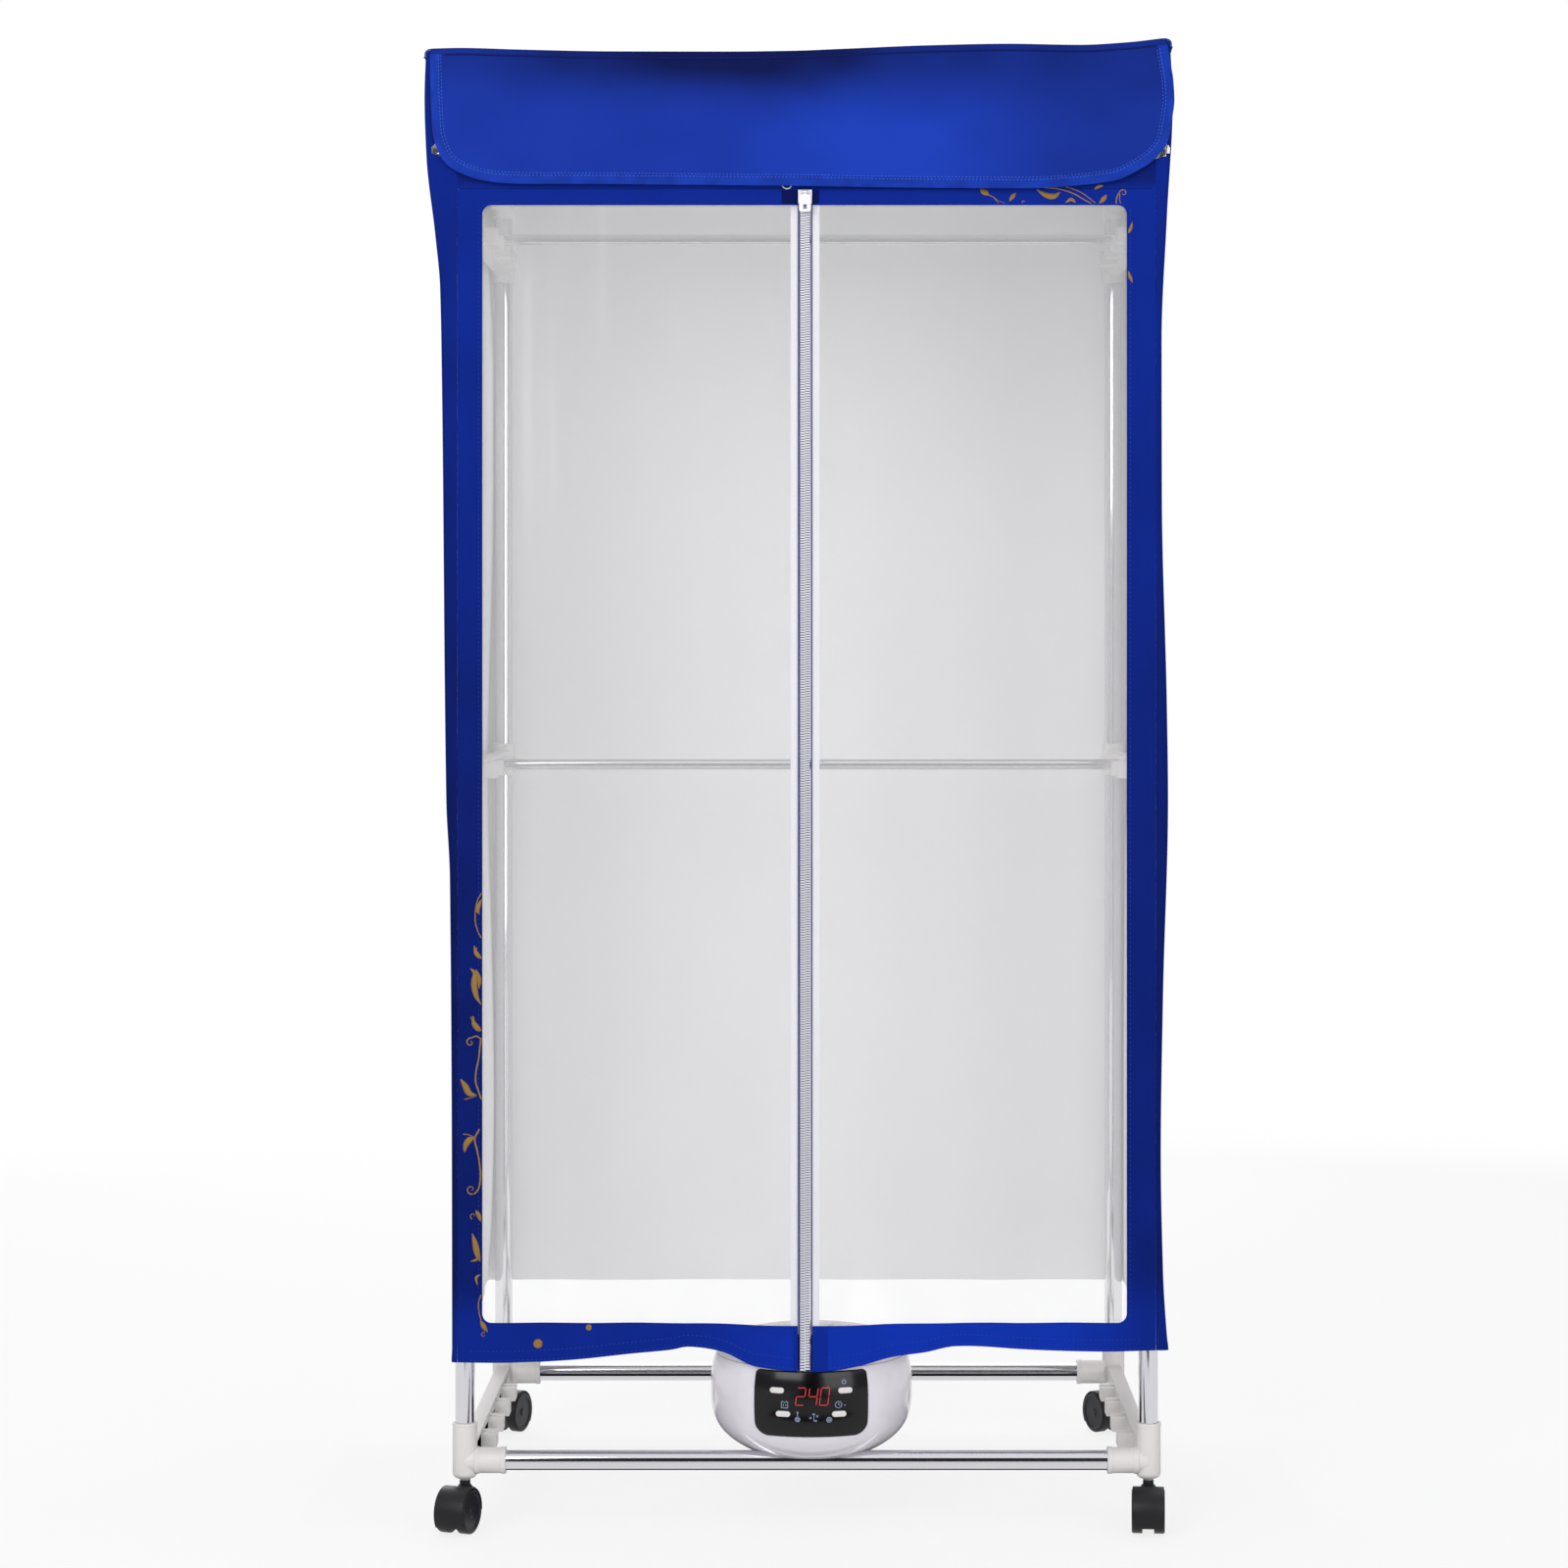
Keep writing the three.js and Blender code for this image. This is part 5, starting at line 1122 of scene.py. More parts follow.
def frontDepth(x, level):
    # the front cloth's plane, pushed out over the heater by exp(-(x / width)^2) exp(-height / pushHeight),
    # with ripples and folds at the hem that die off upwards by exp(-height / their own height)
    above = np.maximum(level - hemLine(x), 0)
    heaterPush = (drape["push"] * np.exp(-(((x - heater["x"]) / drape["pushWidth"]) ** 2))
                  * np.exp(-np.maximum(level - cover["hem"], 0) / drape["pushHeight"]))
    rippled = wave(drape["ripples"], x / cover["hinge"])
    ripples = drape["ripple"] * rippled * np.exp(-above / drape["rippleHeight"])
    creases = drape["crease"] * softNoise(x / 46 + 9, level / 90, 5)
    creases = creases + drape["fine"] * softNoise(x / 17, level / 40 + 3, 6)
    fine = creases * np.exp(-above / drape["creaseHeight"])
    rolled = 0.6 + 0.4 * softNoise(x / 70, 0.5 + 0 * x, 8)
    roll = drape["roll"] * np.exp(-above / drape["rollHeight"]) * rolled
    taut = drape["taut"] * softNoise(x / 12, level / 130, 7)
    fade = 1 - smooth((level - cover["pushFade"]) / cover["pushFadeHeight"])
    pushed = (heaterPush + ripples) * fade
    creased = np.maximum(fine, -drape["sink"]) + roll + taut * above / (above + drape["tautHeight"])
    return cover["front"] - pushed - creased * offHinge(x, drape["hingeSpread"])


def onFront(x, level, stand):
    # a place that stands out from the front cloth
    x, level = np.broadcast_arrays(np.asarray(x, float), np.asarray(level, float))
    return np.stack([x, frontDepth(x, level) - stand, level], -1)


def frontPaintedShadeAndMottle(x, level):
    # painted shade, darker down the strips beside the clear sheets and lighter to the top; painted light,
    # lightest at the hem over the heater; with a little random mottle
    paintedShadeShares = {"left": 0.78, "right": 0.66, "top": 0.36, "hemLeft": 0.4, "hemRight": 0.45}
    low = np.where(x < 0, paintedShadeShares["left"], paintedShadeShares["right"])
    strip = mix(low, paintedShadeShares["top"], smooth((level - 500) / 900))
    foot = paintedShadeShares["hemLeft"] * (1 - smooth((x + 120) / 160)) + paintedShadeShares["hemRight"] * smooth((x - 240) / 90)
    rise = smooth((level - hemLine(x) - 22) / 60)
    return np.clip(mix(foot, strip, rise) + 0.05 * softNoise(x / 30, level / 45, 66), 0, 1)


def addSides():
    # each side is one sheet from its turned front edge round to the back; kinds number the sheet's stretches:
    # 0 front, 1 front corner, 2 side, 3 back corner, 4 back
    fold = {"rest": 24, "blend": 40, "crease": 1.4, "fine": 0.7, "rodHalf": 9, "rodBlend": 3,
            "seamLevel": 1301}
    deep = cover["back"] - cover["front"]
    for name, side in (("left", -1), ("right", 1)):
        share = np.concatenate([[0, 0.003, 0.008], np.linspace(0.012, 1, 230)])[:, None]
        r = cover["corner"]
        front = np.linspace(0, 1, 9)[:-1]
        arc = np.linspace(0, 90, 7)
        depth = np.linspace(0, 1, 90)[1:-1]
        kinds = np.concatenate([np.zeros(len(front)), np.ones(len(arc)), np.full(len(depth), 2),
                                np.full(len(arc), 3), np.full(3, 4)])
        local = np.concatenate([front, arc / 90, depth, arc / 90, [0.35, 0.7, 1.0]])
        back = np.where(kinds < 2, 0, np.where(kinds == 2, local, 1))[None, :]
        inside = np.where(kinds == 2, local, np.where(kinds < 2, 0, 1))[None, :]
        foot = mix(hemLine(np.full(back.shape, side * cover["half"])), cover["backHem"], back)
        edgeTop = edgeAt(side, cover["top"], back)
        level = mix(foot, topAt(side * edgeTop, back) - 2.0, share)
        stay = (smooth((inside * deep - fold["rest"]) / fold["blend"])
                * smooth(((1 - inside) * deep - fold["rest"]) / fold["blend"]))
        folds = cover["draw"] * wave(1, inside) + cover["fold"] * wave(2, inside) * foldFade(level)
        crease = (fold["crease"] * softNoise(inside * 9 + 2, level / 190 + side, 21)
                  + fold["fine"] * softNoise(inside * 26, level / 70 + 5, 22))
        edge = edgeAt(side, level, back)
        x = edge - (folds - crease) * stay
        rodGap = smooth((fold["rodHalf"] - np.abs(level - topRodLevel)) / fold["rodBlend"])
        lap = mix(cover["lap"], cover["rodLapLeft"] if side < 0 else cover["rodLapRight"], rodGap)
        start = np.where(level > cover["bandTop"], edge - lap,
                         cover["hinge"] + np.where(level > fold["seamLevel"], 0.02, 0.2))
        ang = np.radians(local * 90)[None, :]
        flat = kinds[None, :]
        across = np.select([flat == 0, flat == 1, flat == 2, flat == 3],
                           [mix(start, edge - r, local[None, :]), edge - r + r * np.sin(ang), x,
                            edge - r + r * np.cos(ang)], edge - r - 9 * local[None, :])
        y = np.select([flat == 0, flat == 1, flat == 2, flat == 3],
                      [cover["front"] - 0.5 * np.sin(np.pi * local[None, :]) * smooth((edge - start) / 20)
                       * (level < cover["bandTop"]),
                       cover["front"] + r - r * np.cos(ang),
                       mix(cover["front"] + r, cover["back"] - r, local[None, :]),
                       cover["back"] - r + r * np.sin(ang)], cover["back"])
        points = np.stack(np.broadcast_arrays(side * across, y, level), -1)
        hemTurn = 0.5 * np.exp(-((level - foot) / 9) ** 4)
        corner = np.exp(-(((y - cover["front"]) / 7) ** 2))
        # painted shade: darker in the hollows of creases and folds; near the front corner the front's painted
        # shade, a little darker
        tone = np.clip(mix(0.34 - 0.1 * crease + 0.035 * folds, frontPaintedShadeAndMottle(side * across, level) + 0.12,
                           corner), 0, 1)
        points[:, :, 0] += side * hemTurn * (flat >= 1) * (flat <= 3)
        cloth = clothOf(points, cover["thick"], tone)
        piece = addPiece(f"cover_side_{name}_cloth", [cloth], [finishes["clothFront"], finishes["lining"]],
                         "frame", [f"cover_side_{name}"], sharp=clothSharp)


def addBack():
    # one sheet with five upright folds and slow creases that die out at its two sides
    sheet = {"folds": 5, "beside": 4, "topRough": 3, "below": 2.2, "crease": 1.6, "fine": 0.7, "sink": 0.6,
             "stand": 0.4, "hemTurn": 0.5, "hemHeight": 9}
    share = np.linspace(0, 1, 230)[:, None]
    u = np.linspace(-1, 1, 150)[None, :]
    level = mix(cover["backHem"], cover["top"] - sheet["topRough"], share)
    half = np.where(u < 0, edgeAt(-1, level, 1), edgeAt(1, level, 1)) - cover["corner"] - sheet["beside"]
    x = half * u
    level = mix(cover["backHem"], topAt(x, 1) - sheet["below"], share)
    ends = 1 - np.abs(u) ** 12
    fold = cover["backFold"] * wave(sheet["folds"], (u + 1) / 2) * foldFade(level)
    crease = (sheet["crease"] * softNoise(x / 80 + 3, level / 170, 31)
              + sheet["fine"] * softNoise(x / 28, level / 80, 32))
    hemTurn = sheet["hemTurn"] * np.exp(-(((level - cover["backHem"]) / sheet["hemHeight"]) ** 4))
    y = cover["back"] + sheet["stand"] + (fold + np.maximum(crease, -sheet["sink"] - fold)) * ends + hemTurn
    points = np.stack(np.broadcast_arrays(x, y, level), -1)
    # painted shade: darker in the hollows of the creases and folds
    cloth = clothOf(points, cover["thick"],
                    np.clip(0.4 - 0.09 * crease - 0.04 * fold, 0, 1) + 0 * points[..., 0])
    piece = addPiece("cover_back_cloth", [cloth], [finishes["clothFront"], finishes["lining"]], "frame",
                     ["cover_back"], sharp=clothSharp)


def addTop():
    # one sheet that sags between its edges and rolls over them; a piping runs round its rim
    roll = {"radius": 5.0, "drop": 3.0, "piping": 0.9, "pastSide": 0.8, "pastBack": 1.2, "pastFront": 0.3,
            "below": 0.2, "crease": 0.9}
    r = roll["radius"]
    ang = np.radians(np.linspace(90, 0, 7))
    inner = np.linspace(-1, 1, 121)[1:-1]
    u = np.concatenate([np.full(8, -1), inner, np.full(8, 1)])
    bend = np.concatenate([[90], np.degrees(ang), np.zeros(len(inner)), np.degrees(ang[::-1]), [90]])
    low = np.concatenate([[roll["drop"]], np.zeros(len(u) - 2), [roll["drop"]]])
    v = np.concatenate([np.linspace(0, 1, 81)[:-1], np.full(8, 1)])
    bendV = np.concatenate([np.zeros(80), np.degrees(ang[::-1]), [90]])
    lowV = np.concatenate([np.zeros(87), [roll["drop"]]])
    back = v[:, None]
    edge = np.where(u < 0, edgeAt(-1, cover["top"], back), edgeAt(1, cover["top"], back))
    sx = np.sign(u)[None, :]
    reach = np.sin(np.radians(bend))[None, :] * r
    side, rear = edge + roll["pastSide"] - r, cover["back"] + roll["pastBack"] - r
    x = np.where(bend[None, :] > 0, sx * (side + reach), u[None, :] * side)
    y = np.where(bendV[:, None] > 0, rear + np.sin(np.radians(bendV))[:, None] * r,
                 mix(cover["front"] - roll["pastFront"], rear, back))
    sideFall, backFall = r * (1 - np.cos(np.radians(bend))), r * (1 - np.cos(np.radians(bendV)))
    fall = sideFall[None, :] + low[None, :] + backFall[:, None] + lowV[:, None]
    sag = cover["sag"] * ((1 - u[None, :] ** 2) * (1 - (2 * back - 1) ** 2)) ** 2
    crease = roll["crease"] * softNoise(x / 90, y / 70, 41) * (1 - u[None, :] ** 6) * np.sin(np.pi * back)
    z = topAt(x, back) - sag - fall + crease - roll["below"]
    points = np.stack(np.broadcast_arrays(x, y, z), -1)
    cloth = clothOf(points, cover["thick"], np.full(points.shape[:2], 0.3))
    rim = np.concatenate([points[:, 0], points[-1, 1:-1], points[::-1, -1]])
    along = np.concatenate([[0], np.cumsum(np.linalg.norm(np.diff(rim, axis=0), axis=1))])
    even = np.linspace(0, along[-1], 360)
    rim = np.stack([np.interp(even, along, rim[:, k]) for k in range(3)], -1)
    piping = swept(rim + [0, 0, -0.2], roll["piping"], 8)
    piece = addPiece("cover_top_cloth", [cloth], [finishes["clothFront"], finishes["lining"]], "frame",
                     ["cover_top"], sharp=clothSharp)
    edging = addPiece("cover_top_piping", [piping], [finishes["binding"]], "frame", ())


def addBand():
    # a strip across the front whose lower part steps back, behind the head of the front halves
    band = {"low": 1290, "step": 1300, "stepHeight": 0.8, "lowHalf": 320, "setBack": 4}
    levels = np.concatenate([np.linspace(band["low"], band["step"], 5), np.linspace(1300.2, 1300.8, 4),
                             np.linspace(1301.6, cover["bandTop"], 9)])[:, None]
    u = np.linspace(-1, 1, 140)[None, :]
    step = smooth((levels - band["step"]) / band["stepHeight"])
    x = mix(band["lowHalf"], cover["hinge"], step) * u
    y = cover["front"] + band["setBack"] * (1 - step) - 0.2 * softNoise(x / 30, levels / 20, 51)
    points = np.stack(np.broadcast_arrays(x, y, levels), -1)
    # painted shade: the band darkens upwards, under the flap
    tone = np.broadcast_to(0.4 + 0.3 * smooth((levels - 1298) / 14), points.shape[:2])
    piece = addPiece("cover_band_cloth", [clothOf(points, cover["thick"], tone)],
                     [finishes["clothFront"], finishes["lining"]],
                     "frame", ["cover_front_band"], sharp=clothSharp)


flap = {"lean": 5, "fold": 1.5, "stand": 0.6, "thick": 1.2, "low": 1304, "left": -361.2, "right": 351.2,
        "crease": 1.0, "fine": 0.35, "rollBack": 1.2, "rollHeight": 5, "slack": 0.5, "endFade": 60,
        "binding": 8.6, "bindingLeft": (1431, 1363), "bindingRight": (1363, 1440), "underShare": 0.66,
        "underInset": 0.25, "piping": 6.5, "pipingFrom": -350, "pipingTo": 338, "pipingRadius": 0.8,
        "pipingStand": 0.7}
flapOutline = curveThrough([
    (-361.2, 1362), (-359.8, 1351), (-357.1, 1341.6), (-351, 1328.9), (-341.9, 1320.4), (-328.7, 1313.7),
    (-313, 1309), (-286.3, 1306), (-240, 1305.5), (-188.5, 1305.3), (-100, 1304.6), (0, 1303.4), (100, 1302),
    (196, 1301.1), (230, 1301.6), (256.4, 1303.4), (281, 1306.2), (302.1, 1310.1), (321.5, 1319.7),
    (331, 1325.6), (338.5, 1332.4), (346.3, 1342.2), (349.7, 1352), (351.2, 1362)], 900)
flapLeftEdge = [[1362, 0], [1395, -1.6], [1430, -2.4], [1440, -2.5]]
flapRightEdge = [[1362, 0], [1374, 2.2], [1386, 3.5], [1405, 2.6], [1425, -0.6], [1440, -2.6], [1448, -3]]


def flapShift(x, level):
    # how far the flap's two ends lean sideways, fading inwards as (1 - distance / endFade)^2
    left = runAt(flapLeftEdge, level) * np.clip(1 - (x - flap["left"]) / flap["endFade"], 0, 1) ** 2
    return left + runAt(flapRightEdge, level) * np.clip(1 - (flap["right"] - x) / flap["endFade"], 0, 1) ** 2


def flapDepth(x, level):
    # the flap's middle face: it leans out and its three soft folds grow downwards
    down = np.clip((topLine(x) - level) / (topLine(x) - flap["low"]), 0, 1.03)
    across = (x - flap["left"]) / (flap["right"] - flap["left"])
    out = flap["lean"] * down + flap["fold"] * wave(3, across) * down
    soft = (flap["crease"] * softNoise(x / 75, level / 60, 61) * down
            + flap["fine"] * softNoise(x / 24, level / 30, 62) * down)
    rollBack = flap["rollBack"] * np.exp(-(topLine(x) - level) / flap["rollHeight"])
    return (cover["front"] - flap["stand"] - out - soft - flap["thick"] / 2 - flap["slack"] * down
            + rollBack)


def addFlap():
    # columns crowd at the round ends by a quarter of a cosine wave and keep even steps between
    evenHalf, endColumns = 250, 75
    ease = 0.5 - 0.5 * np.cos(np.pi * np.linspace(0, 1, 2 * endColumns))
    ease = ease[:endColumns] / ease[endColumns - 1]
    x = np.concatenate([mix(flap["left"], -evenHalf, ease), np.linspace(-evenHalf, evenHalf, 130)[1:-1],
                        mix(evenHalf, flap["right"], 1 - ease[::-1])])
    x = np.sort(x)[None, :]
    low = np.interp(x, flapOutline[:, 0], flapOutline[:, 1]) + 0.3
    v = np.concatenate([np.linspace(0, 0.9, 60)[:-1], np.linspace(0.9, 1, 16)])[:, None]
    level = mix(low, topLine(x), v)
    points = np.stack(np.broadcast_arrays(x + flapShift(x, level), flapDepth(x, level) - flap["thick"] / 2,
                                          level), -1)
    # painted shade under the top edge, deepest left of the middle; painted light on the lower middle;
    # painted shade darker towards the right end
    below = topLine(x) - level
    deep = 0.1 + 0.7 * np.exp(-(((x + 80) / 200) ** 2))
    tone = 0.3 + 0.2 * smooth((x - 40) / 230) + deep * np.exp(-((below / 38) ** 2.5))
    paintedLightPatch = 0.38 * np.exp(-(((x - 95) / 115) ** 2)) * smooth((below - 30) / 60)
    tone = tone - paintedLightPatch + 0.06 * softNoise(x / 40, level / 25, 65)
    cloth = clothOf(points, flap["thick"], np.clip(tone, 0, 1))
    piece = addPiece("cover_flap_cloth", [cloth], [finishes["cloth"], finishes["lining"]], "flap",
                     ["cover_flap"], sharp=clothSharp)

    leftLevels, rightLevels = (np.linspace(*flap[key], 60) for key in ("bindingLeft", "bindingRight"))
    path = np.concatenate([
        np.stack([flap["left"] + runAt(flapLeftEdge, leftLevels), leftLevels], -1), flapOutline[3:-3],
        np.stack([flap["right"] + runAt(flapRightEdge, rightLevels), rightLevels], -1)])
    path = dense(path, 2.0)
    along = np.gradient(path, axis=0)
    along /= np.linalg.norm(along, axis=1, keepdims=True)
    inward = np.stack([-along[:, 1], along[:, 0]], -1)
    width = flap["binding"]
    section = rounded([[width, 0.8], [width - 0.4, 1.15], [0.9, 1.25], [-0.9, 0.9], [-1.1, 0], [-0.9, -0.9],
                       [0.9, -1.15], [width - 3, -1.05], [width - 2.6, -0.75]], 0.35, 3)
    under = section * [1, flap["underShare"]] + [flap["underInset"], 0]

    def carried(one):
        # the section's first number runs inwards from the edge, its second stands out of the cloth
        flat = path[:, None] + inward[:, None] * one[None, :, :1]
        pucker = 0.16 * softNoise(np.arange(len(path))[:, None] / 2.1, one[None, :, 0] / 3, 63)
        y = flapDepth(flat[..., 0], flat[..., 1]) - one[None, :, 1] - pucker * np.sign(one[None, :, 1])
        return np.stack([flat[..., 0], y, flat[..., 1]], -1)

    outer = carried(section)
    across = np.broadcast_to(section[None, :, 0], outer.shape[:2]) * metresPerMm
    mottled = 0.12 + 0.3 * softNoise(np.arange(len(path))[:, None] / 5, section[None, :, 0] / 4, 64)
    binding = thickSheet(outer, carried(under), (0, 0, 0), np.stack([across, lengths(outer, 0)], -1), mottled)
    edging = addPiece("flap_binding", [binding], [finishes["binding"]], "flap", (),
                      sharp=clothSharp)

    def stitched(inset, stand, pitch, length):
        # a row of stitches that follows the edge at an inset
        line = path + inward * inset
        line = dense(line, 0.5)
        run = np.concatenate([[0], np.cumsum(np.linalg.norm(np.diff(line, axis=0), axis=1))])
        at = np.arange(2, run[-1] - 2, pitch)
        ends = [np.stack([np.interp(at + k * length / 2, run, line[:, c]) for c in (0, 1)], -1)
                for k in (-1, 1)]
        return stitches(*[np.stack([e[:, 0], flapDepth(e[:, 0], e[:, 1]) - stand, e[:, 1]], -1)
                          for e in ends], 0.32)

    # inset, stand, pitch and length of the stitches, on the binding and beside it
    rows = [stitched(*one) for one in ((width - 1.3, 1.28, 3.6, 2.7), (width + 1.1, 0.68, 3.4, 2.6))]
    seam = addPiece("flap_stitching", rows, [finishes["paleThread"]], "flap", ())
    px = np.linspace(flap["pipingFrom"], flap["pipingTo"], 260)
    pz = topLine(px) - flap["piping"]
    run = np.stack([px, flapDepth(px, pz) - flap["pipingStand"], pz], -1)
    # the piping takes the dark edging colour, painted shade of the flap's top edge
    piping = addPiece("flap_piping", [swept(run, flap["pipingRadius"], 8)], [finishes["edging"]], "flap", ())


def stitches(starts, ends, radius):
    # each stitch is a spindle: a square section of the given radius at its middle, a point at each end
    middle = (starts + ends) / 2
    along = ends - starts
    along /= np.linalg.norm(along, axis=1, keepdims=True)
    out = np.broadcast_to([0.0, -1.0, 0.0], along.shape)
    side = np.cross(along, out)
    side /= np.linalg.norm(side, axis=1, keepdims=True)
    out = np.cross(side, along)
    ring = np.stack([middle + side * radius, middle + out * radius, middle - side * radius,
                     middle - out * radius], 1)
    points = np.concatenate([starts[:, None], ring, ends[:, None]], 1)
    k = np.arange(4)
    n = (k + 1) % 4
    one = np.concatenate([np.stack([0 * k, k + 1, n + 1, n + 1], -1),
                          np.stack([k + 1, 0 * k + 5, n + 1, n + 1], -1)])
    quads = (one[None] + 6 * np.arange(len(points))[:, None, None]).reshape(-1, 4)
    return shell(points.reshape(-1, 3), quads)


addSides()
addBack()
addTop()
addBand()
addFlap()
print("cover and flap ready")


# Front curtain: one mesh for each half, a frame of cloth about a clear sheet
curtain = {"thick": 1.2, "gap": 2.0, "chainHalf": 5.2, "zip": -1.5, "top": 1300.4, "windowLow": 203,
           "windowHigh": 1285, "windowLeft": 314, "windowRight": 310, "corner": 9, "filmSet": 1.9,
           "filmThick": 0.6, "filmLap": 8, "hemTurn": 11}


def levelsUp(low, high, count):
    # close together at the foot, where the cloth bends most: low + (high - low) t^1.7
    return low + (high - low) * np.linspace(0, 1, count) ** 1.7


def frameGrid(side):
    # rings from the window's edge out to the cloth's own edge, each an open run from the zip round to the zip
    edge = curtain["windowLeft"] if side < 0 else curtain["windowRight"]
    inner, r = curtain["zip"] + side * (curtain["chainHalf"] + curtain["gap"]), curtain["corner"]
    outer, low, high = side * cover["hinge"], curtain["windowLow"], curtain["windowHigh"]
    straight, upright, corner = np.linspace(0, 1, 60), levelsUp(0, 1, 190), np.radians(np.linspace(0, 90, 8))
    cx = side * (edge - r)
    window = np.concatenate([
        np.stack([mix(inner, cx, straight[:-1]), np.full(59, low)], -1),
        np.stack([cx + side * r * np.sin(corner), low + r - r * np.cos(corner)], -1),
        np.stack([np.full(188, side * edge), mix(low + r, high - r, upright[1:-1])], -1),
        np.stack([cx + side * r * np.cos(corner), high - r + r * np.sin(corner)], -1),
        np.stack([mix(cx, inner, straight[1:]), np.full(59, high)], -1)])
    foot = np.stack([mix(inner, outer, straight[:-1]), np.zeros(59)], -1)
    foot[:, 1] = hemLine(foot[:, 0])
    bend = np.linspace(0, 1, 8)
    hemAt, top = float(hemLine(outer)), curtain["top"]
    rim = np.concatenate([
        foot, np.stack([np.full(8, outer), mix(hemAt, hemAt + 20, bend)], -1),
        np.stack([np.full(188, outer), mix(hemAt + 20, top - 8, upright[1:-1])], -1),
        np.stack([np.full(8, outer), mix(top - 8, top, bend)], -1),
        np.stack([mix(outer, inner, straight[1:]), np.full(59, top)], -1)])
    share = np.concatenate([[0, 0.03, 0.08], np.linspace(0.14, 0.86, 12), [0.92, 0.97, 1]])[:, None, None]
    return mix(window[None], rim[None], share)


sewing = {"pitch": 4.2, "half": 1.6, "edge": 2.2, "from": 8, "to": 325, "stand": 0.05, "windowInset": 3.5,
          "windowRest": 6, "windowPitch": 4.4, "windowLength": 3}


def addCurtains():
    # each half: the frame of cloth, its clear sheet and three rows of stitches
    for name, side in (("left", -1), ("right", 1)):
        flat = frameGrid(side)
        x, level = flat[..., 0], flat[..., 1]
        points = np.stack([x, frontDepth(x, level), level], -1)
        # the cloth takes the front's painted shade and painted light
        tone = frontPaintedShadeAndMottle(x, level)
        normal = normalsOf(points)
        normal *= np.sign(-normal[..., 1:2])
        uv = np.stack([x, level], -1) * metresPerMm
        wall = curtain["thick"] * mix(0.2, 1, offHinge(x, 4))[..., None]
        cloth = thickSheet(points, points - normal * wall, (0, 1, 0), uv, tone)
        edge = (curtain["windowLeft"] if side < 0 else curtain["windowRight"]) + curtain["filmLap"]
        start = curtain["zip"] + side * (curtain["chainHalf"] + 0.4)
        fx = mix(start, side * edge, np.linspace(0, 1, 90))[None, :]
        fz = levelsUp(curtain["windowLow"] - curtain["filmLap"], curtain["windowHigh"] + curtain["filmLap"],
                      150)[:, None]
        fx, fz = np.broadcast_arrays(fx, fz)
        depth = frontDepth(fx, fz) + curtain["filmSet"]
        film = thickSheet(np.stack([fx, depth, fz], -1), np.stack([fx, depth + curtain["filmThick"], fz], -1),
                          (2, 2, 2), np.stack([fx, fz], -1) * metresPerMm)
        piece = addPiece(f"curtain_{name}_cloth", [cloth, film],
                         [finishes["clothFront"], finishes["lining"], finishes["film"]],
                         f"{name}_curtain", [f"curtain_{name}", f"window_{name}"],
                         sharp=clothSharp)
        rows = []
        for inset in (curtain["hemTurn"], sewing["edge"]):
            at = np.arange(sewing["from"], sewing["to"], sewing["pitch"]) * side + curtain["zip"]
            ends = [at + k * sewing["half"] for k in (-1, 1)]
            rows.append(stitches(*[onFront(e, hemLine(e) + inset, sewing["stand"]) for e in ends], 0.3))
        z = np.arange(curtain["windowLow"] + sewing["windowRest"],
                      curtain["windowHigh"] - sewing["windowRest"], sewing["windowPitch"])
        at = np.full(len(z), side * (edge - curtain["filmLap"] + sewing["windowInset"]))
        rows.append(stitches(*[onFront(at, z + rise, sewing["stand"])
                               for rise in (0, sewing["windowLength"])], 0.28))
        seam = addPiece(f"curtain_{name}_stitching", rows, [finishes["thread"]], f"{name}_curtain", ())


zipParts = {"x": -1.5, "half": 5.2, "tapeHalf": 14, "navyHalf": 7.4, "tapeSet": 2.8, "tapeThick": 0.8,
            "rise": 1.5, "tooth": 1.7, "pitch": 2.4, "toothNear": 0.35, "toothFar": 4.75, "toothAxis": 2.55,
            "toothBack": 0.9, "bevel": 0.5, "topHeight": 0.72, "topWidth": 0.86, "stagger": 0.4,
            "edgingRise": 0.4, "edgingLap": 0.6, "edgingGap": 0.3, "coreHalf": 0.35, "coreSet": 0.1,
            "coreShort": 0.2}


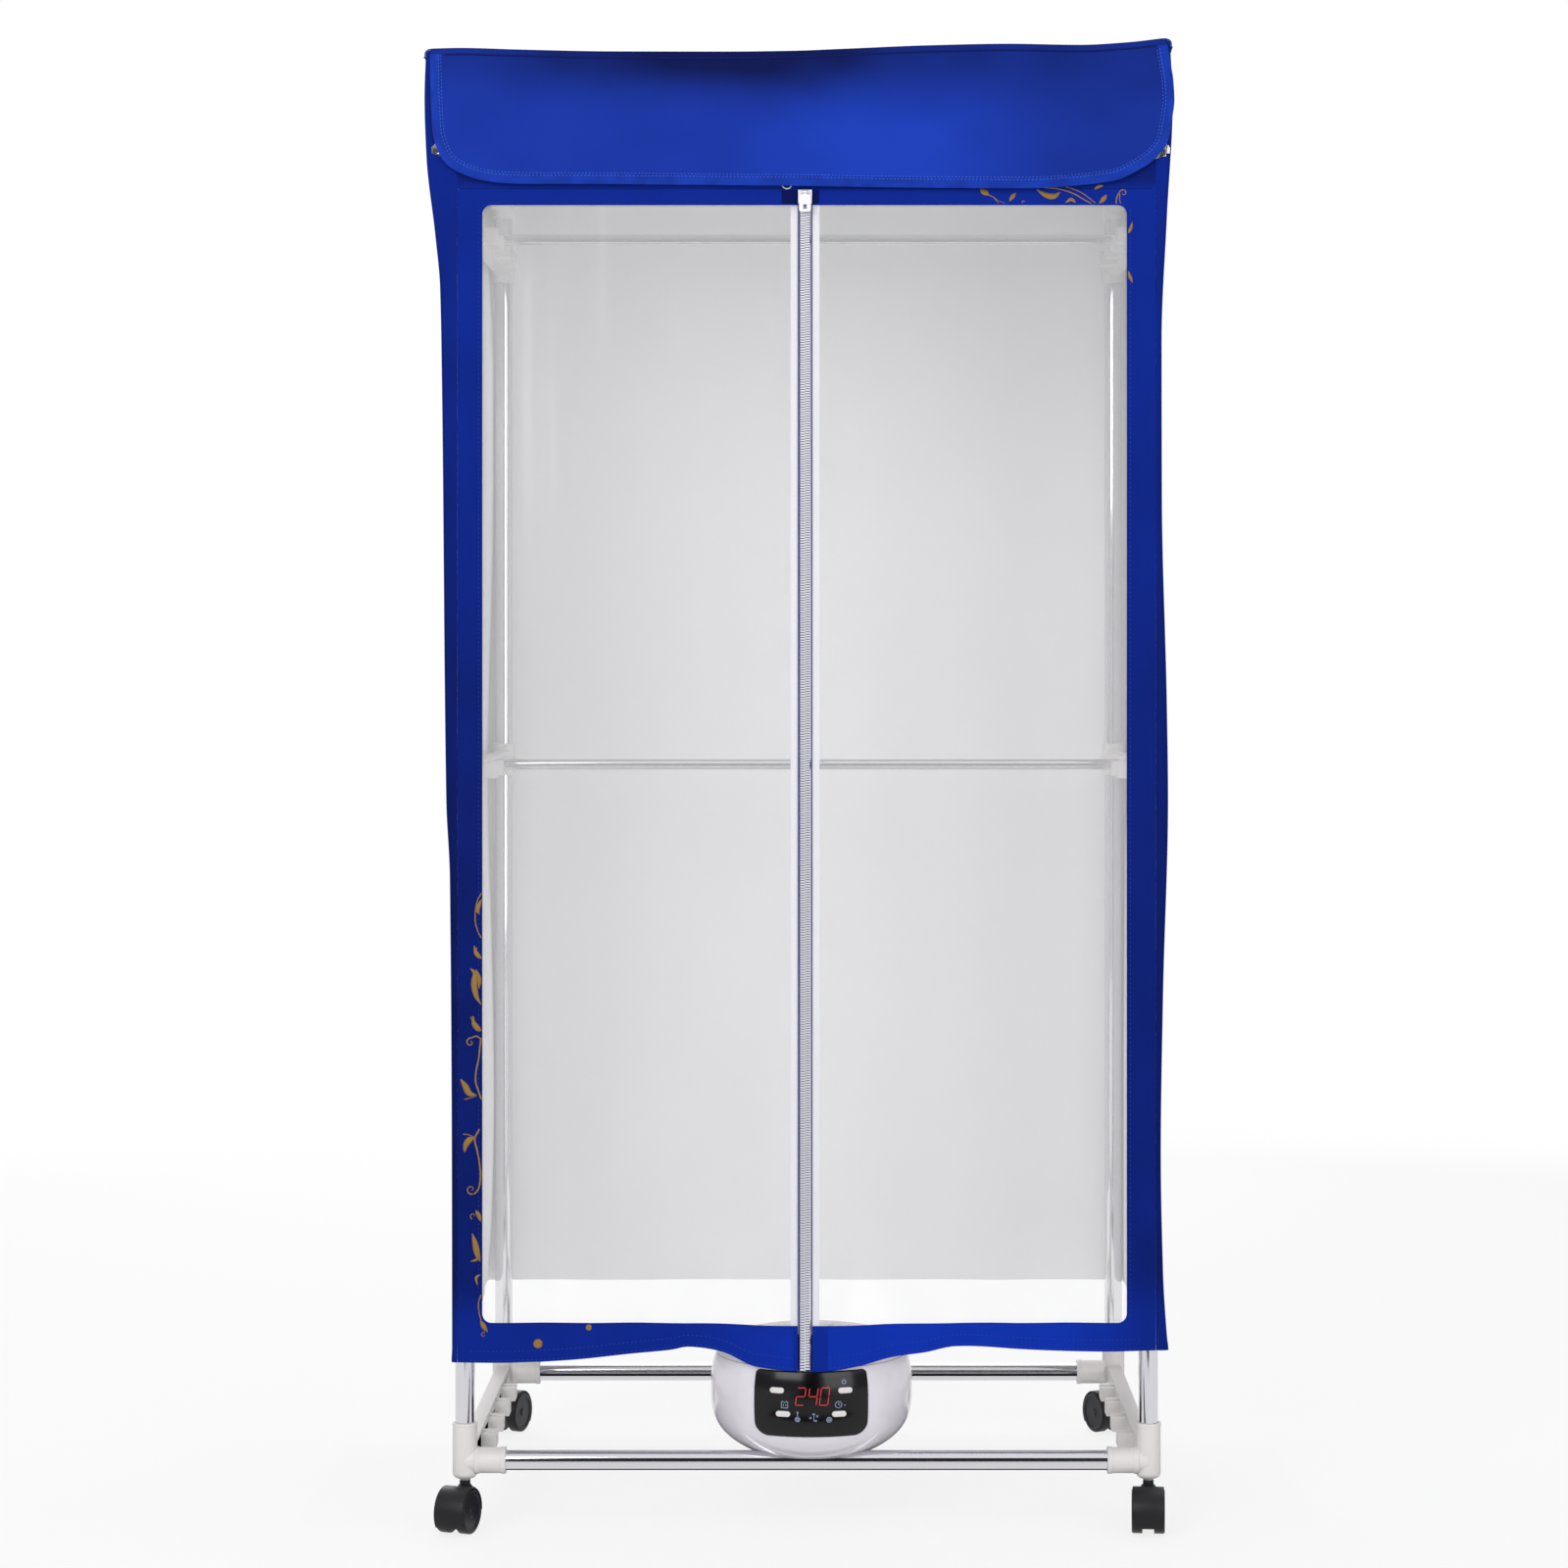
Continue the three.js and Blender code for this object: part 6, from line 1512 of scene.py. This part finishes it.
def addZip():
    # tapes are strips that follow the front cloth; the two rows of teeth are staggered
    z = zipParts
    levels = levelsUp(0, 1, 260)

    def upright(x, setback):
        # a line up the front cloth, set back behind it
        level = mix(hemLine(np.array([x]))[0], curtain["top"], levels)
        xs = np.full(len(level), x)
        return np.stack([xs, frontDepth(xs, level) + setback, level], -1)

    def strip(x0, x1, setback, thick, finish, columns=5):
        # uprights side by side, made into a band
        grid = np.stack([upright(x, setback) for x in np.linspace(x0, x1, columns)], 1)
        back = grid + [0, thick, 0]
        uv = grid[..., [0, 2]] * metresPerMm
        return thickSheet(grid, back, (finish,) * 3, uv, np.full(grid.shape[:2], 0.3))

    leftTape = strip(z["x"] - z["tapeHalf"], z["x"] - z["navyHalf"], z["tapeSet"], z["tapeThick"], 1, 4)
    edgingSet = z["tapeSet"] - z["edgingRise"]
    leftEdging = strip(z["x"] - z["navyHalf"], z["x"] + z["half"] - z["edgingLap"], edgingSet, z["tapeThick"],
                       2, 6)
    core = strip(z["x"] - z["coreHalf"], z["x"] + z["coreHalf"], z["coreSet"], z["tapeSet"] - z["coreShort"],
                 0, 3)
    foot = float(hemLine(z["x"]))
    rows = []
    for sign in (-1, 1):
        at = np.arange(foot + 2, curtain["top"] - 1, z["pitch"])
        count = len(at)
        depth = frontDepth(np.full(count, z["x"] + sign * z["toothAxis"]), at)
        near, far, half = depth - z["rise"], depth + z["toothBack"], z["tooth"] / 2
        xs = np.array([z["toothNear"], z["toothFar"]]) * sign + z["x"]
        # each tooth is a block of three four-cornered rings whose front ring is the smallest
        corners = []
        mid = xs.mean()
        for y, wide, high in ((far, 1, 1.0), (near + z["bevel"], 1, 1.0),
                              (near, z["topWidth"], z["topHeight"])):
            for cx, cz in ((0, -1), (1, -1), (1, 1), (0, 1)):
                x = np.full(count, mid + (xs[cx] - mid) * wide)
                corners.append(np.stack([x, y, at + cz * half * high + sign * z["stagger"]], -1))
        points = np.stack(corners, 1)
        quad = np.array([[0, 1, 5, 4], [1, 2, 6, 5], [2, 3, 7, 6], [3, 0, 4, 7], [4, 5, 9, 8], [5, 6, 10, 9],
                         [6, 7, 11, 10], [7, 4, 8, 11], [8, 9, 10, 11], [3, 2, 1, 0]])
        quads = (quad[None] + 12 * np.arange(count)[:, None, None]).reshape(-1, 4)
        rows.append(shell(points.reshape(-1, 3), quads, 0))
    addPiece("zip_teeth", [leftTape, leftEdging, core, *rows],
             [finishes["zip"], finishes["tape"], finishes["tapeEdge"]], "left_curtain", ["zip_chain"],
             sharp=30)
    rightTape = strip(z["x"] + z["navyHalf"], z["x"] + z["tapeHalf"], z["tapeSet"], z["tapeThick"], 0, 4)
    rightEdging = strip(z["x"] + z["half"] + z["edgingGap"], z["x"] + z["navyHalf"], edgingSet,
                        z["tapeThick"], 1, 4)
    addPiece("zip_right_tape", [rightTape, rightEdging], [finishes["tape"], finishes["tapeEdge"]],
             "right_curtain", ["zip_tape"])
    softenNode("zip_slider", finishes["zip"], 0.4)
    softenNode("zip_pull", finishes["zip"], 0.35)


addCurtains()
addZip()
print("curtains and zip ready")


def curl(x, level, start, turns, big):
    # a spiral whose radius runs evenly from big to small; it begins at the given angle
    small, count = 0.5, 26
    t = np.linspace(0, 1, count)
    a = np.radians(start) + 2 * np.pi * turns * t
    r = mix(big, small, t)
    return np.stack([x + r * np.cos(a), level + r * np.sin(a)], -1)


def inked(line, width, taper="both"):
    # a printed stroke: its width follows sin(pi t)^0.8 for a leaf and 1 - 0.75 t for a tendril
    count = 22
    line = curveThrough(line, count) if len(line) < count else np.array(line, float)
    t = np.linspace(0, 1, len(line))
    share = {"both": np.sin(np.pi * np.clip(t, 0.03, 0.97)) ** 0.8, "end": 1 - 0.75 * t,
             "none": np.ones(len(t))}[taper]
    return strokeOn(onFront, line, np.maximum(width * share, 0.15), 0.04, 0.12)


def addPrint():
    # a common scroll of stems, leaves and curls, redrawn after the photograph: the strokes' points were read
    # off it and turned into millimetres
    left = [
        inked([(-314.6, 619), (-318.4, 612), (-320.7, 601), (-320.5, 590), (-317.9, 581), (-314.8, 575.5)],
              1.1, "none"),
        inked([(-314.6, 613), (-317.2, 607), (-318.4, 602), (-316.6, 598.5)], 4.2),
        inked([(-321.7, 568), (-320.2, 561.5), (-317.2, 557.6), (-314.6, 555.6)], 4.4),
        inked(curl(-320.0, 565.4, 200, 0.7, 1.9), 0.9, "end"),
        inked([(-325.5, 546), (-320.9, 540.8), (-321.9, 531), (-319.8, 519.5), (-315.2, 511)], 6.0),
        inked([(-320.0, 545), (-317.0, 536), (-317.2, 526)], 4.0),
        inked([(-323.6, 498.7), (-321.7, 492), (-317.9, 487.5), (-315, 485.4)], 5.4),
        inked(curl(-323.9, 497.6, 330, 0.9, 2.3), 0.9, "end"),
        inked([(-315.2, 478.8), (-316.2, 470), (-317.5, 458), (-320.0, 446), (-320.3, 436), (-317.5, 427),
               (-314.8, 419)], 1.5, "none"),
        inked([(-314.8, 477), (-319.5, 480.4), (-324.5, 478.6)], 1.3, "none"),
        inked(curl(-325.4, 474.4, 80, 1.15, 4.3), 1.5, "end"),
        inked([(-335, 438.9), (-330.6, 432.2), (-326.5, 425.0), (-319.5, 423.2)], 6.2),
        inked([(-331.5, 419.3), (-325, 420.6), (-319, 422.4)], 1.0, "end"),
        inked([(-332.5, 385.6), (-326, 384.6), (-319.8, 381.8)], 1.1, "end"),
        inked([(-331.2, 367.9), (-329.8, 375.3), (-325.6, 380.6), (-320.6, 381.6)], 6.0),
        inked([(-316.6, 390.5), (-321.2, 381), (-319.2, 371), (-317.0, 360), (-315.6, 345), (-317.4, 333),
               (-322, 327.4)], 1.6, "none"),
        inked(curl(-324.6, 332.0, 290, -1.15, 4.8), 1.4, "end"),
        inked(curl(-322.6, 306.4, 250, -0.9, 3.3), 1.1, "end"),
        inked([(-320.4, 312), (-317.4, 307), (-315.4, 301)], 4.2),
        inked([(-323.6, 289.4), (-320.7, 279), (-318.8, 270), (-316, 262.4)], 6.2),
        inked([(-325.4, 262.2), (-319.6, 264), (-315.6, 267.2)], 2.4),
        inked([(-315.6, 249.6), (-319.8, 246.6), (-318.4, 239)], 2.6),
        inked([(-315, 230.2), (-317.6, 221.6), (-316.7, 212.2), (-314.8, 205.2)], 1.1, "none"),
        inked([(-315.6, 205.4), (-312.6, 200), (-308.8, 194.4)], 4.6),
        inked(curl(-312.4, 191.4, 60, 1.0, 2.8), 0.9, "end"),
        inked(circleLine(-260, 182.7, 2.3), 4.4, "none"),
        inked(circleLine(-210.7, 198.8, 1.5), 2.9, "none"),
    ]
    right = [
        inked([(168, 1300.6), (172.2, 1297.6), (176.8, 1294.8)], 6.0),
        inked([(175.6, 1294.8), (181, 1292.6), (185.4, 1289.2), (192.4, 1286.6)], 1.1, "end"),
        inked([(181, 1292.6), (184, 1288.6), (186.2, 1286.2)], 0.9, "end"),
        inked([(196.2, 1288.6), (199.6, 1293.4), (202.6, 1296.8)], 4.0),
        inked(curl(209.6, 1287.6, 20, 0.8, 1.6), 0.8, "end"),
        inked([(222.6, 1300.2), (231.6, 1294.6), (239.6, 1293.4), (245.4, 1297.6)], 5.6),
        inked([(224.2, 1302.4), (243.7, 1300.6), (258.0, 1296.2), (268.0, 1290.6), (275.6, 1286.4)], 1.2,
              "none"),
        inked([(232.6, 1304), (248, 1303.2), (262.7, 1298.6), (272, 1292.8), (279.6, 1287)], 0.9, "none"),
        inked([(250.6, 1287.2), (256.2, 1290.4), (260.6, 1287)], 3.4),
        inked([(283.4, 1286.6), (287.4, 1290.8), (290.6, 1295)], 4.4),
        inked([(278.6, 1300.2), (282.6, 1303.0), (287.4, 1303.8)], 3.2),
        inked([(299.6, 1286.4), (300.4, 1292.4), (303.0, 1297.4)], 1.3, "none"),
        inked([(304.0, 1286.4), (303.0, 1291.0), (303.4, 1295.8)], 0.9, "none"),
        inked(curl(306.6, 1296.6, 170, -1.1, 3.8), 1.3, "end"),
        inked([(311.2, 1257.6), (313.4, 1261.6), (315.4, 1268.4)], 3.2),
        inked([(311.4, 1221.2), (313.2, 1215.4), (315.4, 1209.6)], 3.2),
    ]
    for name, strokes in (("left", left), ("right", right)):
        addPiece(f"gold_print_{name}", strokes, [finishes["gold"]], f"{name}_curtain", (),
                 sharp=None)


def addPlackets():
    # folded strips beside the zip, sewn on above and below the clear sheet
    placket = {"left": 21.0, "right": 12.0, "leftFoot": 9.5, "rightFoot": 20.0, "stand": 0.15, "thick": 0.5,
               "topLow": 1286.2, "topHigh": 1299.2, "footHigh": 201.6, "clear": 0.2, "lap": 1.5,
               "hemClear": 0.3, "topTone": 0.9, "footTone": 0.34}
    for name, side in (("left", -1), ("right", 1)):
        near = zipParts["x"] + side * (zipParts["half"] + curtain["gap"] + placket["clear"])
        strips = []
        for top in (True, False):
            reach = placket[name] if top else placket[name + "Foot"]
            x = mix(near, zipParts["x"] + side * (reach + placket["lap"]), np.linspace(0, 1, 9))[None, :]
            low = placket["topLow"] + 0 * x if top else hemLine(x) + placket["hemClear"]
            high = placket["topHigh"] if top else placket["footHigh"]
            level = mix(low, high, np.linspace(0, 1, 24)[:, None])
            x = np.broadcast_to(x, level.shape)
            outer = onFront(x, level, placket["stand"] + placket["thick"])
            inner = onFront(x, level, placket["stand"])
            # the upper strip, under the flap, takes a darker tone than the lower one
            strips.append(thickSheet(outer, inner, (0, 0, 0), np.stack([x, level], -1) * metresPerMm,
                                     np.full(x.shape, placket["topTone" if top else "footTone"])))
        addPiece(f"placket_{name}", strips, [finishes["clothFront"]], f"{name}_curtain", (),
                 sharp=clothSharp)
    snap = {"x": -19.0, "level": 1305.2, "stand": 1.2, "inner": 4.1, "outer": 5.1, "half": 0.5}
    section = [[snap["inner"], -snap["half"]], [snap["outer"], -snap["half"]], [snap["outer"], snap["half"]],
               [snap["inner"], snap["half"]]]
    place = (snap["x"], cover["front"] - snap["stand"], snap["level"])
    ring = turned(section, "y", place, 48, closedRing=True)
    addPiece("flap_snap_ring", [ring], [finishes["white"]], "frame", ())


addPrint()
addPlackets()
print("print and plackets ready")


# Stage: a pale floor, soft lamps and the camera at the photograph's place

stage = {"floorSize": 16, "floorDrop": 0.0005, "fadeFrom": 1.1, "fadeTo": 3.0, "ambient": 0.34,
         "floorWhite": 0.8, "cameraPlace": (0.017, -3.8517, 0.862), "lens": 85.9,
         "shift": (-0.0256, -0.0906)}


def lightPathShare(tree):
    # 1 for the rays that look at the stage, 0 for those that carry its light
    kinds = ("Is Camera Ray", "Is Glossy Ray", "Is Transmission Ray")
    path = tree.nodes.new("ShaderNodeLightPath")
    share = path.outputs[kinds[0]]
    for kind in kinds[1:]:
        share = mathNode(tree, "MAXIMUM", share, path.outputs[kind])
    return share


def addFloor():
    # view rays see plain white by the share max(floorWhite, smoothstep of the distance)
    half = stage["floorSize"] / 2
    mesh = bpy.data.meshes.new("floor")
    corners = [(x * half, y * half, -stage["floorDrop"]) for x, y in ((-1, -1), (1, -1), (1, 1), (-1, 1))]
    mesh.from_pydata(corners, [], [(0, 1, 2, 3)])
    floor = bpy.data.objects.new("floor", mesh)
    bpy.context.scene.collection.objects.link(floor)
    material = bpy.data.materials.new("paleFloor")
    material.use_nodes = True
    tree = material.node_tree
    shader = tree.nodes["Principled BSDF"]
    shader.inputs["Base Color"].default_value = (0.9, 0.9, 0.9, 1)
    shader.inputs["Roughness"].default_value = 0.9
    glow = tree.nodes.new("ShaderNodeEmission")
    place = tree.nodes.new("ShaderNodeTexCoord")
    length = tree.nodes.new("ShaderNodeVectorMath")
    length.operation = "LENGTH"
    tree.links.new(place.outputs["Object"], length.inputs[0])
    reach = tree.nodes.new("ShaderNodeMapRange")
    reach.interpolation_type = "SMOOTHSTEP"
    reach.inputs["From Min"].default_value = stage["fadeFrom"]
    reach.inputs["From Max"].default_value = stage["fadeTo"]
    tree.links.new(length.outputs["Value"], reach.inputs["Value"])
    far = mathNode(tree, "MULTIPLY", reach.outputs[0], lightPathShare(tree))
    blend = tree.nodes.new("ShaderNodeMixShader")
    near = mathNode(tree, "MULTIPLY", lightPathShare(tree), stage["floorWhite"])
    tree.links.new(mathNode(tree, "MAXIMUM", far, near), blend.inputs[0])
    tree.links.new(shader.outputs[0], blend.inputs[1])
    tree.links.new(glow.outputs[0], blend.inputs[2])
    tree.links.new(blend.outputs[0], tree.nodes["Material Output"].inputs[0])
    mesh.materials.append(material)


def addWorld():
    # view rays see plain white, the light itself is a soft ambient
    world = bpy.data.worlds.new("studio")
    world.use_nodes = True
    tree = world.node_tree
    soft = tree.nodes["Background"]
    soft.inputs["Color"].default_value = (1, 1, 1, 1)
    soft.inputs["Strength"].default_value = stage["ambient"]
    plain = tree.nodes.new("ShaderNodeBackground")
    plain.inputs["Color"].default_value = (1, 1, 1, 1)
    blend = tree.nodes.new("ShaderNodeMixShader")
    tree.links.new(lightPathShare(tree), blend.inputs[0])
    tree.links.new(soft.outputs[0], blend.inputs[1])
    tree.links.new(plain.outputs[0], blend.inputs[2])
    tree.links.new(blend.outputs[0], tree.nodes["World Output"].inputs[0])
    bpy.context.scene.world = world


def addLamps():
    # square lamps, each turned to face what it lights; sizes in metres, power in watts
    for name, place, aim, size, power in (
        ("key", (-1.6, -3.4, 2.2), (0, 0, 0.75), 2.2, 68),
        ("fill", (1.9, -3.3, 1.3), (0, 0, 0.7), 2.2, 42),
        ("top", (0.2, 0.6, 3.4), (0, 0, 0.8), 2.0, 28),
        ("rear", (-0.6, 3.2, 2.0), (0, 0, 0.75), 2.4, 45),
    ):
        lamp = bpy.data.lights.new(name, "AREA")
        lamp.size = size
        lamp.energy = power
        holder = bpy.data.objects.new(name, lamp)
        bpy.context.scene.collection.objects.link(holder)
        holder.location = place
        along = Vector(aim) - Vector(place)
        holder.rotation_euler = along.to_track_quat("-Z", "Y").to_euler()


def addCards():
    # cards that only reflections see give the chrome its stripes: some stand on a circle about the part,
    # some lie on the floor; kind 0 is dark, kind 1 grey
    circle = {"radius": 5.2, "step": 12}
    floorRise = 0.0004
    dark = finishOf("darkCard", (0.012, 0.012, 0.02, 1), 1.0)
    grey = finishOf("greyCard", (0.02, 0.02, 0.02, 1), 1.0)
    grey.node_tree.nodes["Principled BSDF"].inputs["Emission Color"].default_value = (0.44, 0.42, 0.47, 1)
    grey.node_tree.nodes["Principled BSDF"].inputs["Emission Strength"].default_value = 1.0
    cards, kinds = [], []
    for azimuth, width, low, high, kind in (
        # azimuth and width in degrees, lower and upper edge in metres
        (-2, 30, -1.6, 3.2, 0), (310, 66, -0.6, 1.9, 1), (230, 66, -0.6, 1.9, 1), (270, 20, -1.6, 3.4, 0),
        (90, 70, -0.6, 1.9, 1),
    ):
        a, h = math.radians(azimuth), math.radians(width / 2)
        r = circle["radius"]
        count = max(1, round(width / circle["step"]))
        for k in range(count):
            a0, a1 = a - h + 2 * h * k / count, a - h + 2 * h * (k + 1) / count
            cards.append([(r * math.cos(a0), r * math.sin(a0), low),
                          (r * math.cos(a1), r * math.sin(a1), low),
                          (r * math.cos(a1), r * math.sin(a1), high),
                          (r * math.cos(a0), r * math.sin(a0), high)])
            kinds.append(kind)
    for near, far, y0, y1 in ((0.36, 0.36, -0.51, -0.64), (0.4, 0.9, -1.06, -5.0), (0.5, 0.5, -0.2, 0.16)):
        cards.append([(x, y, floorRise) for x, y in ((-near, y0), (near, y0), (far, y1), (-far, y1))])
        kinds.append(0)
    mesh = bpy.data.meshes.new("cards")
    mesh.from_pydata([p for card in cards for p in card], [],
                     [tuple(range(4 * i, 4 * i + 4)) for i in range(len(cards))])
    mesh.polygons.foreach_set("material_index", np.array(kinds, np.int32))
    mesh.materials.append(dark)
    mesh.materials.append(grey)
    holder = bpy.data.objects.new("cards", mesh)
    bpy.context.scene.collection.objects.link(holder)
    for kind in ("camera", "diffuse", "transmission", "shadow", "volume_scatter"):
        setattr(holder, "visible_" + kind, False)


def addCamera():
    # a level camera whose lens shift puts the part where the photograph has it
    camera = bpy.data.cameras.new("camera")
    camera.sensor_width = 36
    camera.lens = stage["lens"]
    camera.shift_x, camera.shift_y = stage["shift"]
    holder = bpy.data.objects.new("camera", camera)
    holder.location = stage["cameraPlace"]
    holder.rotation_euler = (math.radians(90), 0, 0)
    bpy.context.scene.collection.objects.link(holder)
    bpy.context.scene.camera = holder


addFloor()
addWorld()
addLamps()
addCards()
addCamera()
bpy.context.scene.view_settings.view_transform = "Standard"
print("stage ready")
